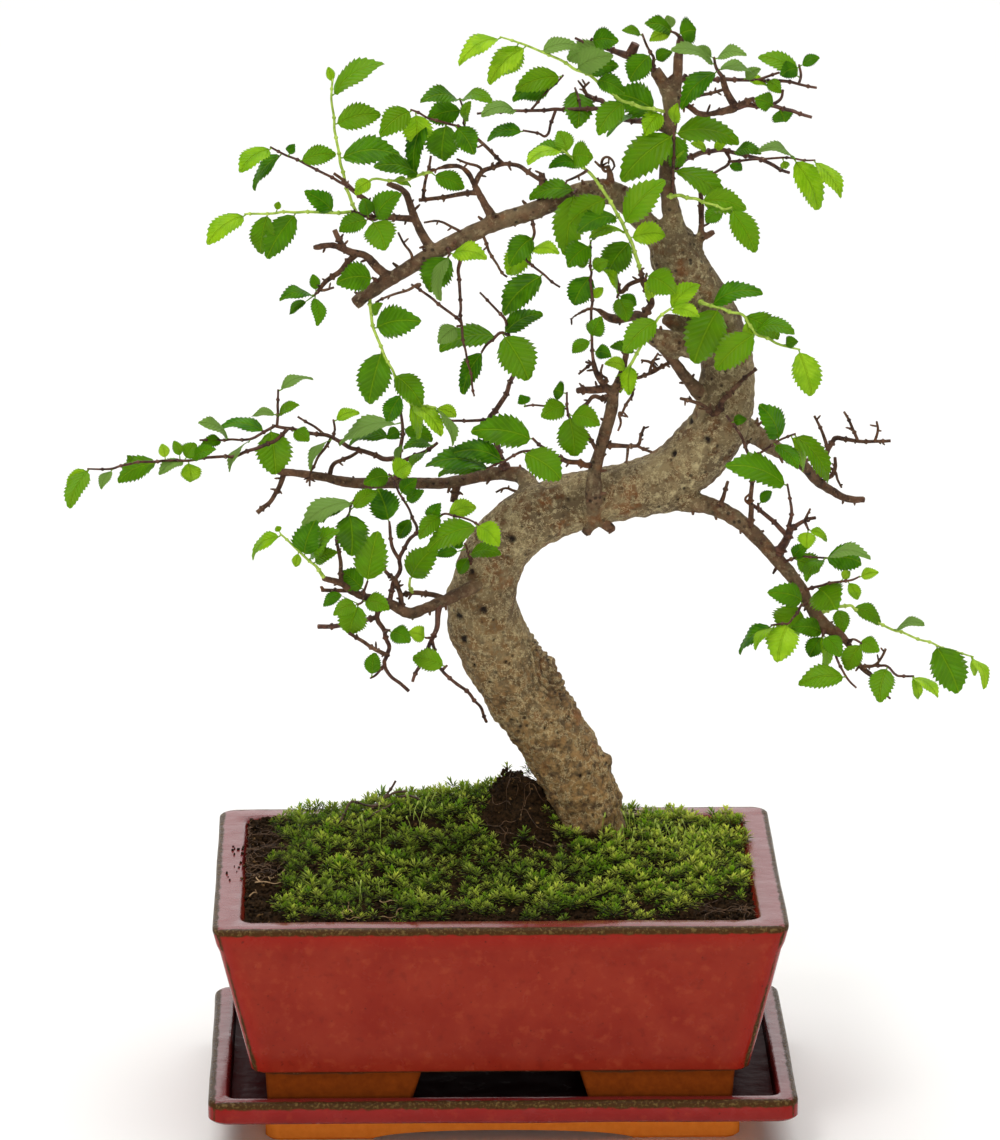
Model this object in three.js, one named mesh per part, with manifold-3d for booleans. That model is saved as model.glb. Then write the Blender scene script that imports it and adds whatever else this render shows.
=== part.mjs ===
// Chinese elm bonsai in a glazed pot that stands on its own tray.
// Millimetres, +Z up, the front along -Y. The origin is under the middle of the whole plant,
// on the surface that the tray stands on.
import * as THREE from 'three';
import { mergeVertices } from 'three/addons/utils/BufferGeometryUtils.js';
import Module from 'manifold-3d';

const wasm = await Module();
wasm.setup();
const { Manifold } = wasm;

// Driving dimensions of the pot
const POT_LENGTH = 201.4;
const POT_DEPTH = 149;
const POT_TOP = 86.3;
const POT_UNDERSIDE = 29.1;
const POT_TAPER = 13.6;
const RIM_WIDTH = 10.3;
const POT_FLOOR = 35;
const EDGE_ROUND = 1.4;
const FOOT_OUTER = 82.6;
const FOOT_INNER = 27;
const FOOT_SLANT = 4.5;
const FOOT_DEPTH = 22;
const DRAIN_RADIUS = 6;
const DRAIN_ACROSS = 40;

// Driving dimensions of the tray
const TRAY_LENGTH = 207.2;
const TRAY_ASIDE = 1.1;
const TRAY_DEPTH = 134.6;
const TRAY_TOP = 20.5;
const TRAY_RIM = 7;
const TRAY_FLOOR = 16.5;
const TRAY_WALL_FOOT = 12.6;
const TRAY_FOOT_TOP = 9.8;
const TRAY_FOOT_LENGTH = 168;
const TRAY_FOOT_DEPTH = 95;
const TRAY_FOOT_WALL = 6;
const TRAY_ARCH_HALF = 46;
const TRAY_ARCH_RISE = 3.6;

// Driving dimensions of the soil
const SOIL_EDGE = 83.2;
const MOUND_RISE = 19.5;
const MOUND_AT = [-8, 24];
const MOUND_SPREAD = [60, 44];
const ROOT_LUMP_AT = [9, 21];
const ROOT_LUMP_RISE = 15;
const ROOT_LUMP_SPREAD = [10, 11];
const SOIL_COLUMNS = 20;
const SOIL_ROWS = 14;

// Driving dimensions of the leaves
const LEAF_LENGTH = 16.5;
const LEAF_FULLNESS = 0.52;
const LEAF_THICKNESS = 0.62;
const LEAF_ARCH = 0.075;
const LEAF_FOLD = 0.1;

// Pieces that touch keep this gap
const GAP = 0.3;

// The middle of the pot, seen from the middle of the whole plant
const POT_PLACE = [-12.3, 0];

// Places on the tree are read as they look from the eye: across and up on the upright plane
// through the middle of the pot, and then how far behind that plane the place lies.
const EYE = new THREE.Vector3(-46.7, -2382.3, 814.3);

function seen(across, up, behind) {
  const onPlane = new THREE.Vector3(across, 0, up);
  const reach = (behind - EYE.y) / (0 - EYE.y);
  return onPlane.sub(EYE).multiplyScalar(reach).add(EYE);
}

// A closed solid from corner points and triangles
function solidOf(points, triangles) {
  const vertProperties = new Float32Array(points.flatMap((p) => [p.x, p.y, p.z]));
  const triVerts = new Uint32Array(triangles.flat());
  return new Manifold(new wasm.Mesh({ numProp: 3, vertProperties, triVerts }));
}

// A solid skin over rings that hold the same number of corners, closed flat at both ends
function skin(rings) {
  const count = rings[0].length;
  const triangles = [];
  for (let ring = 0; ring + 1 < rings.length; ring += 1) {
    for (let i = 0; i < count; i += 1) {
      const a = ring * count + i;
      const b = ring * count + ((i + 1) % count);
      triangles.push([a, b, b + count], [a, b + count, a + count]);
    }
  }
  const last = (rings.length - 1) * count;
  for (let i = 1; i + 1 < count; i += 1) {
    triangles.push([0, i + 1, i], [last, last + i, last + i + 1]);
  }
  return solidOf(rings.flat(), triangles);
}

// One level of a box with rounded upright edges
function level(halfLength, halfDepth, radius, up) {
  const ring = [];
  const cornerSteps = 3;
  const corners = [[1, -1, -90], [1, 1, 0], [-1, 1, 90], [-1, -1, 180]];
  for (const [sideX, sideY, startDegrees] of corners) {
    for (let step = 0; step <= cornerSteps; step += 1) {
      const angle = THREE.MathUtils.degToRad(startDegrees + (90 * step) / cornerSteps);
      const x = sideX * (halfLength - radius) + radius * Math.cos(angle);
      const y = sideY * (halfDepth - radius) + radius * Math.sin(angle);
      ring.push(new THREE.Vector3(x, y, up));
    }
  }
  return ring;
}

function fromGeometry(geometry) {
  geometry.deleteAttribute('normal');
  geometry.deleteAttribute('uv');
  const merged = mergeVertices(geometry, 1e-4);
  const vertProperties = new Float32Array(merged.attributes.position.array);
  const triVerts = new Uint32Array(merged.index.array);
  return new Manifold(new wasm.Mesh({ numProp: 3, vertProperties, triVerts }));
}

// Half sizes of the pot's outside at a height, on its evenly tapered walls
function potWall(up) {
  const share = (POT_TOP - up) / (POT_TOP - POT_UNDERSIDE);
  return [POT_LENGTH / 2 - POT_TAPER * share, POT_DEPTH / 2 - POT_TAPER * share];
}

function potLevel(up, inset, radius) {
  const [halfLength, halfDepth] = potWall(up);
  return level(halfLength - inset, halfDepth - inset, radius, up);
}

function potInside(gap) {
  const top = POT_TOP + 12;
  return skin([potLevel(POT_FLOOR + gap, RIM_WIDTH + gap, 5), potLevel(top, RIM_WIDTH + gap, 5)]);
}

function potFoot(sideX, sideY) {
  const [, halfDepth] = potWall(POT_UNDERSIDE);
  const ring = (inner, outer, up) => {
    const front = halfDepth - 2.4;
    const ends = [[inner, front - FOOT_DEPTH], [outer, front - FOOT_DEPTH], [outer, front], [inner, front]];
    const turned = ends.map(([x, y]) => new THREE.Vector3(sideX * x, sideY * y, up));
    return sideX * sideY > 0 ? turned : turned.reverse();
  };
  const low = ring(FOOT_INNER + FOOT_SLANT, FOOT_OUTER - 1, TRAY_FLOOR + GAP);
  const high = ring(FOOT_INNER, FOOT_OUTER, POT_UNDERSIDE + 2);
  return skin([low, high]);
}

function makePot() {
  const outside = skin([
    potLevel(POT_UNDERSIDE, EDGE_ROUND, 4),
    potLevel(POT_UNDERSIDE + EDGE_ROUND, 0, 5),
    potLevel(POT_TOP - EDGE_ROUND, 0, 3.5),
    potLevel(POT_TOP - EDGE_ROUND / 3, EDGE_ROUND / 3, 3.5),
    potLevel(POT_TOP, EDGE_ROUND, 3),
  ]);
  const feet = [potFoot(-1, -1), potFoot(1, -1), potFoot(-1, 1), potFoot(1, 1)];
  let pot = Manifold.union([outside, ...feet]).subtract(potInside(0));
  for (const side of [-1, 1]) {
    const drain = new THREE.CylinderGeometry(DRAIN_RADIUS, DRAIN_RADIUS, 12, 16);
    drain.rotateX(Math.PI / 2);
    drain.translate(side * DRAIN_ACROSS, 0, (POT_FLOOR + POT_UNDERSIDE) / 2);
    pot = pot.subtract(fromGeometry(drain));
  }
  return pot;
}

function makeTray() {
  const halfLength = TRAY_LENGTH / 2;
  const halfDepth = TRAY_DEPTH / 2;
  const footLength = TRAY_FOOT_LENGTH / 2;
  const footDepth = TRAY_FOOT_DEPTH / 2;
  const outside = skin([
    level(footLength, footDepth, 5, 0),
    level(footLength, footDepth, 5, TRAY_FOOT_TOP - 0.6),
    level(footLength + 1.2, footDepth + 1.2, 5, TRAY_FOOT_TOP),
    level(halfLength - 6, halfDepth - 6, 4, TRAY_WALL_FOOT - 1),
    level(halfLength - 1, halfDepth - 1, 3, TRAY_WALL_FOOT),
    level(halfLength, halfDepth, 3, TRAY_WALL_FOOT + 1),
    level(halfLength, halfDepth, 3, TRAY_TOP - 1.2),
    level(halfLength - 0.4, halfDepth - 0.4, 3, TRAY_TOP - 0.4),
    level(halfLength - 1.4, halfDepth - 1.4, 2.6, TRAY_TOP),
  ]);
  const basin = skin([
    level(halfLength - TRAY_RIM - 1, halfDepth - TRAY_RIM - 1, 4, TRAY_FLOOR),
    level(halfLength - TRAY_RIM, halfDepth - TRAY_RIM, 4, TRAY_TOP + 1),
  ]);
  const insideLength = footLength - TRAY_FOOT_WALL;
  const insideDepth = footDepth - TRAY_FOOT_WALL;
  const recess = skin([level(insideLength, insideDepth, 3, -1), level(insideLength, insideDepth, 3, 8.5)]);
  const arch = new THREE.Shape();
  arch.moveTo(-TRAY_ARCH_HALF, -1);
  arch.lineTo(TRAY_ARCH_HALF, -1);
  arch.quadraticCurveTo(TRAY_ARCH_HALF - 8, TRAY_ARCH_RISE, 0, TRAY_ARCH_RISE);
  arch.quadraticCurveTo(8 - TRAY_ARCH_HALF, TRAY_ARCH_RISE, -TRAY_ARCH_HALF, -1);
  const through = { depth: TRAY_DEPTH, bevelEnabled: false, curveSegments: 5 };
  const archway = new THREE.ExtrudeGeometry(arch, through);
  archway.rotateX(Math.PI / 2);
  archway.translate(0, TRAY_DEPTH / 2, 0);
  const tray = outside.subtract(basin).subtract(recess).subtract(fromGeometry(archway));
  return tray.translate([TRAY_ASIDE, 0, 0]);
}

// How high the soil stands: a mound round the trunk, a lump of roots and small crumbs
function hill(x, y, at, spread) {
  return Math.exp(-(((x - at[0]) / spread[0]) ** 2) - ((y - at[1]) / spread[1]) ** 2);
}

function soilHeight(x, y) {
  const mound = MOUND_RISE * hill(x, y, MOUND_AT, MOUND_SPREAD);
  const lump = ROOT_LUMP_RISE * hill(x, y, ROOT_LUMP_AT, ROOT_LUMP_SPREAD);
  const crumbs = 0.7 * Math.sin(x * 0.31) * Math.cos(y * 0.27) + 0.5 * Math.sin(x * 0.13 + y * 0.41);
  return SOIL_EDGE + mound + lump + crumbs;
}

function makeSoil(trunkHole) {
  const halfLength = POT_LENGTH / 2;
  const halfDepth = POT_DEPTH / 2;
  const points = [];
  for (const bottom of [false, true]) {
    for (let row = 0; row <= SOIL_ROWS; row += 1) {
      for (let column = 0; column <= SOIL_COLUMNS; column += 1) {
        const x = halfLength * ((2 * column) / SOIL_COLUMNS - 1);
        const y = halfDepth * ((2 * row) / SOIL_ROWS - 1);
        points.push(new THREE.Vector3(x, y, bottom ? POT_FLOOR - 2 : soilHeight(x, y)));
      }
    }
  }
  const width = SOIL_COLUMNS + 1;
  const below = width * (SOIL_ROWS + 1);
  const triangles = [];
  for (let row = 0; row < SOIL_ROWS; row += 1) {
    for (let column = 0; column < SOIL_COLUMNS; column += 1) {
      const a = row * width + column;
      const corners = [a, a + 1, a + 1 + width, a + width];
      const [p, q, r, s] = corners;
      triangles.push([p, q, r], [p, r, s]);
      triangles.push([p + below, r + below, q + below], [p + below, s + below, r + below]);
    }
  }
  const edge = [];
  for (let column = 0; column < SOIL_COLUMNS; column += 1) edge.push(column);
  for (let row = 0; row < SOIL_ROWS; row += 1) edge.push(row * width + SOIL_COLUMNS);
  for (let column = SOIL_COLUMNS; column > 0; column -= 1) edge.push(SOIL_ROWS * width + column);
  for (let row = SOIL_ROWS; row > 0; row -= 1) edge.push(row * width);
  edge.forEach((a, i) => {
    const b = edge[(i + 1) % edge.length];
    triangles.push([a, a + below, b + below], [a, b + below, b]);
  });
  const earth = solidOf(points, triangles).intersect(potInside(GAP));
  return largest(earth.subtract(trunkHole));
}

function largest(solid) {
  const bodies = solid.decompose();
  bodies.sort((a, b) => b.volume() - a.volume());
  return bodies[0];
}

// A round stem of changing thickness through rows of [across, up, behind, radius]
function stem(rows, sides, extra) {
  const list = rows.map(([across, up, behind, radius]) => ({ place: seen(across, up, behind), radius }));
  const rings = [];
  let side = new THREE.Vector3(0.31, -0.95, 0.05);
  list.forEach(({ place, radius }, i) => {
    const before = list[Math.max(i - 1, 0)].place;
    const after = list[Math.min(i + 1, list.length - 1)].place;
    const along = after.clone().sub(before).normalize();
    side = side.clone().addScaledVector(along, -side.dot(along)).normalize();
    const other = along.clone().cross(side);
    const ring = [];
    for (let k = 0; k < sides; k += 1) {
      const angle = (2 * Math.PI * k) / sides;
      const reach = radius + extra;
      const corner = place.clone().addScaledVector(side, reach * Math.cos(angle));
      ring.push(corner.addScaledVector(other, reach * Math.sin(angle)));
    }
    rings.push(ring);
  });
  return skin(rings);
}

// Rows of [across, up, behind, radius] for the trunk, the leader and each branch and bare twig
const TRUNK = [
  [32, 90, 23, 13.2], [32, 102, 22.5, 12.6], [30.8, 112, 22, 12.6], [26, 123, 21.5, 12.8],
  [20.4, 133.7, 21, 12.6], [13, 145.5, 20, 12.9], [6.4, 155.6, 19, 13.6], [0.5, 166, 18, 13.6],
  [-4.2, 177.5, 16, 13.3], [-4.8, 187, 14, 12.2], [-2.5, 197, 12, 11.4], [2, 205.5, 11, 10.9],
  [8.5, 211.8, 10.5, 11.1], [18, 217.2, 10, 10.9], [31, 221.5, 9, 10.3], [44, 224, 8.5, 10],
  [58.5, 228.5, 8, 10.6], [70.5, 238, 8, 11], [78.5, 250, 9, 10.2], [81, 262, 10, 9.5],
  [79.6, 275, 10, 9.2], [75.2, 288, 10, 9], [68, 300, 9, 8.9], [62.6, 309.5, 8, 9.5],
  [61.6, 316.5, 7, 7], [61.4, 319.5, 7, 4.6],
];
const LEADER = [
  [62.5, 311, 7, 5.5], [61.6, 320, 6.5, 3.9], [60, 329, 6, 3], [59, 337, 6, 2.5], [59.6, 350, 5, 2.3],
  [60.5, 360, 4, 2.7], [60.8, 366, 3.5, 3.4], [62.3, 372, 3, 2], [62.8, 379, 3, 1.8], [64, 386.5, 3, 1.3],
];
const BRANCHES = [
  // leader fork, left side, and the knob beyond it
  [[60.3, 365, 3.5, 2.8], [57.5, 370.5, 3, 2.5], [54.7, 374.6, 2.5, 2.1]],
  // upper left branch, its rise, and the fork at its end
  [[57, 314, 8, 4.6], [49, 323.5, 5, 4.2], [41, 331, 0, 4.4], [33, 332.3, -4, 3.6], [27, 331.3, -6, 3.2],
    [14, 325.5, -9, 3.1], [0, 321, -11, 3], [-12, 315.5, -13, 2.9], [-22, 310, -15, 2.8],
    [-34, 303, -17, 2.6], [-42, 298, -18, 2.5], [-50, 292, -19, 2.3]],
  [[38, 328, -1, 1.8], [39.5, 336, -4, 1.5], [38.5, 341, -6, 0.8]],
  [[-21, 309.5, -15, 2], [-25, 314.8, -14, 1.7], [-28.5, 322, -11.5, 1.5], [-30.2, 327, -9.5, 1.4],
    [-32.3, 332, -8, 1.3], [-38.2, 335, -6, 1.1]],
  [[-28.5, 322.3, -11.5, 1.2], [-33, 322.6, -13, 1], [-40.4, 323, -16, 0.95], [-45.5, 329, -18, 0.8],
    [-51, 333.2, -20, 0.7]],
  [[-40.4, 323, -16, 0.8], [-46, 323.6, -15, 0.7], [-51, 325, -14, 0.6]],
  [[-50, 332.6, -19.7, 0.6], [-56.8, 338.6, -17, 0.5]],
  [[-36, 301.5, -17, 1.9], [-40.6, 304, -19, 1.7], [-46.3, 309.5, -22, 1.5], [-50.8, 310.4, -24, 1.4],
    [-57, 313, -26, 1.2], [-64, 312.2, -28, 1]],
  [[-52.5, 310.5, -24.5, 1.1], [-56.7, 318.5, -24, 0.8]],
  [[-49, 310, -23, 1.1], [-55, 303.5, -26, 0.9], [-60, 300, -28, 0.8], [-63, 296, -30, 0.6]],
  [[-0.8, 321, -11, 1.9], [-5.2, 329, -12, 1.3], [-7.4, 333.6, -13, 1.1], [-11.8, 340.2, -14, 0.9],
    [-17, 341, -16, 0.8], [-23.5, 339, -18, 0.6]],
  [[-6.8, 331.5, -12.8, 0.9], [-14.7, 330.7, -8, 0.7], [-27.2, 329, -4, 0.6]],
  [[-25.8, 329.2, -4.4, 0.6], [-25, 335.7, -3, 0.5], [-23, 344.7, -1, 0.4]],
  [[15, 326, -8, 1.5], [15.5, 338.4, -4, 1]],
  [[-7.8, 334.5, -13, 0.9], [-5.2, 339, -11, 0.8], [2, 341.6, -8, 0.7], [8, 340.8, -5, 0.7],
    [15, 336, -4.6, 0.7]],
  [[2.4, 341.5, -8, 0.6], [-4, 348, -11, 0.55], [-10, 354.4, -14, 0.5]],
  // top right
  [[61, 364, 3, 1.5], [66.3, 362, 1, 1.1], [70.3, 359.3, -1, 1.1], [76.2, 359.5, -4, 1.2],
    [83, 361.3, -7, 1.6]],
  [[83, 361.3, -7, 1.4], [81, 364.5, -8, 1.2], [79.3, 368, -9, 1.1], [78.2, 372.5, -10, 0.9]],
  [[82.4, 361.1, -6.8, 1.1], [89.2, 364.4, -12, 0.7]],
  [[62, 363.5, 3, 0.8], [71, 365.8, 4, 0.55], [79, 367.8, 6, 0.5]],
  [[70.5, 312, 7, 1.8], [71.3, 319.5, 6, 1.1], [71.2, 326, 6, 1], [71, 333.3, 6, 0.9]],
  [[69, 313.5, 6, 1.8], [76, 317.4, 8, 1.1]],
  // middle left
  [[12, 222, 14, 4.5], [9.5, 229.3, 19, 3], [3, 231, 22, 2.6], [-6, 230, 24, 2.3], [-15.5, 227.8, 26, 2.2],
    [-35, 227.6, 28, 2], [-50, 227.6, 30, 1.9], [-65, 230.5, 31, 1.6], [-77.5, 232, 32, 1.3]],
  [[-75, 231.2, 32, 0.95], [-76.6, 226.5, 30, 0.8], [-80, 220.8, 28, 0.7], [-84.5, 217, 26, 0.8]],
  [[-14, 227.8, 26, 1.5], [-15.5, 220.5, 25, 1.1]],
  [[-59, 230.5, 31, 0.8], [-57.5, 234.5, 31, 0.7], [-52, 237, 31, 0.6], [-48, 239.5, 32, 0.5]],
  // lower left
  [[2, 195, 7, 3.4], [-7, 190.5, 0, 2.6], [-14, 187, -4, 2.2], [-20, 184, -6, 2.1], [-25, 182, -8, 2],
    [-30.5, 180, -11, 2], [-38.7, 184, -15, 1.7], [-44, 185.4, -17, 1.5], [-51, 188, -20, 1.4],
    [-55, 191, -22, 1.3], [-61.8, 193.2, -25, 1]],
  [[-18, 185, -5.5, 1.1], [-22.3, 186.7, -3, 0.9], [-29, 187.6, -2, 0.8], [-34.5, 186.6, -5, 0.7]],
  [[-33.8, 181.5, -12.5, 1], [-34.2, 187, -14, 0.8], [-36, 192.5, -17, 0.75], [-39.5, 195.5, -20, 0.6]],
  [[-52, 188.5, -20.5, 0.7], [-62, 188.7, -16, 0.6]],
  [[-55, 190.5, -22, 0.8], [-55.2, 198.6, -18, 0.65], [-56.8, 207.5, -15, 0.5]],
  // front branch that rises from the level limb, and its forks
  [[33.5, 212.5, 1, 3.4], [34, 223.5, -3.5, 3], [34.5, 232.8, -5, 2.5], [36.3, 239.3, -6, 2.2],
    [38, 245.7, -8, 2.2], [40, 253, -10, 2.3], [40.8, 260.5, -12, 2.2]],
  [[34, 214, 1, 2.2], [31.2, 208.8, -3, 1.8]],
  [[36, 214, 1, 2.2], [41, 210, -3, 1.6]],
  [[40.6, 259.5, -12, 1.7], [37.2, 263, -14, 1.3], [34, 269.7, -17, 1], [33.7, 272.5, -18, 0.8]],
  [[38, 261.5, -13, 1.5], [33.5, 260.8, -16, 1.2], [28.3, 260.6, -19, 1]],
  [[39.8, 257.5, -11, 0.9], [34, 258.5, -8, 0.7], [31.6, 256, -6, 0.6], [29, 254, -4, 0.7]],
  [[40.8, 260, -12, 1.7], [43.3, 265.5, -11, 1.3], [44.8, 271, -10, 1.2], [46, 278, -8, 1.1]],
  [[44.2, 266, -11, 0.7], [50, 265.3, -6, 0.6], [54.4, 267, -2, 0.6], [60.7, 270.6, 4, 0.7]],
  [[48, 265.3, -8, 0.6], [47.5, 259, -11, 0.5], [43.5, 251.3, -14, 0.4]],
  [[37, 240.7, -6.5, 1.1], [44, 240.6, -9, 0.7], [49.5, 240.8, -12, 0.6], [51.8, 247.5, -14, 0.45]],
  [[49, 240.8, -12, 0.5], [54.4, 238.3, -14, 0.45]],
  [[34.5, 234, -5.2, 1.2], [31, 233.7, -7, 0.9], [25, 235, -11, 0.8], [19, 237.6, -15, 0.7]],
  [[35.5, 238, -6, 0.7], [31, 245.7, -10, 0.55], [25.5, 250.3, -13, 0.45]],
  // thick inner stubs below the shoulder
  [[77, 275, 9, 5.5], [70, 276, 2, 4.6], [63, 277.5, -3, 4.2], [56, 279.5, -6, 3.4], [52.5, 282, -7, 2.4]],
  [[74.5, 256, 6, 2.6], [68, 263, 1, 2], [62, 271, -2, 1.9], [57.5, 276.5, -5, 1.9]],
  [[53, 282, -7, 1.9], [50.5, 287, -4, 1.7], [46, 287, 1, 1.8], [40, 286.5, 4, 1.6], [34, 290, 4, 0.7],
    [29, 288.5, 2, 0.6], [25.5, 286, 0, 0.5]],
  [[50.8, 286.5, -4.5, 1.3], [54, 292, -8, 1.1], [51, 299, -10, 0.8], [50, 304, -12, 0.7]],
  [[50.8, 300.5, -10.5, 0.7], [46, 298.5, -9, 0.7], [43, 296, -8.5, 0.8], [41.5, 302, -10, 0.5]],
  [[77, 252, 1, 1.2], [79, 256.5, -2.5, 0.9], [84, 262, -6, 0.7], [91, 268, -11, 0.5]],
  [[76, 251.5, 1, 0.9], [71.5, 255.5, -6, 0.6], [64.5, 257.6, -12, 0.5]],
  // lower right
  [[58, 226, 8, 6], [67.5, 220.8, 5, 3.8], [75, 218.6, 2, 3.1], [80, 216.6, 0, 2.9], [85.3, 213.3, -2, 2.8],
    [90.8, 208.3, -4, 2.7], [98.7, 199.5, -7, 2.5], [106.6, 189.5, -11, 2.4], [111, 182, -13, 2.3],
    [115.5, 175, -15, 2.7], [121.3, 171.5, -17, 1.6], [125, 167, -18, 1.2], [128.7, 160, -19, 1],
    [133, 156.2, -20, 0.9], [136, 151, -21, 0.8], [140, 147.6, -22, 0.6]],
  [[129, 159.5, -19, 0.7], [133.8, 160, -22, 0.5], [136.4, 163, -24, 0.45], [137.8, 166, -26, 0.45]],
  [[89.5, 209, -4, 1.1], [89.6, 219, -6.5, 0.8], [89.6, 229.5, -8.3, 0.65]],
  [[78.3, 217, 0, 1], [79.8, 222, -3, 0.7], [81.3, 227.5, -6, 0.5]],
  // right stub and the thin branch above it
  [[84, 247, 10, 5], [90, 245, 13, 3.9], [95.5, 241, 16, 3.2], [102, 237, 20, 2.5], [108.6, 232.6, 24, 2],
    [112.8, 227.8, 27, 1.9], [118.2, 223.8, 29, 1.7], [123.7, 221, 31, 1.5], [129.8, 220.8, 33, 1.2]],
  [[112.6, 228, 27, 1.3], [115.5, 233, 25, 1], [116.3, 238.5, 24, 0.9], [119, 243, 23, 0.8],
    [127, 241.9, 20, 0.6], [138.5, 242, 16, 0.5]],
  [[116.5, 239, 24, 0.7], [115.2, 243, 26, 0.55], [111.5, 251.2, 29, 0.4]],
  [[127, 241.9, 20, 0.55], [122, 252.5, 17, 0.4]],
  [[89.5, 246, 13, 1.6], [91.5, 250, 10, 0.7]],
];

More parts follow.
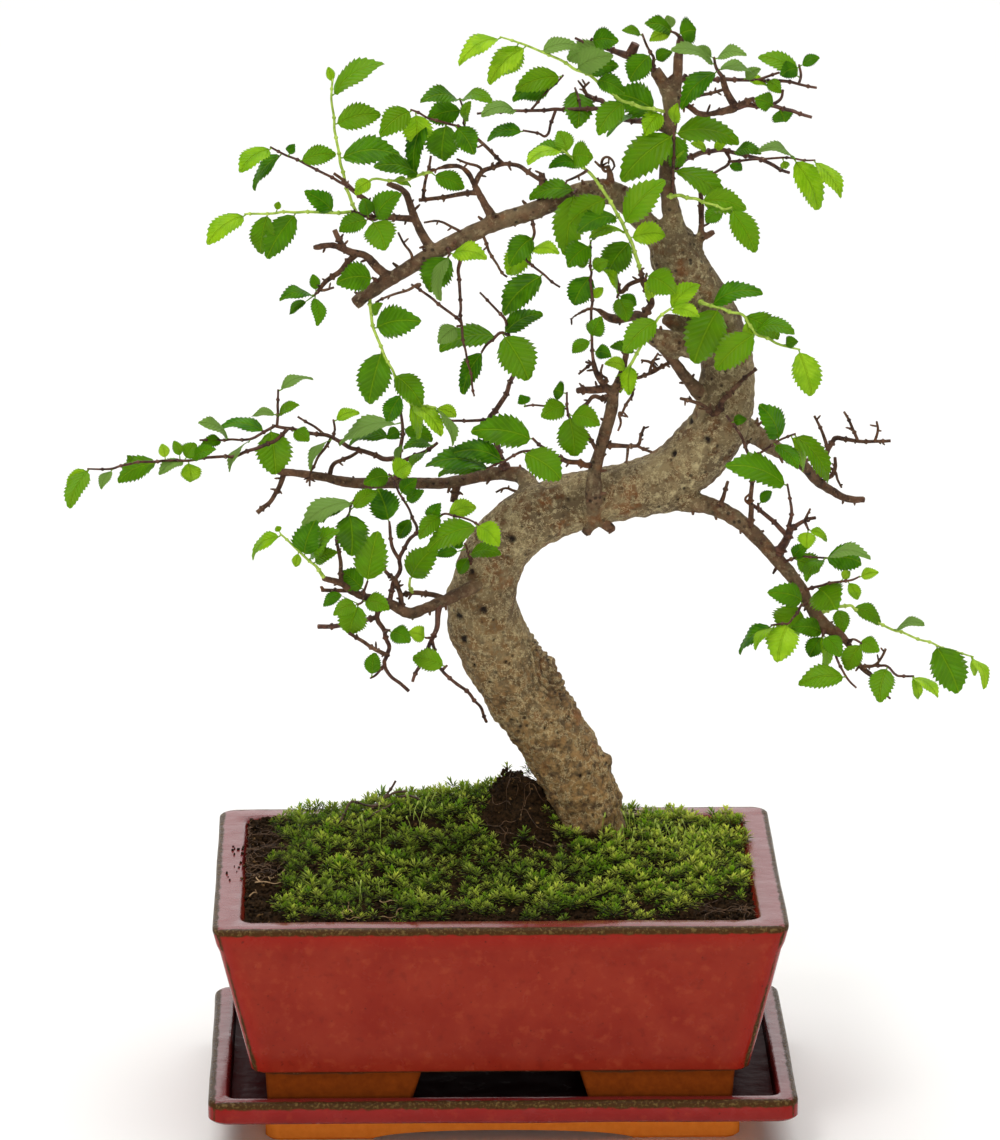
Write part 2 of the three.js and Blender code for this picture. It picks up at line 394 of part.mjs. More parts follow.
// Leafy sprays. Twigs are rows of [across, up, behind, radius], and the first one starts in
// the wood. Each leaf is [base across, base up, tip across, tip up, width], as it looks from the eye.
const SPRAYS = [
  ['spray_left_upright', [
    [[-48.6, 324, -14.4, 0.55], [-51.5, 331, -11, 0.55], [-54.5, 342, -8, 0.5], [-56.5, 354, -6, 0.45],
      [-57.5, 364.5, -5, 0.4], [-57, 372, -4, 0.35]],
  ], [
    [-57, 366, -40, 377, 7], [-56.2, 356, -41, 359, 8.5], [-55, 344, -34.5, 345, 9],
    [-57.3, 370, -58.5, 376, 3],
  ]],
  ['spray_left_rising', [
    [[-49.5, 332.4, -19.5, 0.55], [-55, 335.6, -22.5, 0.5], [-59.5, 338.2, -25, 0.45],
      [-66.7, 342, -28, 0.45], [-73.3, 345, -31, 0.4], [-78.8, 348, -34, 0.35]],
  ], [
    [-79, 347.7, -89, 338.5, 6.5], [-75, 345.5, -84, 333, 4], [-72.5, 345, -70.5, 349, 3.2],
    [-69.5, 341.8, -56.5, 345, 6.5],
  ]],
  ['spray_left_level', [
    [[-50.5, 325, -14, 0.55], [-59.4, 324.7, -16, 0.5], [-69.7, 324.8, -19, 0.45], [-77, 324.6, -22, 0.4],
      [-88, 324.2, -26, 0.35]],
  ], [
    [-88.5, 324.2, -100.5, 313.5, 7], [-80, 324.6, -82.5, 311, 8], [-70, 324.8, -80, 309, 9],
    [-77, 324.6, -76, 328.5, 2.4], [-57, 324.8, -66, 331.3, 7],
  ]],
  ['spray_left_inner', [
    [[-41, 323.2, -16, 0.6], [-43, 322, -20, 0.5], [-45.2, 322.6, -23, 0.4]],
  ], [
    [-43, 322.8, -33.5, 331.5, 8], [-44.5, 322.2, -54.5, 318.5, 6.5], [-43.8, 321.5, -39, 311.5, 10.5],
    [-45, 323, -46.5, 329.5, 5.5],
  ]],
  ['spray_left_green_twig', [
    [[-22.5, 339, -17.5, 0.55], [-33, 336, -20, 0.45], [-43.3, 336.5, -23, 0.4], [-47.7, 332.4, -25, 0.35]],
  ], [
    [-43.5, 336.5, -49.5, 331, 5], [-37, 336.3, -30, 334, 2.6], [-26.5, 338, -42.5, 340.5, 6.5],
    [-21.5, 337.5, -12, 333, 6.5],
  ]],
  ['spray_upper_left', [
    [[-9.3, 353.6, -13.6, 0.5], [-17, 356, -18, 0.45], [-24, 358, -22, 0.4], [-30, 361, -26, 0.35]],
    [[-11, 354.1, -14.6, 0.45], [-11.5, 360, -13, 0.4], [-13, 365, -11, 0.35]],
  ], [
    [-30.5, 361, -40.5, 352, 8.5], [-28, 360.5, -28, 349.5, 10], [-13, 365.5, -25.7, 364.3, 5.5],
    [-11.5, 361, -23.5, 357.5, 8.5], [-10.5, 356, -9.5, 363.5, 3.5], [-18, 355.8, -19, 343, 11],
    [-14.5, 355, -8, 345, 8], [-25.5, 357, -29, 340, 6.5],
    [-16, 365.5, -2.5, 364.5, 4],
  ]],
  ['spray_upper_back', [
    [[59, 353.5, 5, 1.3], [51, 356.6, 9, 1], [42, 358, 13, 0.9], [36, 361, 16, 0.75], [20, 361, 19, 0.6],
      [5, 360.5, 21, 0.5], [-7, 359.5, 23, 0.4]],
    [[38, 360.3, 15, 0.8], [36.5, 363.8, 16, 0.8], [30.7, 366.2, 18, 0.7]],
    [[20.5, 361, 19, 0.5], [17, 351.5, 17, 0.45], [9, 353.5, 14, 0.35]],
    [[12, 361, 20, 0.45], [16, 366, 19, 0.4], [23, 373, 17, 0.35]],
    [[29, 361, 17.5, 0.45], [28, 366, 22, 0.4], [27, 368.5, 25, 0.35]],
  ], [
    [23.4, 373.6, 7, 368, 8], [18.5, 369.5, 9, 365, 7], [7, 361.5, -5, 358.8, 5],
    [8.5, 353.7, -3.3, 350.5, 4.5],
    [27, 368.5, 28, 354.6, 10],
    [19.5, 368.5, 6, 364, 6],
  ]],
  ['spray_top_left_shoot', [
    [[58, 360, 3, 0.6], [50, 361.5, -3, 0.6], [43, 364, -5, 0.55], [40.6, 366, -5, 0.55],
      [33.6, 371.8, -6, 0.5],
      [27, 375, -7, 0.5], [21.6, 378.5, -9, 0.45], [13.6, 382, -12, 0.4], [9.6, 383.7, -14, 0.4],
      [1, 386.5, -18, 0.3]],
  ], [
    [0.5, 386.8, -13, 378, 6], [7.5, 384.5, 3, 374, 9], [10, 383, -2.5, 370.5, 7.5],
    [15, 381.8, 28, 382.3, 5],
    [27.5, 375.5, 39, 379.5, 8.5], [31, 373.5, 42, 376.3, 6], [33.5, 371, 44, 366.5, 6.5],
    [55.5, 361, 41, 366, 11], [44, 363.2, 35, 352, 8.5], [56, 360, 39, 351, 2.5], [57.5, 359.5, 51.5, 352, 7],
  ]],
  ['spray_top_back_twig', [
    [[54.7, 374.3, 3, 1.1], [50, 378, 6, 1], [44.5, 380, 9, 1.2], [36, 383, 13, 0.6], [27, 386, 16, 0.4]],
    [[46, 379.5, 8.5, 1.9], [48, 384, 8, 1.5]],
    [[32, 384.4, 14.5, 0.45], [33, 385.8, 13, 0.4]],
  ], [
    [32, 385, 42, 384.8, 7.5], [38, 382.4, 24.5, 378.3, 8],
  ]],
  ['spray_leader_front', [
    [[61.2, 331, 3.6, 0.6], [61.3, 340, 1, 0.55], [61.5, 347, 0, 0.5], [61.5, 353, -1, 0.45],
      [62.2, 357, -1.5, 0.35]],
  ], [
    [60.8, 352, 44, 336, 12], [61.3, 352.5, 62.5, 339, 7], [62, 355, 62.8, 362.5, 4.2],
    [62.5, 352.5, 83.5, 349, 8.5], [61.8, 339.5, 80, 327, 7.5], [61.5, 342, 65.5, 350, 4],
  ]],
  ['spray_right_hanging', [
    [[58.3, 330.3, 5, 0.8], [64, 330.3, 0, 0.6], [69.7, 329, -4, 0.5], [79, 325.3, -10, 0.45],
      [82, 326, -12, 0.35]],
  ], [
    [82, 325.7, 90, 310.5, 8.5], [79.5, 325, 73, 321, 5.5], [72.5, 333, 86.5, 325.3, 8.5],
  ]],
  ['spray_right_arm', [
    [[59.5, 338.5, 5, 1.6], [62.4, 340.4, 6, 1.1], [66, 343.6, 8, 0.9], [71, 345.4, 11, 0.85],
      [78.4, 346.4, 15, 0.8], [89.6, 343.6, 20, 0.7], [96, 341, 23, 0.65], [101.8, 338.2, 26, 0.55]],
    [[79.5, 346, 15.4, 0.6], [81, 342.3, 13, 0.5], [77, 339, 11, 0.45], [74.3, 337.5, 10, 0.4]],
    [[80.5, 342.2, 13, 0.5], [89, 343, 8, 0.45], [97, 343.4, 4, 0.4], [104, 343.1, 0, 0.35],
      [110.8, 342.6, -4, 0.3]],
  ], [
    [73.5, 346.5, 67.5, 348.5, 3.2], [74.5, 346.8, 79.5, 349, 3.2], [82, 346.5, 91.5, 345.3, 4.5],
    [103.5, 342.8, 112.5, 325.5, 9], [110.8, 342.5, 119, 329, 5.5], [99.5, 343.6, 100.5, 339.6, 3.2],
    [104, 343.4, 92, 346.7, 2.8], [80.5, 340.8, 85.5, 339.3, 3.6],
  ]],
  ['spray_apex', [
    [[63.8, 385.5, 3, 0.7], [62.2, 387.3, 1, 0.5], [60, 388.3, -2, 0.35]],
  ], [
    [61.5, 388.3, 51, 390.3, 5.5], [62.3, 387, 68.8, 388.5, 9], [60.5, 387.8, 53, 385, 4.5],
    [60.5, 388.8, 59, 393.6, 4],
  ]],
  ['spray_apex_left', [
    [[54.6, 374.2, 2, 0.7], [54.3, 379, -1, 0.5], [52, 383, -4, 0.45], [50.3, 387.3, -6, 0.4]],
  ], [
    [50.3, 387.3, 44, 388.7, 3.2], [53.2, 380.5, 46.5, 371.5, 8.5], [54.3, 378, 60.5, 381, 4.5],
  ]],
  ['spray_top_right', [
    [[78.3, 372, -10, 0.7], [76, 375.5, -12, 0.5], [75.3, 379, -14, 0.4]],
  ], [
    [75.5, 379.2, 85.5, 380.5, 4], [75, 379, 69, 382.7, 3.5], [75.7, 376.5, 60.5, 380.7, 4.2],
    [76.6, 375, 89, 373.5, 3.2], [76.3, 374.3, 64, 361.7, 7],
  ]],
  ['spray_top_right_back', [
    [[62, 371, 3.5, 1.4], [69, 371.7, 7, 0.9], [80, 371.3, 13, 0.7], [91, 371, 18, 0.6], [98, 370.7, 21, 0.6],
      [104.8, 369.5, 23, 0.5], [111, 368.2, 25, 0.45]],
    [[90.5, 371, 18, 0.5], [98, 373.6, 16, 0.4]],
    [[104.8, 369.6, 23, 0.5], [105.5, 372.5, 20, 0.45], [104.8, 376.3, 17, 0.35]],
  ], [
    [85.5, 371.5, 91, 374.7, 4], [86, 370.7, 93.5, 369, 3], [93, 370.6, 98.5, 366.7, 4.6],
    [106.5, 371.5, 91.5, 379.5, 6.5], [104.8, 375.5, 98.5, 372.5, 6], [105, 376.6, 111.5, 378.7, 4],
  ]],
  ['spray_top_right_low', [
    [[83.5, 361.5, -7.5, 1.2], [87, 362.3, -9, 0.9], [95.5, 362, -14, 0.7], [103, 360, -18, 0.6],
      [109.4, 357.8, -21, 0.5]],
    [[95, 362, -14, 0.6], [98.6, 364.4, -14, 0.5], [99.3, 367.6, -14, 0.45]],
  ], [
    [96.5, 362, 90, 364, 6.5], [98, 362, 100, 356.3, 7.5],
  ]],
  ['spray_bright_diagonal', [
    [[50, 303, -11.8, 0.6], [47.2, 313, -16, 0.6], [43.5, 321, -20, 0.55], [38, 330.5, -25, 0.5],
      [32.7, 338, -29, 0.5], [25.8, 344, -33, 0.4], [22.5, 346.8, -35, 0.3]],
  ], [
    [22.3, 346.7, 11, 341, 4.5], [24, 345.8, 10.8, 345.8, 4.5], [25.3, 344.6, 32.7, 343.8, 9],
    [25, 345, 21.5, 353, 6.5], [29.5, 341, 19, 341.3, 4.5], [38.6, 329.7, 25.5, 320.5, 9.5],
    [44.3, 320.3, 58.4, 335, 10], [46.3, 315.5, 58.5, 316.3, 7.5], [45.2, 317.3, 33, 316, 3.6],
    [46.5, 314.2, 38.5, 302.2, 10], [42, 322.2, 29, 318.3, 6.5],
  ]],
  ['spray_below_upper_branch', [
    [[27.5, 332, -7, 0.7], [27.5, 332.5, -11, 0.5], [26.8, 331, -15, 0.4]],
  ], [
    [26.8, 330.5, 24, 309.5, 10.5], [26.8, 333.3, 12, 329, 6.2],
  ]],
  ['spray_centre_upright', [
    [[33.7, 271.5, -18, 0.55], [33.2, 280, -19.5, 0.5], [33, 290, -20, 0.5], [33, 303, -19.5, 0.45],
      [32.7, 314.5, -18, 0.35]],
  ], [
    [33.2, 279.6, 36.5, 286.4, 6.5], [33.2, 279, 26.5, 274.5, 4.5], [33.6, 275, 39.5, 273.2, 5],
    [33, 293, 37, 297.3, 3.2], [32.8, 313, 24.5, 305, 8.5], [33, 302.5, 27, 291.5, 8.5],
    [33, 303.8, 38.8, 307, 5], [32.8, 306, 27.5, 307, 4.5], [32.7, 314.3, 36, 318.3, 2.6],
  ]],
  ['spray_shoulder_front', [
    [[51, 299, -10.3, 0.6], [52.3, 302.5, -15, 0.4]],
  ], [
    [52.5, 303, 61.5, 295.8, 9.5], [51.8, 301, 54, 292.5, 4.2],
  ]],
  ['spray_centre_dark', [
    [[42.9, 296.5, -9, 0.6], [42.3, 295, -12, 0.45], [42, 294, -14, 0.4]],
  ], [
    [42, 294.6, 45.5, 285.5, 7], [42.2, 295, 48.5, 291, 4.5], [42.3, 295.3, 37.5, 303.5, 3],
  ]],
  ['spray_under_arch', [
    [[12, 323, -10, 0.6], [13, 317, -13, 0.5], [10, 308, -16, 0.45], [16.5, 302.2, -19, 0.4],
      [22, 297.8, -21, 0.35]],
  ], [
    [12.8, 316, 5, 306.5, 8.5], [11.8, 313.5, 4, 302, 8.5], [12, 311, 21.5, 309.3, 4.6],
    [16, 302.5, 2, 288.5, 9.5],
  ]],
  ['spray_left_of_arch', [
    [[-17, 312.5, -14.5, 0.7], [-16.5, 310, -20, 0.45], [-17, 309, -23, 0.35]],
  ], [
    [-16, 309.8, -4, 308, 6.5], [-17.5, 309, -23.5, 297.5, 10.5], [-16, 308.5, -21, 294.3, 4.2],
  ]],
  ['spray_fan', [
    [[3, 230.5, 22, 1.5], [0, 241, 16, 1.1], [-2.5, 251, 10, 0.9], [2, 257.5, 6, 0.8], [5.8, 266.5, 2, 0.7],
      [5, 275, -2, 0.6], [2.7, 286.5, -6, 0.5], [-6, 296, -9, 0.35]],
    [[-2.5, 250.5, 10, 0.6], [-8, 250, 8, 0.5], [-19.5, 250.5, 4, 0.4]],
    [[4, 280.5, -4, 0.5], [1, 281.5, -8, 0.5], [-3.5, 277.5, -11, 0.45], [-5.5, 274.5, -13, 0.35]],
  ], [
    [-0.5, 281.5, -19.3, 274.5, 7.5], [2, 282, 15.5, 287.5, 6.5], [2, 281, 10.8, 265, 12.5],
    [-4.8, 275.3, -11.5, 260, 6.5],
  ]],
  ['spray_hanging_thread', [
    [[-12, 315, -13.5, 0.9], [-13.6, 304, -16, 0.6], [-12.7, 290, -17, 0.5], [-12.4, 284.3, -17, 0.5],
      [-11, 275, -16, 0.4], [-8, 258.8, -15, 0.35]],
    [[-12.4, 285, -17, 0.5], [-22.2, 293.5, -19, 0.5], [-30, 299, -20, 0.4]],
    [[-12.4, 284, -17, 0.5], [-14, 284, -20, 0.35]],
  ], [
    [-14, 284, -20.2, 278, 6.5],
  ]],
  ['spray_far_left_dark', [
    [[-62.5, 297, -29.7, 0.6], [-64, 295, -32, 0.35]],
  ], [
    [-64, 295.3, -75.5, 293.5, 4.2], [-63.5, 296.3, -64.3, 302.5, 3.6], [-64, 294.7, -63, 284.7, 4.8],
    [-67, 293, -72, 288.5, 3],
  ]],
  ['spray_round_leaf', [
    [[-41.5, 300, -19, 0.6], [-43.5, 301.5, -24, 0.35]],
  ], [
    [-43.6, 301.6, -56, 299.8, 9.7],
  ]],
  ['spray_long_hanging', [
    [[-44.5, 295, -18.5, 0.6], [-44, 288, -21, 0.5], [-42.4, 281, -22, 0.45], [-39.7, 274, -23, 0.45],
      [-36.4, 267.8, -24, 0.4], [-33.7, 260.1, -25, 0.4], [-30.3, 256.3, -26, 0.35],
      [-21.5, 254.8, -29, 0.3]],
  ], [
    [-42.8, 283.5, -28, 285.5, 10.5], [-40.5, 275.5, -45, 256.5, 11], [-36.2, 267.2, -26.5, 255.3, 8.5],
    [-34, 259.5, -38.5, 249.5, 6.5], [-30.2, 256, -20, 244.7, 5.8], [-31, 256.5, -28.5, 244, 4.2],
    [-43.7, 287.5, -40, 292.3, 3.2], [-21.5, 254.8, -14.3, 251.5, 4.5], [-22, 254.5, -15.3, 242, 3],
  ]],
  ['spray_long_left', [
    [[-36, 228, 28, 1.3], [-33.5, 234, 26, 1.1], [-35, 236, 25.5, 1], [-40, 236.3, 26, 0.9],
      [-46, 238.8, 27, 0.8], [-51.5, 240.3, 28, 0.75], [-60, 245, 30, 0.7], [-67.3, 246, 30, 0.65],
      [-74.5, 247.6, 29, 0.6], [-79, 248.6, 28, 0.5]],
    [[-34, 235, 25.7, 0.9], [-26, 238.5, 22, 0.7], [-21, 242, 20, 0.55]],
    [[-34.5, 236, 25.5, 0.8], [-33.5, 243, 24, 0.7], [-33.3, 249, 23, 0.55], [-34.5, 257, 22, 0.4]],
    [[-60.5, 245, 30, 0.5], [-64, 248, 29, 0.45], [-70, 251.7, 28, 0.4]],
    [[-73.5, 247.4, 29, 0.65], [-78, 243, 26, 0.6], [-84.5, 240.3, 23, 0.6], [-93, 237.3, 18, 0.55],
      [-100, 237.2, 13, 0.5], [-108.5, 236, 7, 0.45], [-117.5, 236, 1, 0.45], [-128.7, 235, -6, 0.4],
      [-135, 233.3, -10, 0.4], [-144, 233.2, -16, 0.3]],
    [[-78, 248.4, 28.5, 0.5], [-86, 243.9, 25, 0.45], [-94, 243.6, 20, 0.4], [-104.5, 243.4, 14, 0.35]],
    [[-77.3, 248.5, 28.7, 0.5], [-77, 256, 27, 0.45], [-76.8, 261.5, 26, 0.35]],
    [[-57.5, 243.6, 29.2, 0.5], [-57, 247, 25, 0.4], [-57.5, 250.5, 22, 0.35]],
  ], [
    [-144, 233.3, -150, 219, 6.5], [-144.3, 233.5, -150.5, 226, 4.5], [-135.2, 233.5, -139, 225.8, 3.6],
    [-119, 235.8, -132.5, 228.5, 7.5], [-128, 235.2, -130, 238, 2.2], [-116.5, 236.3, -117.7, 242, 3.8],
    [-109.5, 236, -118.5, 231.5, 4.2], [-108.5, 235.8, -107.5, 228.5, 7], [-107.5, 236.2, -99.5, 240, 4.6],
    [-110, 236.4, -106, 242, 6], [-94, 244, -104.7, 249, 4], [-81.5, 247.5, -96.5, 246.8, 4.2],
    [-96, 243.5, -103.5, 241.5, 4.2], [-79.8, 248, -78, 232, 12], [-86.5, 243.6, -93.2, 231.8, 2.4],
    [-76.7, 261, -65, 265.6, 3.2], [-76.9, 252, -70, 255.8, 3.6], [-77.1, 252.5, -86, 252, 2.8],
    [-72, 247, -66.3, 243, 5.5], [-57.5, 250, -48.5, 253.3, 4], [-58, 244, -66, 233.5, 2.6],
    [-36, 249, -54.5, 241, 5.5], [-33.4, 246.5, -38.5, 244, 4.6], [-33, 247.5, -23.5, 243, 6],
    [-33.5, 242, -35, 235.8, 2.6],
    [-38.5, 244, -52, 242.5, 4.5], [-23, 242.5, -32.5, 240, 4], [-111.5, 238, -113.5, 243, 3.5],
    [-21, 234.5, -30.5, 231.5, 3],
  ]],
  ['spray_middle', [
    [[19.6, 237.4, -14.6, 0.7], [16.5, 240, -16.8, 0.55], [12.5, 243.5, -21, 0.4]],
    [[16.6, 239.8, -16.7, 0.5], [8.8, 238.7, -20, 0.45], [2, 235, -23, 0.4], [-4, 232.3, -25, 0.35]],
  ], [
    [12.5, 243.5, -8, 246, 10.5], [9, 238.8, 22, 229, 10.5], [2.5, 235.8, -15.8, 238.5, 7.5],
    [-4, 232.5, -20, 229.5, 5], [-2.5, 233.3, -24.5, 232.5, 7],
  ]],
  ['spray_middle_upper', [
    [[26, 250, -12.7, 0.5], [24.7, 254, -15.5, 0.4], [24.5, 260, -18, 0.35]],
    [[24.8, 254, -15.5, 0.4], [16, 255.2, -19, 0.35], [9.5, 255, -22, 0.3]],
  ], [
    [24.5, 255.3, 15.8, 251, 7.5], [24.6, 259.5, 20, 260.8, 6.5], [10, 255, 8.5, 258.8, 4.5],
    [25.2, 251.5, 27, 237, 10.5], [25.5, 252, 36, 248.5, 7.5],
  ]],
  ['spray_centre_bright', [
    [[43.8, 265.5, -11.5, 0.6], [47.2, 270.5, -16, 0.5], [51.7, 278.8, -19, 0.5], [56.2, 286.2, -21, 0.45],
      [60.7, 289.9, -23, 0.35]],
  ], [
    [56, 286.8, 45, 275, 8.5], [49.2, 274.2, 40, 276, 3.8], [60.5, 289.8, 70.5, 286.5, 4.8],
    [60, 289.7, 70.5, 298.5, 6.5], [46.8, 270.3, 46.5, 259.5, 5.5], [45.5, 268, 42.8, 259.8, 3.8],
    [45.8, 268.6, 38, 270.3, 4.4],
  ]],
  ['spray_trunk_right', [
    [[70.5, 292.8, 3, 0.8], [72.5, 291.7, -4, 0.55], [78.8, 290, -8, 0.5], [86, 287.6, -11, 0.45],
      [91, 280.5, -13, 0.45], [98, 277.3, -15, 0.4], [103, 275.8, -17, 0.35], [106.3, 275, -18, 0.3]],
  ], [
    [77.5, 290, 69.5, 271, 13.5], [90.5, 281, 77.5, 268.5, 10.5], [74.5, 291.5, 92, 296, 6.5],
    [86, 287.6, 98, 279.7, 8], [90.5, 282.5, 103.5, 281.5, 5.2], [87.5, 286, 88.5, 278, 4.2],
    [100.3, 276.7, 105, 278, 4.2], [106.5, 274.6, 110.3, 259.3, 9.5],
  ]],
  ['spray_right_middle', [
    [[89.6, 228.8, -8.2, 0.65], [89, 236, -9.5, 0.55], [86, 243.7, -10, 0.45], [80.5, 251.5, -8, 0.4]],
    [[89, 235.8, -9.5, 0.5], [99, 242.2, -13, 0.4], [105, 244.7, -15, 0.35]],
  ], [
    [99.3, 242.3, 91.8, 255, 8.5], [105, 244.6, 116.5, 227.5, 7], [97.5, 241.2, 105.5, 232, 5.5],
    [103.5, 244, 107.5, 231.5, 4.2], [82.5, 249, 87.5, 250, 3.6],
  ]],
  ['spray_right_spur', [
    [[99, 198.5, -7, 1.7], [101.4, 204.8, -9, 1.4], [103.4, 210, -11, 1.2]],
    [[102.5, 207.8, -10.2, 0.9], [100, 210.3, -8, 0.8], [95.7, 214.5, -5, 0.7], [90, 219, -3.2, 0.6]],
    [[103, 209, -10.6, 1], [107, 212.3, -14, 0.7], [112.3, 214.2, -17, 0.6]],
    [[103.3, 209, -10.8, 0.8], [103.8, 218, -16, 0.5], [102.3, 226.5, -19, 0.35]],
    [[108.6, 212.8, -14.9, 0.6], [110, 209.6, -18, 0.35]],
    [[92.4, 217.1, -4.1, 0.5], [92, 219.5, -7, 0.35]],
  ], [
    [102.3, 226.3, 80.5, 232, 9.5], [92, 219.4, 96.7, 223.8, 3.6], [110, 209.8, 109.6, 203.3, 6.2],
    [109.6, 210, 116.5, 205.8, 3],
  ]],
  ['spray_right_upper', [
    [[100.5, 197.8, -8.5, 0.6], [107, 200.2, -14, 0.4], [116.5, 199.5, -18, 0.35]],
  ], [
    [103.8, 199.5, 109.5, 204, 4.8], [105, 199.3, 113.3, 195, 7.5], [116, 199.6, 131, 200.5, 4.2],
    [115.5, 198.3, 129, 197.5, 9],
    [121, 197.5, 109.5, 191.5, 4.5],
  ]],
  ['spray_right_outer', [
    [[108.5, 187.5, -12.3, 0.6], [115, 189.5, -17, 0.45], [120.4, 190.7, -21, 0.4], [125.4, 191.4, -24, 0.4],
      [128.3, 192.7, -26, 0.3]],
  ], [
    [128.3, 192.8, 134.7, 194, 4], [124, 191.1, 127.7, 184.5, 4.2], [112.6, 191.3, 119.5, 181, 12.5],
    [121.5, 191, 124.7, 194.7, 3.2],
  ]],
  ['spray_right_lower', [
    [[110.3, 183, -13, 0.7], [107.5, 182, -20, 0.45], [105, 178, -25, 0.4], [103, 175.5, -28, 0.35],
      [97, 175, -31, 0.3]],
  ], [
    [107.8, 184, 97, 186.5, 8], [107, 182.3, 101.5, 172, 12], [103.5, 175.5, 100, 162.7, 11],
    [97, 175, 86.3, 164.8, 4.2], [98.5, 175, 92, 166, 3.2],
  ]],
  ['spray_right_knob', [
    [[116, 173, -16.5, 0.7], [115.5, 171, -22, 0.45]],
  ], [
    [115, 172.5, 105, 174, 6.5], [115, 170.7, 111, 163.5, 6.2], [116, 170.5, 121.5, 163.8, 6.5],
    [115.4, 170, 116.5, 159.5, 4.2],
  ]],
  ['spray_right_side', [
    [[124.3, 168, -17.8, 0.6], [126.5, 169.7, -23, 0.4], [129.5, 168, -26, 0.35]],
  ], [
    [128, 169.3, 135, 165.3, 6], [129.3, 167.7, 124, 158.7, 7.2],
  ]],
  ['spray_right_under', [
    [[118, 172.5, -16.2, 0.7], [120.4, 163, -23, 0.45], [124.7, 154.8, -26, 0.4], [127.6, 151.8, -28, 0.35]],
  ], [
    [124, 156, 107.5, 152.8, 7.8],
  ]],
  ['spray_far_right', [
    [[113, 178.7, -13.8, 0.8], [120, 181.5, -11, 0.55], [125.5, 182, -8, 0.5], [133.4, 176.6, -4, 0.45],
      [141.3, 172.7, 0, 0.45], [151.4, 169, 5, 0.4], [160.7, 165.8, 10, 0.35], [169, 163, 14, 0.3]],
  ], [
    [120.5, 181.3, 122.5, 172.3, 5.6], [126, 182, 135.5, 175.3, 5.6], [140.5, 173.2, 151.5, 174, 3.6],
    [156, 168.6, 163.5, 151, 12], [169, 163.2, 173.7, 152.3, 3.6], [168.3, 163.2, 169.5, 156.3, 3],
  ]],
  ['spray_tip_right', [
    [[133.5, 160, -22, 0.55], [138.5, 159.7, -26, 0.4], [142, 156.3, -28, 0.4], [148, 156, -31, 0.35]],
  ], [
    [138.5, 159.6, 136, 146.5, 8.5], [147.8, 156.1, 149.3, 148, 3.6], [148, 156.2, 156, 147.8, 4],
  ]],
  ['spray_left_rising_twigs', [
    [[-38, 184.5, -14.5, 0.9], [-36.6, 191.5, -12, 0.8], [-34.2, 196, -10, 0.75], [-34.5, 200, -9, 0.7],
      [-31, 207, -7, 0.65], [-28.3, 210, -6.2, 0.55], [-31, 218, -9, 0.4], [-34.4, 223.7, -11, 0.4],
      [-37.5, 230.5, -13, 0.35]],
    [[-34.4, 199.5, -9, 0.7], [-36.9, 204, -10, 0.6], [-37.8, 211, -11.7, 0.5], [-38, 213.5, -15, 0.35]],
    [[-30.6, 207.5, -6.9, 0.6], [-24, 213, -14, 0.4], [-18.5, 216.3, -17, 0.4], [-11, 214.5, -21, 0.35],
      [-6, 211.5, -24, 0.3]],
  ], [
    [-37.4, 230.3, -46.5, 227.5, 6.6], [-37.2, 230, -30.7, 234.3, 7.5], [-34, 223.5, -28.5, 228.5, 5.6],
    [-38, 213.2, -42, 225, 10], [-24, 213.3, -20.5, 219.5, 5.2], [-18, 216.3, -8, 218.5, 6.2],
    [-7.5, 212.5, 0.8, 204.8, 7.5], [-6.5, 211.8, -24, 203.3, 8.6], [-19.5, 215.8, -27.5, 207.3, 6.2],
    [-30, 215, -34.5, 207.5, 5], [-31.5, 221, -26, 224.5, 4.5],
  ]],
  ['spray_trunk_left', [
    [[-9.4, 197.8, 5, 0.8], [-10, 201, -4, 0.45], [-11.4, 205.5, -8, 0.35]],
  ], [
    [-10.2, 201.5, 0.8, 201.5, 5.4], [-10, 200.8, -13.3, 194.5, 4.6], [-11.2, 204.5, -18.5, 207, 5],
    [-14, 202.5, -21, 201, 4],
  ]],
  ['spray_lifted_leaf', [
    [[-30, 187.5, -2.2, 0.7], [-31, 190, -7, 0.45], [-30.7, 193, -9, 0.35]],
  ], [
    [-30.7, 193.3, -21.5, 204, 9.5],
  ]],
  ['spray_two_tone', [
    [[-47.5, 186.8, -18.5, 0.8], [-46.8, 189, -23, 0.45], [-45.8, 191.8, -26, 0.35]],
    [[-47, 188.5, -22.5, 0.45], [-47.5, 184.5, -25, 0.4], [-49.5, 183.3, -27, 0.35]],
  ], [
    [-46, 191.5, -42.2, 209.6, 11], [-47, 188.5, -55, 195, 8], [-47.5, 184.8, -38.8, 182, 6.6],
    [-49, 183.5, -52, 173.2, 9.5], [-49.5, 183.5, -57.3, 180, 5.6],
    [-55, 187, -61, 183, 4],
  ]],
  ['spray_left_low_end', [
    [[-61, 193, -24.7, 0.7], [-64, 197.5, -28, 0.45], [-68, 201, -31, 0.4], [-71, 204, -33, 0.4],
      [-76.5, 209.3, -36, 0.3]],
  ], [
    [-68, 201.3, -64.5, 213, 9.5], [-76, 209, -87, 201, 4.2], [-66.5, 199.8, -55, 209.5, 6.2],
    [-70, 203, -71, 197.3, 3.2], [-65, 198.5, -57, 202.5, 5.2], [-76.5, 209.3, -77.8, 212, 2.4],
  ]],
  ['spray_left_arching', [
    [[-56.5, 206, -15.4, 0.6], [-55.5, 212, -19, 0.4], [-52, 217, -22, 0.35], [-50.5, 221.5, -24, 0.3]],
  ], [
    [-50.7, 221.5, -69.5, 210.5, 6.8], [-51.5, 218, -42.3, 224.5, 5.4], [-52, 217, -51.5, 201.5, 11],
    [-46, 218.5, -61.5, 214, 3.5],
  ]],
  ['spray_hanging_outer', [
    [[-41.5, 184.3, -16, 1.1], [-42.5, 178.3, -18, 0.9], [-39.8, 173.4, -20, 0.8], [-38.2, 167.8, -22, 0.75],
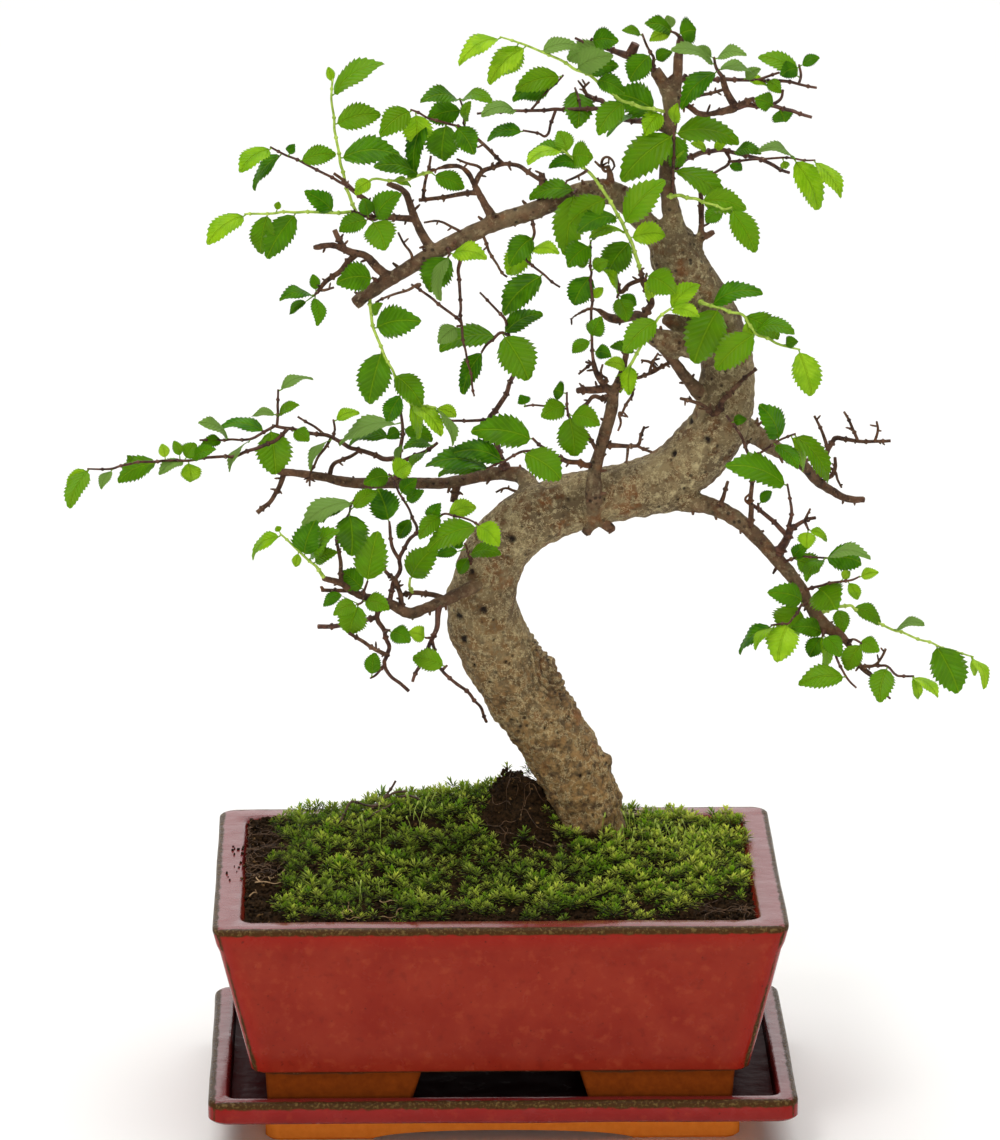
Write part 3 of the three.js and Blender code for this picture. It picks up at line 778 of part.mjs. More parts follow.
      [-40, 162, -23, 0.7], [-38, 157.3, -24, 0.6], [-34.4, 154.4, -24, 0.6], [-31.3, 151.5, -24, 0.6]],
    [[-42.3, 178.8, -17.8, 0.9], [-48, 177.5, -15, 0.8], [-54.7, 176, -12, 0.8], [-63.3, 175.4, -8, 0.8]],
    [[-39.9, 173, -20.2, 0.6], [-38, 174, -25, 0.35]],
    [[-39.7, 161.5, -23.2, 0.6], [-43, 157.5, -27, 0.4], [-45, 156.3, -29, 0.3]],
  ], [
    [-38, 173.8, -31, 169.7, 6.6], [-44.6, 156.6, -43.3, 165.3, 5.6],
  ]],
  ['spray_hanging_inner', [
    [[-20.5, 183.8, -6.5, 1.3], [-21, 179, -9, 0.9], [-21.3, 174.8, -11, 0.85], [-23.7, 169.2, -13, 0.7],
      [-27.5, 160.5, -16, 0.6], [-30, 155, -19, 0.5]],
    [[-23.2, 170.5, -12.6, 0.65], [-22, 163, -16, 0.55], [-19.3, 158.7, -18, 0.55], [-14, 153.8, -17, 0.6],
      [-9.2, 149.6, -13, 0.55], [-5.8, 145.4, -8, 0.5], [-3.8, 140, -3, 0.5]],
    [[-22.9, 171, -12.4, 0.6], [-25.3, 171, -17, 0.35]],
    [[-19.6, 159.1, -17.8, 0.55], [-17.8, 160.8, -21, 0.35]],
  ], [
    [-25.1, 170.9, -31, 173, 5.6], [-18, 160.6, -29.8, 163.5, 7.6],
  ]],
];

function stemSides(rows) {
  const thickest = Math.max(...rows.map((row) => row[3]));
  if (thickest > 4) return 7;
  if (thickest > 2.4) return 6;
  return thickest > 1.2 ? 4 : 3;
}

function makeWood(extra) {
  const parts = [stem(TRUNK, 12, extra), stem(LEADER, 7, extra)];
  for (const rows of BRANCHES) parts.push(stem(rows, stemSides(rows), extra));
  return Manifold.union(parts);
}

// The nearest place of a spray's twigs to a point, as they look from the eye
function nearestOnTwigs(twigs, across, up) {
  let best = { far: Infinity };
  for (const rows of twigs) {
    for (let i = 0; i + 1 < rows.length; i += 1) {
      const [a, b] = [rows[i], rows[i + 1]];
      const run = [b[0] - a[0], b[1] - a[1]];
      const square = run[0] ** 2 + run[1] ** 2;
      const share = ((across - a[0]) * run[0] + (up - a[1]) * run[1]) / square;
      const spare = STALK_INSET / Math.sqrt(square);
      const low = i === 0 ? spare : 0;
      const high = i + 2 === rows.length ? 1 - spare : 1;
      const held = Math.min(high, Math.max(low, share));
      const place = a.map((value, k) => value + (b[k] - value) * held);
      const far = Math.hypot(across - place[0], up - place[1]);
      if (far < best.far) best = { far, place };
    }
  }
  return best.place;
}

// Half outline of a leaf: [share of its length, share of its width], with its teeth
const BROAD_EDGE = [[0, 0.07], [0.34, 0.49], [0.46, 0.41], [0.72, 0.4]];
const SMALL_EDGE = [[0, 0.1], [0.45, 0.5]];
const SMALL_WIDTH = 5.3;
const LEAF_RIB = 0.45;
const STALK_LENGTH = 1.3;
const STALK_INSET = 0.5;

// A toothed leaf blade on its stalk. A leaf that looks short for its kind reaches towards the
// eye or away from it, and one that looks narrow is rolled about its own rib.
function leaf(twigs, [baseX, baseZ, tipX, tipZ, width], index) {
  const root = nearestOnTwigs(twigs, baseX, baseZ);
  const looksLong = Math.hypot(tipX - baseX, tipZ - baseZ);
  const short = Math.sqrt(Math.max(0, LEAF_LENGTH ** 2 - looksLong ** 2));
  const reach = Math.min(short, 0.6 * looksLong) + 0.12 * looksLong;
  const side = index % 2 === 0 ? -1 : 0.6;
  const start = seen(root[0], root[1], root[2]);
  const base = seen(baseX, baseZ, root[2] + side * 0.6);
  const tip = seen(tipX, tipZ, root[2] + side * reach);
  const stalk = base.clone().sub(start);
  const ahead = stalk.dot(tip.clone().sub(start).normalize());
  if (ahead < STALK_LENGTH) base.copy(start).lerp(tip, STALK_LENGTH / start.distanceTo(tip));
  const along = tip.clone().sub(base);
  const length = along.length();
  along.normalize();
  const face = EYE.clone().sub(base);
  face.addScaledVector(along, -face.dot(along)).normalize();
  const sideways = face.clone().cross(along);
  const full = Math.max(width, LEAF_FULLNESS * length);
  const roll = Math.acos(width / full) * (sideways.z >= 0 ? 1 : -1);
  const up = face.clone().multiplyScalar(Math.cos(roll)).addScaledVector(sideways, Math.sin(roll));
  const across = along.clone().cross(up);
  const onBlade = (share, out) => {
    const lift = 4 * LEAF_ARCH * length * share * (1 - share) + LEAF_FOLD * Math.abs(out) * full;
    const place = base.clone().addScaledVector(along, share * length);
    return place.addScaledVector(across, out * full).addScaledVector(up, lift);
  };
  const edge = width < SMALL_WIDTH ? SMALL_EDGE : BROAD_EDGE;
  const outline = [];
  edge.forEach(([share, out]) => outline.push(onBlade(share, out)));
  outline.push(onBlade(1, 0));
  [...edge].reverse().forEach(([share, out]) => outline.push(onBlade(share, -out)));
  return blade(start, outline, onBlade(LEAF_RIB, 0), up);
}

// Two like faces with a band between them, on a stalk that runs to a point inside the twig.
// Corners run up one side, over the tip and back.
function blade(start, outline, rib, up) {
  const count = outline.length;
  const points = [...outline, rib];
  const top = points.map((p) => p.clone().addScaledVector(up, LEAF_THICKNESS / 2));
  const bottom = points.map((p) => p.clone().addScaledVector(up, -LEAF_THICKNESS / 2));
  const lower = points.length;
  const root = 2 * lower;
  const last = count - 1;
  const triangles = [[root, 0, last], [root, last + lower, lower]];
  triangles.push([root, lower, 0], [root, last, last + lower]);
  for (let a = 0; a < count; a += 1) {
    const b = (a + 1) % count;
    triangles.push([a, b, count], [a + lower, count + lower, b + lower]);
    if (b > 0) triangles.push([a, b + lower, b], [a, a + lower, b + lower]);
  }
  return solidOf([...top, ...bottom, start], triangles);
}

function makeSpray(twigs, leaves, woodAndGap) {
  const parts = twigs.map((rows) => stem(rows, stemSides(rows), 0));
  leaves.forEach((row, index) => parts.push(leaf(twigs, row, index)));
  return largest(Manifold.union(parts).subtract(woodAndGap));
}

function toGeometry(solid) {
  const mesh = solid.getMesh();
  const geometry = new THREE.BufferGeometry();
  const places = new Float32Array((mesh.vertProperties.length / mesh.numProp) * 3);
  for (let i = 0; i * 3 < places.length; i += 1) {
    for (let k = 0; k < 3; k += 1) places[i * 3 + k] = mesh.vertProperties[i * mesh.numProp + k];
  }
  geometry.setAttribute('position', new THREE.BufferAttribute(places, 3));
  geometry.setIndex(new THREE.BufferAttribute(mesh.triVerts, 1));
  geometry.computeVertexNormals();
  return geometry;
}

const GLAZE = { color: 0x8f3026, roughness: 0.35, metalness: 0 };
const EARTH = { color: 0x2b1d14, roughness: 1, metalness: 0 };
const BARK = { color: 0x7a6a52, roughness: 0.85, metalness: 0 };
const LEAF = { color: 0x3f8f1f, roughness: 0.45, metalness: 0 };

const bonsai = new THREE.Group();
bonsai.position.set(POT_PLACE[0], POT_PLACE[1], 0);

function addPiece(name, solid, look) {
  const mesh = new THREE.Mesh(toGeometry(solid), new THREE.MeshStandardMaterial(look));
  mesh.name = name;
  bonsai.add(mesh);
}

const wood = makeWood(0);
const woodAndGap = makeWood(GAP);
addPiece('tray', makeTray(), GLAZE);
addPiece('pot', makePot(), GLAZE);
addPiece('soil', makeSoil(woodAndGap), EARTH);
addPiece('wood', wood, BARK);
for (const [name, twigs, leaves] of SPRAYS) addPiece(name, makeSpray(twigs, leaves, woodAndGap), LEAF);

export default bonsai;
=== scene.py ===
# Chinese elm bonsai in a glazed pot on its tray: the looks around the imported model.
# Sizes in the tables are in millimetres and scale to the frame's metres when a piece is made.
import math
import random

import bpy
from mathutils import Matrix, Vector, kdtree, noise


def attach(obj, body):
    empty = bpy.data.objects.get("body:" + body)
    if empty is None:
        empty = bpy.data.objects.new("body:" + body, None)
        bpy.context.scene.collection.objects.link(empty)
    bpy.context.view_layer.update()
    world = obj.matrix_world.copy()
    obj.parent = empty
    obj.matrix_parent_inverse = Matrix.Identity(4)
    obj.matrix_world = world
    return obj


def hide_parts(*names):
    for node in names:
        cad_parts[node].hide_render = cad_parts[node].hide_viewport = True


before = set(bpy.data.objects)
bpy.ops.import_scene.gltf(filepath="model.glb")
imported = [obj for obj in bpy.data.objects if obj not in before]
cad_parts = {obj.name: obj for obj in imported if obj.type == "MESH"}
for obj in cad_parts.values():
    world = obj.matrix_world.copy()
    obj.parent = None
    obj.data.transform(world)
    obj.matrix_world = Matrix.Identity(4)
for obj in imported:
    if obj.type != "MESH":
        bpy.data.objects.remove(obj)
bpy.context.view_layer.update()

MM = 0.001
ROOT = "root"

# Where the pot's middle is across from the middle of the whole plant, and the eye from the pot's middle
POT_X = -12.3
EYE = Vector((-46.7, -2382.3, 814.3))
CAMERA_TILT = 0.253998
CAMERA_TURN = 0.020026
CAMERA_LENS = 220.08
CAMERA_SENSOR = 36

# Pot
POT_LENGTH = 201.4
POT_DEPTH = 149
POT_TOP = 86.3
POT_UNDERSIDE = 29.1
POT_TAPER = 13.6
RIM_WIDTH = 10.3
POT_FLOOR = 35
POT_CORNER = 5
POT_WAVER = 0.35
FOOT_OUTER = 82.6
FOOT_INNER = 27
FOOT_SLANT = 4.5
FOOT_DEPTH = 22
DRAIN_RADIUS = 6
DRAIN_DEPTH = 12
DRAIN_ACROSS = 40

# Tray
TRAY_LENGTH = 207.2
TRAY_ASIDE = 1.1
TRAY_DEPTH = 134.6
TRAY_TOP = 20.5
TRAY_RIM = 7
TRAY_FLOOR = 16.5
TRAY_WALL_FOOT = 12.6
TRAY_FOOT_TOP = 9.8
TRAY_FOOT_LENGTH = 168
TRAY_FOOT_DEPTH = 95
TRAY_FOOT_WALL = 6
TRAY_RECESS = 8.5
TRAY_ARCH_HALF = 46
TRAY_ARCH_RISE = 3.6
TRAY_CORNER = 5
BASIN_CORNER = 4
RECESS_CORNER = 3
TRAY_WAVER = 0.25

# Soil
SOIL_EDGE = 83.2
MOUND_RISE = 19.5
MOUND_AT = (-8, 24)
MOUND_SPREAD = (60, 44)
ROOT_LUMP_AT = (9, 21)
ROOT_LUMP_RISE = 15
ROOT_LUMP_SPREAD = (10, 11)
ROOT_LUMP_STEEP = 1.25
ROOT_LUMP_TOP = 11.5

# Leaves
LEAF_LENGTH = 16.5
LEAF_FULLNESS = 0.52
LEAF_ARCH = 0.075
LEAF_FOLD = 0.1
STALK_LENGTH = 1.3
STALK_INSET = 0.5

# Rows of [across, up, behind, radius] for the trunk, the leader and each branch and bare twig
TRUNK = [
    [32, 90, 23, 13.2], [32, 102, 22.5, 12.6], [30.8, 112, 22, 12.6], [26, 123, 21.5, 12.8],
    [20.4, 133.7, 21, 12.6], [13, 145.5, 20, 12.9], [6.4, 155.6, 19, 13.6], [0.5, 166, 18, 13.6],
    [-4.2, 177.5, 16, 13.3], [-4.8, 187, 14, 12.2], [-2.5, 197, 12, 11.4], [2, 205.5, 11, 10.9],
    [8.5, 211.8, 10.5, 11.1], [18, 217.2, 10, 10.9], [31, 221.5, 9, 10.3], [44, 224, 8.5, 10],
    [58.5, 228.5, 8, 10.6], [70.5, 238, 8, 11], [78.5, 250, 9, 10.2], [81, 262, 10, 9.5],
    [79.6, 275, 10, 9.2], [75.2, 288, 10, 9], [68, 300, 9, 8.9], [62.6, 309.5, 8, 9.5],
    [61.6, 316.5, 7, 7], [61.4, 319.5, 7, 4.6],
]
LEADER = [
    [62.5, 311, 7, 5.5], [61.6, 320, 6.5, 3.9], [60, 329, 6, 3], [59, 337, 6, 2.5], [59.6, 350, 5, 2.3],
    [60.5, 360, 4, 2.7], [60.8, 366, 3.5, 3.4], [62.3, 372, 3, 2], [62.8, 379, 3, 1.8], [64, 386.5, 3, 1.3],
]
BRANCHES = [
    # leader fork, left side, and the knob beyond it
    [[60.3, 365, 3.5, 2.8], [57.5, 370.5, 3, 2.5], [54.7, 374.6, 2.5, 2.1]],
    # upper left branch, its rise, and the fork at its end
    [[57, 314, 8, 4.6], [49, 323.5, 5, 4.2], [41, 331, 0, 4.4], [33, 332.3, -4, 3.6], [27, 331.3, -6, 3.2],
        [14, 325.5, -9, 3.1], [0, 321, -11, 3], [-12, 315.5, -13, 2.9], [-22, 310, -15, 2.8],
        [-34, 303, -17, 2.6], [-42, 298, -18, 2.5], [-50, 292, -19, 2.3]],
    [[38, 328, -1, 1.8], [39.5, 336, -4, 1.5], [38.5, 341, -6, 0.8]],
    [[-21, 309.5, -15, 2], [-25, 314.8, -14, 1.7], [-28.5, 322, -11.5, 1.5], [-30.2, 327, -9.5, 1.4],
        [-32.3, 332, -8, 1.3], [-38.2, 335, -6, 1.1]],
    [[-28.5, 322.3, -11.5, 1.2], [-33, 322.6, -13, 1], [-40.4, 323, -16, 0.95], [-45.5, 329, -18, 0.8],
        [-51, 333.2, -20, 0.7]],
    [[-40.4, 323, -16, 0.8], [-46, 323.6, -15, 0.7], [-51, 325, -14, 0.6]],
    [[-50, 332.6, -19.7, 0.6], [-56.8, 338.6, -17, 0.5]],
    [[-36, 301.5, -17, 1.9], [-40.6, 304, -19, 1.7], [-46.3, 309.5, -22, 1.5], [-50.8, 310.4, -24, 1.4],
        [-57, 313, -26, 1.2], [-64, 312.2, -28, 1]],
    [[-52.5, 310.5, -24.5, 1.1], [-56.7, 318.5, -24, 0.8]],
    [[-49, 310, -23, 1.1], [-55, 303.5, -26, 0.9], [-60, 300, -28, 0.8], [-63, 296, -30, 0.6]],
    [[-0.8, 321, -11, 1.9], [-5.2, 329, -12, 1.3], [-7.4, 333.6, -13, 1.1], [-11.8, 340.2, -14, 0.9],
        [-17, 341, -16, 0.8], [-23.5, 339, -18, 0.6]],
    [[-6.8, 331.5, -12.8, 0.9], [-14.7, 330.7, -8, 0.7], [-27.2, 329, -4, 0.6]],
    [[-25.8, 329.2, -4.4, 0.6], [-25, 335.7, -3, 0.5], [-23, 344.7, -1, 0.4]],
    [[15, 326, -8, 1.5], [15.5, 338.4, -4, 1]],
    [[-7.8, 334.5, -13, 0.9], [-5.2, 339, -11, 0.8], [2, 341.6, -8, 0.7], [8, 340.8, -5, 0.7],
        [15, 336, -4.6, 0.7]],
    [[2.4, 341.5, -8, 0.6], [-4, 348, -11, 0.55], [-10, 354.4, -14, 0.5]],
    # top right
    [[61, 364, 3, 1.5], [66.3, 362, 1, 1.1], [70.3, 359.3, -1, 1.1], [76.2, 359.5, -4, 1.2],
        [83, 361.3, -7, 1.6]],
    [[83, 361.3, -7, 1.4], [81, 364.5, -8, 1.2], [79.3, 368, -9, 1.1], [78.2, 372.5, -10, 0.9]],
    [[82.4, 361.1, -6.8, 1.1], [89.2, 364.4, -12, 0.7]],
    [[62, 363.5, 3, 0.8], [71, 365.8, 4, 0.55], [79, 367.8, 6, 0.5]],
    [[70.5, 312, 7, 1.8], [71.3, 319.5, 6, 1.1], [71.2, 326, 6, 1], [71, 333.3, 6, 0.9]],
    [[69, 313.5, 6, 1.8], [76, 317.4, 8, 1.1]],
    # middle left
    [[12, 222, 14, 4.5], [9.5, 229.3, 19, 3], [3, 231, 22, 2.6], [-6, 230, 24, 2.3], [-15.5, 227.8, 26, 2.2],
        [-35, 227.6, 28, 2], [-50, 227.6, 30, 1.9], [-65, 230.5, 31, 1.6], [-77.5, 232, 32, 1.3]],
    [[-75, 231.2, 32, 0.95], [-76.6, 226.5, 30, 0.8], [-80, 220.8, 28, 0.7], [-84.5, 217, 26, 0.8]],
    [[-14, 227.8, 26, 1.5], [-15.5, 220.5, 25, 1.1]],
    [[-59, 230.5, 31, 0.8], [-57.5, 234.5, 31, 0.7], [-52, 237, 31, 0.6], [-48, 239.5, 32, 0.5]],
    # lower left
    [[2, 195, 7, 3.4], [-7, 190.5, 0, 2.6], [-14, 187, -4, 2.2], [-20, 184, -6, 2.1], [-25, 182, -8, 2],
        [-30.5, 180, -11, 2], [-38.7, 184, -15, 1.7], [-44, 185.4, -17, 1.5], [-51, 188, -20, 1.4],
        [-55, 191, -22, 1.3], [-61.8, 193.2, -25, 1]],
    [[-18, 185, -5.5, 1.1], [-22.3, 186.7, -3, 0.9], [-29, 187.6, -2, 0.8], [-34.5, 186.6, -5, 0.7]],
    [[-33.8, 181.5, -12.5, 1], [-34.2, 187, -14, 0.8], [-36, 192.5, -17, 0.75], [-39.5, 195.5, -20, 0.6]],
    [[-52, 188.5, -20.5, 0.7], [-62, 188.7, -16, 0.6]],
    [[-55, 190.5, -22, 0.8], [-55.2, 198.6, -18, 0.65], [-56.8, 207.5, -15, 0.5]],
    # front branch that rises from the level limb, and its forks
    [[33.5, 212.5, 1, 3.4], [34, 223.5, -3.5, 3], [34.5, 232.8, -5, 2.5], [36.3, 239.3, -6, 2.2],
        [38, 245.7, -8, 2.2], [40, 253, -10, 2.3], [40.8, 260.5, -12, 2.2]],
    [[34, 214, 1, 2.2], [31.2, 208.8, -3, 1.8]],
    [[36, 214, 1, 2.2], [41, 210, -3, 1.6]],
    [[40.6, 259.5, -12, 1.7], [37.2, 263, -14, 1.3], [34, 269.7, -17, 1], [33.7, 272.5, -18, 0.8]],
    [[38, 261.5, -13, 1.5], [33.5, 260.8, -16, 1.2], [28.3, 260.6, -19, 1]],
    [[39.8, 257.5, -11, 0.9], [34, 258.5, -8, 0.7], [31.6, 256, -6, 0.6], [29, 254, -4, 0.7]],
    [[40.8, 260, -12, 1.7], [43.3, 265.5, -11, 1.3], [44.8, 271, -10, 1.2], [46, 278, -8, 1.1]],
    [[44.2, 266, -11, 0.7], [50, 265.3, -6, 0.6], [54.4, 267, -2, 0.6], [60.7, 270.6, 4, 0.7]],
    [[48, 265.3, -8, 0.6], [47.5, 259, -11, 0.5], [43.5, 251.3, -14, 0.4]],
    [[37, 240.7, -6.5, 1.1], [44, 240.6, -9, 0.7], [49.5, 240.8, -12, 0.6], [51.8, 247.5, -14, 0.45]],
    [[49, 240.8, -12, 0.5], [54.4, 238.3, -14, 0.45]],
    [[34.5, 234, -5.2, 1.2], [31, 233.7, -7, 0.9], [25, 235, -11, 0.8], [19, 237.6, -15, 0.7]],
    [[35.5, 238, -6, 0.7], [31, 245.7, -10, 0.55], [25.5, 250.3, -13, 0.45]],
    # thick inner stubs below the shoulder
    [[77, 275, 9, 5.5], [70, 276, 2, 4.6], [63, 277.5, -3, 4.2], [56, 279.5, -6, 3.4], [52.5, 282, -7, 2.4]],
    [[74.5, 256, 6, 2.6], [68, 263, 1, 2], [62, 271, -2, 1.9], [57.5, 276.5, -5, 1.9]],
    [[53, 282, -7, 1.9], [50.5, 287, -4, 1.7], [46, 287, 1, 1.8], [40, 286.5, 4, 1.6], [34, 290, 4, 0.7],
        [29, 288.5, 2, 0.6], [25.5, 286, 0, 0.5]],
    [[50.8, 286.5, -4.5, 1.3], [54, 292, -8, 1.1], [51, 299, -10, 0.8], [50, 304, -12, 0.7]],
    [[50.8, 300.5, -10.5, 0.7], [46, 298.5, -9, 0.7], [43, 296, -8.5, 0.8], [41.5, 302, -10, 0.5]],
    [[77, 252, 1, 1.2], [79, 256.5, -2.5, 0.9], [84, 262, -6, 0.7], [91, 268, -11, 0.5]],
    [[76, 251.5, 1, 0.9], [71.5, 255.5, -6, 0.6], [64.5, 257.6, -12, 0.5]],
    # lower right
    [[58, 226, 8, 6], [67.5, 220.8, 5, 3.8], [75, 218.6, 2, 3.1], [80, 216.6, 0, 2.9],
        [85.3, 213.3, -2, 2.8], [90.8, 208.3, -4, 2.7], [98.7, 199.5, -7, 2.5], [106.6, 189.5, -11, 2.4],
        [111, 182, -13, 2.3],
        [115.5, 175, -15, 2.7], [121.3, 171.5, -17, 1.6], [125, 167, -18, 1.2], [128.7, 160, -19, 1],
        [133, 156.2, -20, 0.9], [136, 151, -21, 0.8], [140, 147.6, -22, 0.6]],
    [[129, 159.5, -19, 0.7], [133.8, 160, -22, 0.5], [136.4, 163, -24, 0.45], [137.8, 166, -26, 0.45]],
    [[89.5, 209, -4, 1.1], [89.6, 219, -6.5, 0.8], [89.6, 229.5, -8.3, 0.65]],
    [[78.3, 217, 0, 1], [79.8, 222, -3, 0.7], [81.3, 227.5, -6, 0.5]],
    # right stub and the thin branch above it
    [[84, 247, 10, 5], [90, 245, 13, 3.9], [95.5, 241, 16, 3.2], [102, 237, 20, 2.5], [108.6, 232.6, 24, 2],
        [112.8, 227.8, 27, 1.9], [118.2, 223.8, 29, 1.7], [123.7, 221, 31, 1.5], [129.8, 220.8, 33, 1.2]],
    [[112.6, 228, 27, 1.3], [115.5, 233, 25, 1], [116.3, 238.5, 24, 0.9], [119, 243, 23, 0.8],
        [127, 241.9, 20, 0.6], [138.5, 242, 16, 0.5]],
    [[116.5, 239, 24, 0.7], [115.2, 243, 26, 0.55], [111.5, 251.2, 29, 0.4]],
    [[127, 241.9, 20, 0.55], [122, 252.5, 17, 0.4]],
    [[89.5, 246, 13, 1.6], [91.5, 250, 10, 0.7]],
]

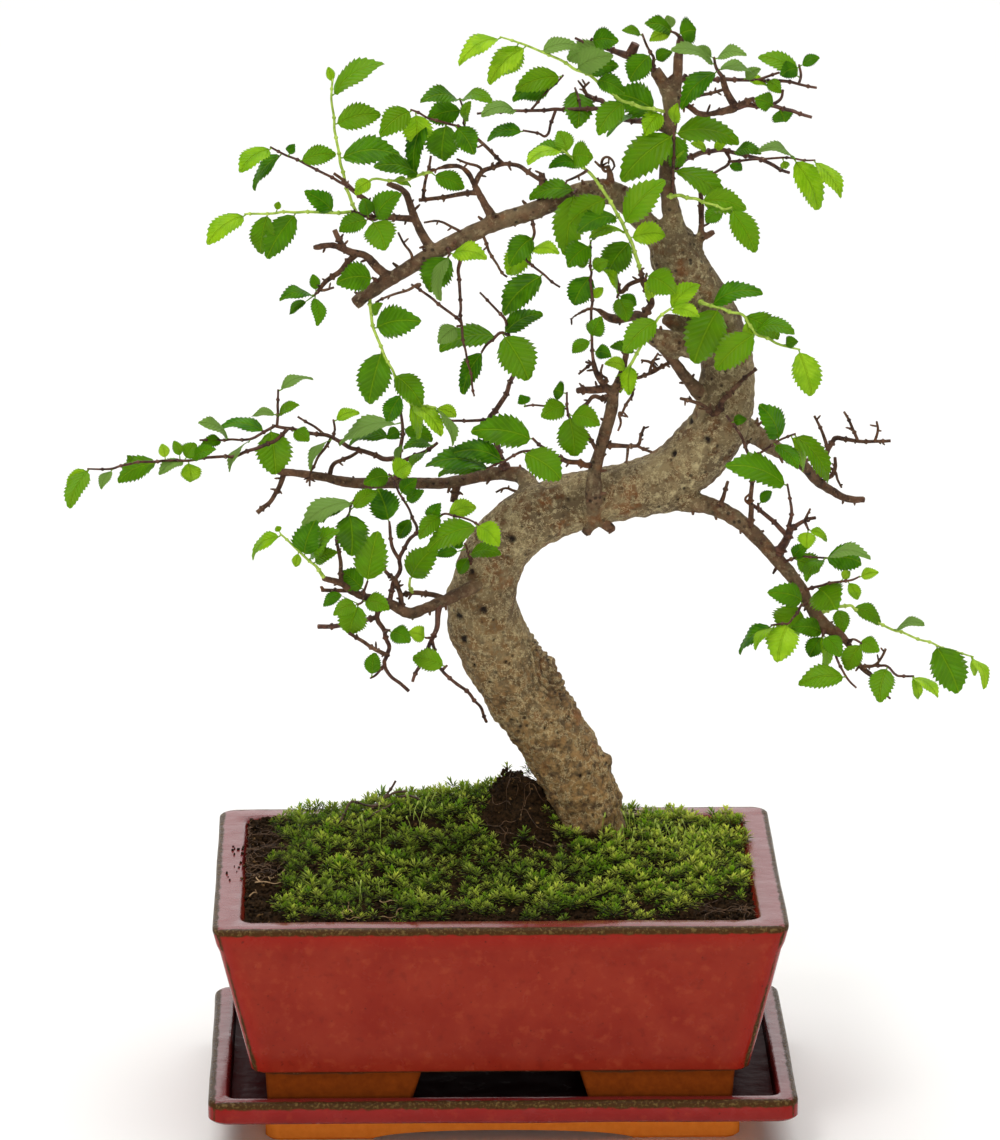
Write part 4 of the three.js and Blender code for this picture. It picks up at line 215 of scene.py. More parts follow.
# Leafy sprays: twigs as above, then leaves as [base across, base up, tip across, tip up, width]
SPRAYS = [
  ["spray_left_upright", [
    [[-48.6, 324, -14.4, 0.55], [-51.5, 331, -11, 0.55], [-54.5, 342, -8, 0.5], [-56.5, 354, -6, 0.45],
      [-57.5, 364.5, -5, 0.4], [-57, 372, -4, 0.35]],
  ], [
    [-57, 366, -40, 377, 7], [-56.2, 356, -41, 359, 8.5], [-55, 344, -34.5, 345, 9],
    [-57.3, 370, -58.5, 376, 3],
  ]],
  ["spray_left_rising", [
    [[-49.5, 332.4, -19.5, 0.55], [-55, 335.6, -22.5, 0.5], [-59.5, 338.2, -25, 0.45],
      [-66.7, 342, -28, 0.45], [-73.3, 345, -31, 0.4], [-78.8, 348, -34, 0.35]],
  ], [
    [-79, 347.7, -89, 338.5, 6.5], [-75, 345.5, -84, 333, 4], [-72.5, 345, -70.5, 349, 3.2],
    [-69.5, 341.8, -56.5, 345, 6.5],
  ]],
  ["spray_left_level", [
    [[-50.5, 325, -14, 0.55], [-59.4, 324.7, -16, 0.5], [-69.7, 324.8, -19, 0.45], [-77, 324.6, -22, 0.4],
      [-88, 324.2, -26, 0.35]],
  ], [
    [-88.5, 324.2, -100.5, 313.5, 7], [-80, 324.6, -82.5, 311, 8], [-70, 324.8, -80, 309, 9],
    [-77, 324.6, -76, 328.5, 2.4], [-57, 324.8, -66, 331.3, 7],
  ]],
  ["spray_left_inner", [
    [[-41, 323.2, -16, 0.6], [-43, 322, -20, 0.5], [-45.2, 322.6, -23, 0.4]],
  ], [
    [-43, 322.8, -33.5, 331.5, 8], [-44.5, 322.2, -54.5, 318.5, 6.5], [-43.8, 321.5, -39, 311.5, 10.5],
    [-45, 323, -46.5, 329.5, 5.5],
  ]],
  ["spray_left_green_twig", [
    [[-22.5, 339, -17.5, 0.55], [-33, 336, -20, 0.45], [-43.3, 336.5, -23, 0.4], [-47.7, 332.4, -25, 0.35]],
  ], [
    [-43.5, 336.5, -49.5, 331, 5], [-37, 336.3, -30, 334, 2.6], [-26.5, 338, -42.5, 340.5, 6.5],
    [-21.5, 337.5, -12, 333, 6.5],
  ]],
  ["spray_upper_left", [
    [[-9.3, 353.6, -13.6, 0.5], [-17, 356, -18, 0.45], [-24, 358, -22, 0.4], [-30, 361, -26, 0.35]],
    [[-11, 354.1, -14.6, 0.45], [-11.5, 360, -13, 0.4], [-13, 365, -11, 0.35]],
  ], [
    [-30.5, 361, -40.5, 352, 8.5], [-28, 360.5, -28, 349.5, 10], [-13, 365.5, -25.7, 364.3, 5.5],
    [-11.5, 361, -23.5, 357.5, 8.5], [-10.5, 356, -9.5, 363.5, 3.5], [-18, 355.8, -19, 343, 11],
    [-14.5, 355, -8, 345, 8], [-25.5, 357, -29, 340, 6.5], [-16, 365.5, -2.5, 364.5, 4],
  ]],
  ["spray_upper_back", [
    [[59, 353.5, 5, 1.3], [51, 356.6, 9, 1], [42, 358, 13, 0.9], [36, 361, 16, 0.75], [20, 361, 19, 0.6],
      [5, 360.5, 21, 0.5], [-7, 359.5, 23, 0.4]],
    [[38, 360.3, 15, 0.8], [36.5, 363.8, 16, 0.8], [30.7, 366.2, 18, 0.7]],
    [[20.5, 361, 19, 0.5], [17, 351.5, 17, 0.45], [9, 353.5, 14, 0.35]],
    [[12, 361, 20, 0.45], [16, 366, 19, 0.4], [23, 373, 17, 0.35]],
    [[29, 361, 17.5, 0.45], [28, 366, 22, 0.4], [27, 368.5, 25, 0.35]],
  ], [
    [23.4, 373.6, 7, 368, 8], [18.5, 369.5, 9, 365, 7], [7, 361.5, -5, 358.8, 5],
    [8.5, 353.7, -3.3, 350.5, 4.5], [27, 368.5, 28, 354.6, 10], [19.5, 368.5, 6, 364, 6],
  ]],
  ["spray_top_left_shoot", [
    [[58, 360, 3, 0.6], [50, 361.5, -3, 0.6], [43, 364, -5, 0.55], [40.6, 366, -5, 0.55],
      [33.6, 371.8, -6, 0.5], [27, 375, -7, 0.5], [21.6, 378.5, -9, 0.45], [13.6, 382, -12, 0.4],
      [9.6, 383.7, -14, 0.4], [1, 386.5, -18, 0.3]],
  ], [
    [0.5, 386.8, -13, 378, 6], [7.5, 384.5, 3, 374, 9], [10, 383, -2.5, 370.5, 7.5],
    [15, 381.8, 28, 382.3, 5], [27.5, 375.5, 39, 379.5, 8.5], [31, 373.5, 42, 376.3, 6],
    [33.5, 371, 44, 366.5, 6.5], [55.5, 361, 41, 366, 11], [44, 363.2, 35, 352, 8.5],
    [56, 360, 39, 351, 2.5], [57.5, 359.5, 51.5, 352, 7],
  ]],
  ["spray_top_back_twig", [
    [[54.7, 374.3, 3, 1.1], [50, 378, 6, 1], [44.5, 380, 9, 1.2], [36, 383, 13, 0.6], [27, 386, 16, 0.4]],
    [[46, 379.5, 8.5, 1.9], [48, 384, 8, 1.5]],
    [[32, 384.4, 14.5, 0.45], [33, 385.8, 13, 0.4]],
  ], [
    [32, 385, 42, 384.8, 7.5], [38, 382.4, 24.5, 378.3, 8],
  ]],
  ["spray_leader_front", [
    [[61.2, 331, 3.6, 0.6], [61.3, 340, 1, 0.55], [61.5, 347, 0, 0.5], [61.5, 353, -1, 0.45],
      [62.2, 357, -1.5, 0.35]],
  ], [
    [60.8, 352, 44, 336, 12], [61.3, 352.5, 62.5, 339, 7], [62, 355, 62.8, 362.5, 4.2],
    [62.5, 352.5, 83.5, 349, 8.5], [61.8, 339.5, 80, 327, 7.5], [61.5, 342, 65.5, 350, 4],
  ]],
  ["spray_right_hanging", [
    [[58.3, 330.3, 5, 0.8], [64, 330.3, 0, 0.6], [69.7, 329, -4, 0.5], [79, 325.3, -10, 0.45],
      [82, 326, -12, 0.35]],
  ], [
    [82, 325.7, 90, 310.5, 8.5], [79.5, 325, 73, 321, 5.5], [72.5, 333, 86.5, 325.3, 8.5],
  ]],
  ["spray_right_arm", [
    [[59.5, 338.5, 5, 1.6], [62.4, 340.4, 6, 1.1], [66, 343.6, 8, 0.9], [71, 345.4, 11, 0.85],
      [78.4, 346.4, 15, 0.8], [89.6, 343.6, 20, 0.7], [96, 341, 23, 0.65], [101.8, 338.2, 26, 0.55]],
    [[79.5, 346, 15.4, 0.6], [81, 342.3, 13, 0.5], [77, 339, 11, 0.45], [74.3, 337.5, 10, 0.4]],
    [[80.5, 342.2, 13, 0.5], [89, 343, 8, 0.45], [97, 343.4, 4, 0.4], [104, 343.1, 0, 0.35],
      [110.8, 342.6, -4, 0.3]],
  ], [
    [73.5, 346.5, 67.5, 348.5, 3.2], [74.5, 346.8, 79.5, 349, 3.2], [82, 346.5, 91.5, 345.3, 4.5],
    [103.5, 342.8, 112.5, 325.5, 9], [110.8, 342.5, 119, 329, 5.5], [99.5, 343.6, 100.5, 339.6, 3.2],
    [104, 343.4, 92, 346.7, 2.8], [80.5, 340.8, 85.5, 339.3, 3.6],
  ]],
  ["spray_apex", [
    [[63.8, 385.5, 3, 0.7], [62.2, 387.3, 1, 0.5], [60, 388.3, -2, 0.35]],
  ], [
    [61.5, 388.3, 51, 390.3, 5.5], [62.3, 387, 68.8, 388.5, 9], [60.5, 387.8, 53, 385, 4.5],
    [60.5, 388.8, 59, 393.6, 4],
  ]],
  ["spray_apex_left", [
    [[54.6, 374.2, 2, 0.7], [54.3, 379, -1, 0.5], [52, 383, -4, 0.45], [50.3, 387.3, -6, 0.4]],
  ], [
    [50.3, 387.3, 44, 388.7, 3.2], [53.2, 380.5, 46.5, 371.5, 8.5], [54.3, 378, 60.5, 381, 4.5],
  ]],
  ["spray_top_right", [
    [[78.3, 372, -10, 0.7], [76, 375.5, -12, 0.5], [75.3, 379, -14, 0.4]],
  ], [
    [75.5, 379.2, 85.5, 380.5, 4], [75, 379, 69, 382.7, 3.5], [75.7, 376.5, 60.5, 380.7, 4.2],
    [76.6, 375, 89, 373.5, 3.2], [76.3, 374.3, 64, 361.7, 7],
  ]],
  ["spray_top_right_back", [
    [[62, 371, 3.5, 1.4], [69, 371.7, 7, 0.9], [80, 371.3, 13, 0.7], [91, 371, 18, 0.6],
      [98, 370.7, 21, 0.6], [104.8, 369.5, 23, 0.5], [111, 368.2, 25, 0.45]],
    [[90.5, 371, 18, 0.5], [98, 373.6, 16, 0.4]],
    [[104.8, 369.6, 23, 0.5], [105.5, 372.5, 20, 0.45], [104.8, 376.3, 17, 0.35]],
  ], [
    [85.5, 371.5, 91, 374.7, 4], [86, 370.7, 93.5, 369, 3], [93, 370.6, 98.5, 366.7, 4.6],
    [106.5, 371.5, 91.5, 379.5, 6.5], [104.8, 375.5, 98.5, 372.5, 6], [105, 376.6, 111.5, 378.7, 4],
  ]],
  ["spray_top_right_low", [
    [[83.5, 361.5, -7.5, 1.2], [87, 362.3, -9, 0.9], [95.5, 362, -14, 0.7], [103, 360, -18, 0.6],
      [109.4, 357.8, -21, 0.5]],
    [[95, 362, -14, 0.6], [98.6, 364.4, -14, 0.5], [99.3, 367.6, -14, 0.45]],
  ], [
    [96.5, 362, 90, 364, 6.5], [98, 362, 100, 356.3, 7.5],
  ]],
  ["spray_bright_diagonal", [
    [[50, 303, -11.8, 0.6], [47.2, 313, -16, 0.6], [43.5, 321, -20, 0.55], [38, 330.5, -25, 0.5],
      [32.7, 338, -29, 0.5], [25.8, 344, -33, 0.4], [22.5, 346.8, -35, 0.3]],
  ], [
    [22.3, 346.7, 11, 341, 4.5], [24, 345.8, 10.8, 345.8, 4.5], [25.3, 344.6, 32.7, 343.8, 9],
    [25, 345, 21.5, 353, 6.5], [29.5, 341, 19, 341.3, 4.5], [38.6, 329.7, 25.5, 320.5, 9.5],
    [44.3, 320.3, 58.4, 335, 10], [46.3, 315.5, 58.5, 316.3, 7.5], [45.2, 317.3, 33, 316, 3.6],
    [46.5, 314.2, 38.5, 302.2, 10], [42, 322.2, 29, 318.3, 6.5],
  ]],
  ["spray_below_upper_branch", [
    [[27.5, 332, -7, 0.7], [27.5, 332.5, -11, 0.5], [26.8, 331, -15, 0.4]],
  ], [
    [26.8, 330.5, 24, 309.5, 10.5], [26.8, 333.3, 12, 329, 6.2],
  ]],
  ["spray_centre_upright", [
    [[33.7, 271.5, -18, 0.55], [33.2, 280, -19.5, 0.5], [33, 290, -20, 0.5], [33, 303, -19.5, 0.45],
      [32.7, 314.5, -18, 0.35]],
  ], [
    [33.2, 279.6, 36.5, 286.4, 6.5], [33.2, 279, 26.5, 274.5, 4.5], [33.6, 275, 39.5, 273.2, 5],
    [33, 293, 37, 297.3, 3.2], [32.8, 313, 24.5, 305, 8.5], [33, 302.5, 27, 291.5, 8.5],
    [33, 303.8, 38.8, 307, 5], [32.8, 306, 27.5, 307, 4.5], [32.7, 314.3, 36, 318.3, 2.6],
  ]],
  ["spray_shoulder_front", [
    [[51, 299, -10.3, 0.6], [52.3, 302.5, -15, 0.4]],
  ], [
    [52.5, 303, 61.5, 295.8, 9.5], [51.8, 301, 54, 292.5, 4.2],
  ]],
  ["spray_centre_dark", [
    [[42.9, 296.5, -9, 0.6], [42.3, 295, -12, 0.45], [42, 294, -14, 0.4]],
  ], [
    [42, 294.6, 45.5, 285.5, 7], [42.2, 295, 48.5, 291, 4.5], [42.3, 295.3, 37.5, 303.5, 3],
  ]],
  ["spray_under_arch", [
    [[12, 323, -10, 0.6], [13, 317, -13, 0.5], [10, 308, -16, 0.45], [16.5, 302.2, -19, 0.4],
      [22, 297.8, -21, 0.35]],
  ], [
    [12.8, 316, 5, 306.5, 8.5], [11.8, 313.5, 4, 302, 8.5], [12, 311, 21.5, 309.3, 4.6],
    [16, 302.5, 2, 288.5, 9.5],
  ]],
  ["spray_left_of_arch", [
    [[-17, 312.5, -14.5, 0.7], [-16.5, 310, -20, 0.45], [-17, 309, -23, 0.35]],
  ], [
    [-16, 309.8, -4, 308, 6.5], [-17.5, 309, -23.5, 297.5, 10.5], [-16, 308.5, -21, 294.3, 4.2],
  ]],
  ["spray_fan", [
    [[3, 230.5, 22, 1.5], [0, 241, 16, 1.1], [-2.5, 251, 10, 0.9], [2, 257.5, 6, 0.8], [5.8, 266.5, 2, 0.7],
      [5, 275, -2, 0.6], [2.7, 286.5, -6, 0.5], [-6, 296, -9, 0.35]],
    [[-2.5, 250.5, 10, 0.6], [-8, 250, 8, 0.5], [-19.5, 250.5, 4, 0.4]],
    [[4, 280.5, -4, 0.5], [1, 281.5, -8, 0.5], [-3.5, 277.5, -11, 0.45], [-5.5, 274.5, -13, 0.35]],
  ], [
    [-0.5, 281.5, -19.3, 274.5, 7.5], [2, 282, 15.5, 287.5, 6.5], [2, 281, 10.8, 265, 12.5],
    [-4.8, 275.3, -11.5, 260, 6.5],
  ]],
  ["spray_hanging_thread", [
    [[-12, 315, -13.5, 0.9], [-13.6, 304, -16, 0.6], [-12.7, 290, -17, 0.5], [-12.4, 284.3, -17, 0.5],
      [-11, 275, -16, 0.4], [-8, 258.8, -15, 0.35]],
    [[-12.4, 285, -17, 0.5], [-22.2, 293.5, -19, 0.5], [-30, 299, -20, 0.4]],
    [[-12.4, 284, -17, 0.5], [-14, 284, -20, 0.35]],
  ], [
    [-14, 284, -20.2, 278, 6.5],
  ]],
  ["spray_far_left_dark", [
    [[-62.5, 297, -29.7, 0.6], [-64, 295, -32, 0.35]],
  ], [
    [-64, 295.3, -75.5, 293.5, 4.2], [-63.5, 296.3, -64.3, 302.5, 3.6], [-64, 294.7, -63, 284.7, 4.8],
    [-67, 293, -72, 288.5, 3],
  ]],
  ["spray_round_leaf", [
    [[-41.5, 300, -19, 0.6], [-43.5, 301.5, -24, 0.35]],
  ], [
    [-43.6, 301.6, -56, 299.8, 9.7],
  ]],
  ["spray_long_hanging", [
    [[-44.5, 295, -18.5, 0.6], [-44, 288, -21, 0.5], [-42.4, 281, -22, 0.45], [-39.7, 274, -23, 0.45],
      [-36.4, 267.8, -24, 0.4], [-33.7, 260.1, -25, 0.4], [-30.3, 256.3, -26, 0.35],
      [-21.5, 254.8, -29, 0.3]],
  ], [
    [-42.8, 283.5, -28, 285.5, 10.5], [-40.5, 275.5, -45, 256.5, 11], [-36.2, 267.2, -26.5, 255.3, 8.5],
    [-34, 259.5, -38.5, 249.5, 6.5], [-30.2, 256, -20, 244.7, 5.8], [-31, 256.5, -28.5, 244, 4.2],
    [-43.7, 287.5, -40, 292.3, 3.2], [-21.5, 254.8, -14.3, 251.5, 4.5], [-22, 254.5, -15.3, 242, 3],
  ]],
  ["spray_long_left", [
    [[-36, 228, 28, 1.3], [-33.5, 234, 26, 1.1], [-35, 236, 25.5, 1], [-40, 236.3, 26, 0.9],
      [-46, 238.8, 27, 0.8], [-51.5, 240.3, 28, 0.75], [-60, 245, 30, 0.7], [-67.3, 246, 30, 0.65],
      [-74.5, 247.6, 29, 0.6], [-79, 248.6, 28, 0.5]],
    [[-34, 235, 25.7, 0.9], [-26, 238.5, 22, 0.7], [-21, 242, 20, 0.55]],
    [[-34.5, 236, 25.5, 0.8], [-33.5, 243, 24, 0.7], [-33.3, 249, 23, 0.55], [-34.5, 257, 22, 0.4]],
    [[-60.5, 245, 30, 0.5], [-64, 248, 29, 0.45], [-70, 251.7, 28, 0.4]],
    [[-73.5, 247.4, 29, 0.65], [-78, 243, 26, 0.6], [-84.5, 240.3, 23, 0.6], [-93, 237.3, 18, 0.55],
      [-100, 237.2, 13, 0.5], [-108.5, 236, 7, 0.45], [-117.5, 236, 1, 0.45], [-128.7, 235, -6, 0.4],
      [-135, 233.3, -10, 0.4], [-144, 233.2, -16, 0.3]],
    [[-78, 248.4, 28.5, 0.5], [-86, 243.9, 25, 0.45], [-94, 243.6, 20, 0.4], [-104.5, 243.4, 14, 0.35]],
    [[-77.3, 248.5, 28.7, 0.5], [-77, 256, 27, 0.45], [-76.8, 261.5, 26, 0.35]],
    [[-57.5, 243.6, 29.2, 0.5], [-57, 247, 25, 0.4], [-57.5, 250.5, 22, 0.35]],
  ], [
    [-144, 233.3, -150, 219, 6.5], [-144.3, 233.5, -150.5, 226, 4.5], [-135.2, 233.5, -139, 225.8, 3.6],
    [-119, 235.8, -132.5, 228.5, 7.5], [-128, 235.2, -130, 238, 2.2], [-116.5, 236.3, -117.7, 242, 3.8],
    [-109.5, 236, -118.5, 231.5, 4.2], [-108.5, 235.8, -107.5, 228.5, 7], [-107.5, 236.2, -99.5, 240, 4.6],
    [-110, 236.4, -106, 242, 6], [-94, 244, -104.7, 249, 4], [-81.5, 247.5, -96.5, 246.8, 4.2],
    [-96, 243.5, -103.5, 241.5, 4.2], [-79.8, 248, -78, 232, 12], [-86.5, 243.6, -93.2, 231.8, 2.4],
    [-76.7, 261, -65, 265.6, 3.2], [-76.9, 252, -70, 255.8, 3.6], [-77.1, 252.5, -86, 252, 2.8],
    [-72, 247, -66.3, 243, 5.5], [-57.5, 250, -48.5, 253.3, 4], [-58, 244, -66, 233.5, 2.6],
    [-36, 249, -54.5, 241, 5.5], [-33.4, 246.5, -38.5, 244, 4.6], [-33, 247.5, -23.5, 243, 6],
    [-33.5, 242, -35, 235.8, 2.6], [-38.5, 244, -52, 242.5, 4.5], [-23, 242.5, -32.5, 240, 4],
    [-111.5, 238, -113.5, 243, 3.5], [-21, 234.5, -30.5, 231.5, 3],
  ]],
  ["spray_middle", [
    [[19.6, 237.4, -14.6, 0.7], [16.5, 240, -16.8, 0.55], [12.5, 243.5, -21, 0.4]],
    [[16.6, 239.8, -16.7, 0.5], [8.8, 238.7, -20, 0.45], [2, 235, -23, 0.4], [-4, 232.3, -25, 0.35]],
  ], [
    [12.5, 243.5, -8, 246, 10.5], [9, 238.8, 22, 229, 10.5], [2.5, 235.8, -15.8, 238.5, 7.5],
    [-4, 232.5, -20, 229.5, 5], [-2.5, 233.3, -24.5, 232.5, 7],
  ]],
  ["spray_middle_upper", [
    [[26, 250, -12.7, 0.5], [24.7, 254, -15.5, 0.4], [24.5, 260, -18, 0.35]],
    [[24.8, 254, -15.5, 0.4], [16, 255.2, -19, 0.35], [9.5, 255, -22, 0.3]],
  ], [
    [24.5, 255.3, 15.8, 251, 7.5], [24.6, 259.5, 20, 260.8, 6.5], [10, 255, 8.5, 258.8, 4.5],
    [25.2, 251.5, 27, 237, 10.5], [25.5, 252, 36, 248.5, 7.5],
  ]],
  ["spray_centre_bright", [
    [[43.8, 265.5, -11.5, 0.6], [47.2, 270.5, -16, 0.5], [51.7, 278.8, -19, 0.5], [56.2, 286.2, -21, 0.45],
      [60.7, 289.9, -23, 0.35]],
  ], [
    [56, 286.8, 45, 275, 8.5], [49.2, 274.2, 40, 276, 3.8], [60.5, 289.8, 70.5, 286.5, 4.8],
    [60, 289.7, 70.5, 298.5, 6.5], [46.8, 270.3, 46.5, 259.5, 5.5], [45.5, 268, 42.8, 259.8, 3.8],
    [45.8, 268.6, 38, 270.3, 4.4],
  ]],
  ["spray_trunk_right", [
    [[70.5, 292.8, 3, 0.8], [72.5, 291.7, -4, 0.55], [78.8, 290, -8, 0.5], [86, 287.6, -11, 0.45],
      [91, 280.5, -13, 0.45], [98, 277.3, -15, 0.4], [103, 275.8, -17, 0.35], [106.3, 275, -18, 0.3]],
  ], [
    [77.5, 290, 69.5, 271, 13.5], [90.5, 281, 77.5, 268.5, 10.5], [74.5, 291.5, 92, 296, 6.5],
    [86, 287.6, 98, 279.7, 8], [90.5, 282.5, 103.5, 281.5, 5.2], [87.5, 286, 88.5, 278, 4.2],
    [100.3, 276.7, 105, 278, 4.2], [106.5, 274.6, 110.3, 259.3, 9.5],
  ]],
  ["spray_right_middle", [
    [[89.6, 228.8, -8.2, 0.65], [89, 236, -9.5, 0.55], [86, 243.7, -10, 0.45], [80.5, 251.5, -8, 0.4]],
    [[89, 235.8, -9.5, 0.5], [99, 242.2, -13, 0.4], [105, 244.7, -15, 0.35]],
  ], [
    [99.3, 242.3, 91.8, 255, 8.5], [105, 244.6, 116.5, 227.5, 7], [97.5, 241.2, 105.5, 232, 5.5],
    [103.5, 244, 107.5, 231.5, 4.2], [82.5, 249, 87.5, 250, 3.6],
  ]],
  ["spray_right_spur", [
    [[99, 198.5, -7, 1.7], [101.4, 204.8, -9, 1.4], [103.4, 210, -11, 1.2]],
    [[102.5, 207.8, -10.2, 0.9], [100, 210.3, -8, 0.8], [95.7, 214.5, -5, 0.7], [90, 219, -3.2, 0.6]],
    [[103, 209, -10.6, 1], [107, 212.3, -14, 0.7], [112.3, 214.2, -17, 0.6]],
    [[103.3, 209, -10.8, 0.8], [103.8, 218, -16, 0.5], [102.3, 226.5, -19, 0.35]],
    [[108.6, 212.8, -14.9, 0.6], [110, 209.6, -18, 0.35]],
    [[92.4, 217.1, -4.1, 0.5], [92, 219.5, -7, 0.35]],
  ], [
    [102.3, 226.3, 80.5, 232, 9.5], [92, 219.4, 96.7, 223.8, 3.6], [110, 209.8, 109.6, 203.3, 6.2],
    [109.6, 210, 116.5, 205.8, 3],
  ]],
  ["spray_right_upper", [
    [[100.5, 197.8, -8.5, 0.6], [107, 200.2, -14, 0.4], [116.5, 199.5, -18, 0.35]],
  ], [
    [103.8, 199.5, 109.5, 204, 4.8], [105, 199.3, 113.3, 195, 7.5], [116, 199.6, 131, 200.5, 4.2],
    [115.5, 198.3, 129, 197.5, 9], [121, 197.5, 109.5, 191.5, 4.5],
  ]],
  ["spray_right_outer", [
    [[108.5, 187.5, -12.3, 0.6], [115, 189.5, -17, 0.45], [120.4, 190.7, -21, 0.4], [125.4, 191.4, -24, 0.4],
      [128.3, 192.7, -26, 0.3]],
  ], [
    [128.3, 192.8, 134.7, 194, 4], [124, 191.1, 127.7, 184.5, 4.2], [112.6, 191.3, 119.5, 181, 12.5],
    [121.5, 191, 124.7, 194.7, 3.2],
  ]],
  ["spray_right_lower", [
    [[110.3, 183, -13, 0.7], [107.5, 182, -20, 0.45], [105, 178, -25, 0.4], [103, 175.5, -28, 0.35],
      [97, 175, -31, 0.3]],
  ], [
    [107.8, 184, 97, 186.5, 8], [107, 182.3, 101.5, 172, 12], [103.5, 175.5, 100, 162.7, 11],
    [97, 175, 86.3, 164.8, 4.2], [98.5, 175, 92, 166, 3.2],
  ]],
  ["spray_right_knob", [
    [[116, 173, -16.5, 0.7], [115.5, 171, -22, 0.45]],
  ], [
    [115, 172.5, 105, 174, 6.5], [115, 170.7, 111, 163.5, 6.2], [116, 170.5, 121.5, 163.8, 6.5],
    [115.4, 170, 116.5, 159.5, 4.2],
  ]],
  ["spray_right_side", [
    [[124.3, 168, -17.8, 0.6], [126.5, 169.7, -23, 0.4], [129.5, 168, -26, 0.35]],
  ], [
    [128, 169.3, 135, 165.3, 6], [129.3, 167.7, 124, 158.7, 7.2],
  ]],
  ["spray_right_under", [
    [[118, 172.5, -16.2, 0.7], [120.4, 163, -23, 0.45], [124.7, 154.8, -26, 0.4], [127.6, 151.8, -28, 0.35]],
  ], [
    [124, 156, 107.5, 152.8, 7.8],
  ]],
  ["spray_far_right", [
    [[113, 178.7, -13.8, 0.8], [120, 181.5, -11, 0.55], [125.5, 182, -8, 0.5], [133.4, 176.6, -4, 0.45],
      [141.3, 172.7, 0, 0.45], [151.4, 169, 5, 0.4], [160.7, 165.8, 10, 0.35], [169, 163, 14, 0.3]],
  ], [
    [120.5, 181.3, 122.5, 172.3, 5.6], [126, 182, 135.5, 175.3, 5.6], [140.5, 173.2, 151.5, 174, 3.6],
    [156, 168.6, 163.5, 151, 12], [169, 163.2, 173.7, 152.3, 3.6], [168.3, 163.2, 169.5, 156.3, 3],
  ]],
  ["spray_tip_right", [
    [[133.5, 160, -22, 0.55], [138.5, 159.7, -26, 0.4], [142, 156.3, -28, 0.4], [148, 156, -31, 0.35]],
  ], [
    [138.5, 159.6, 136, 146.5, 8.5], [147.8, 156.1, 149.3, 148, 3.6], [148, 156.2, 156, 147.8, 4],
  ]],
  ["spray_left_rising_twigs", [
    [[-38, 184.5, -14.5, 0.9], [-36.6, 191.5, -12, 0.8], [-34.2, 196, -10, 0.75], [-34.5, 200, -9, 0.7],
      [-31, 207, -7, 0.65], [-28.3, 210, -6.2, 0.55], [-31, 218, -9, 0.4], [-34.4, 223.7, -11, 0.4],
      [-37.5, 230.5, -13, 0.35]],
    [[-34.4, 199.5, -9, 0.7], [-36.9, 204, -10, 0.6], [-37.8, 211, -11.7, 0.5], [-38, 213.5, -15, 0.35]],
    [[-30.6, 207.5, -6.9, 0.6], [-24, 213, -14, 0.4], [-18.5, 216.3, -17, 0.4], [-11, 214.5, -21, 0.35],
      [-6, 211.5, -24, 0.3]],
  ], [
    [-37.4, 230.3, -46.5, 227.5, 6.6], [-37.2, 230, -30.7, 234.3, 7.5], [-34, 223.5, -28.5, 228.5, 5.6],
    [-38, 213.2, -42, 225, 10], [-24, 213.3, -20.5, 219.5, 5.2], [-18, 216.3, -8, 218.5, 6.2],
    [-7.5, 212.5, 0.8, 204.8, 7.5], [-6.5, 211.8, -24, 203.3, 8.6], [-19.5, 215.8, -27.5, 207.3, 6.2],
    [-30, 215, -34.5, 207.5, 5], [-31.5, 221, -26, 224.5, 4.5],
  ]],
  ["spray_trunk_left", [
    [[-9.4, 197.8, 5, 0.8], [-10, 201, -4, 0.45], [-11.4, 205.5, -8, 0.35]],
  ], [
    [-10.2, 201.5, 0.8, 201.5, 5.4], [-10, 200.8, -13.3, 194.5, 4.6], [-11.2, 204.5, -18.5, 207, 5],
    [-14, 202.5, -21, 201, 4],
  ]],
  ["spray_lifted_leaf", [
    [[-30, 187.5, -2.2, 0.7], [-31, 190, -7, 0.45], [-30.7, 193, -9, 0.35]],
  ], [
    [-30.7, 193.3, -21.5, 204, 9.5],
  ]],
  ["spray_two_tone", [
    [[-47.5, 186.8, -18.5, 0.8], [-46.8, 189, -23, 0.45], [-45.8, 191.8, -26, 0.35]],
    [[-47, 188.5, -22.5, 0.45], [-47.5, 184.5, -25, 0.4], [-49.5, 183.3, -27, 0.35]],
  ], [
    [-46, 191.5, -42.2, 209.6, 11], [-47, 188.5, -55, 195, 8], [-47.5, 184.8, -38.8, 182, 6.6],
    [-49, 183.5, -52, 173.2, 9.5], [-49.5, 183.5, -57.3, 180, 5.6], [-55, 187, -61, 183, 4],
  ]],
  ["spray_left_low_end", [
    [[-61, 193, -24.7, 0.7], [-64, 197.5, -28, 0.45], [-68, 201, -31, 0.4], [-71, 204, -33, 0.4],
      [-76.5, 209.3, -36, 0.3]],
  ], [
    [-68, 201.3, -64.5, 213, 9.5], [-76, 209, -87, 201, 4.2], [-66.5, 199.8, -55, 209.5, 6.2],
    [-70, 203, -71, 197.3, 3.2], [-65, 198.5, -57, 202.5, 5.2], [-76.5, 209.3, -77.8, 212, 2.4],
  ]],
  ["spray_left_arching", [
    [[-56.5, 206, -15.4, 0.6], [-55.5, 212, -19, 0.4], [-52, 217, -22, 0.35], [-50.5, 221.5, -24, 0.3]],
  ], [
    [-50.7, 221.5, -69.5, 210.5, 6.8], [-51.5, 218, -42.3, 224.5, 5.4], [-52, 217, -51.5, 201.5, 11],
    [-46, 218.5, -61.5, 214, 3.5],
  ]],
  ["spray_hanging_outer", [
    [[-41.5, 184.3, -16, 1.1], [-42.5, 178.3, -18, 0.9], [-39.8, 173.4, -20, 0.8], [-38.2, 167.8, -22, 0.75],
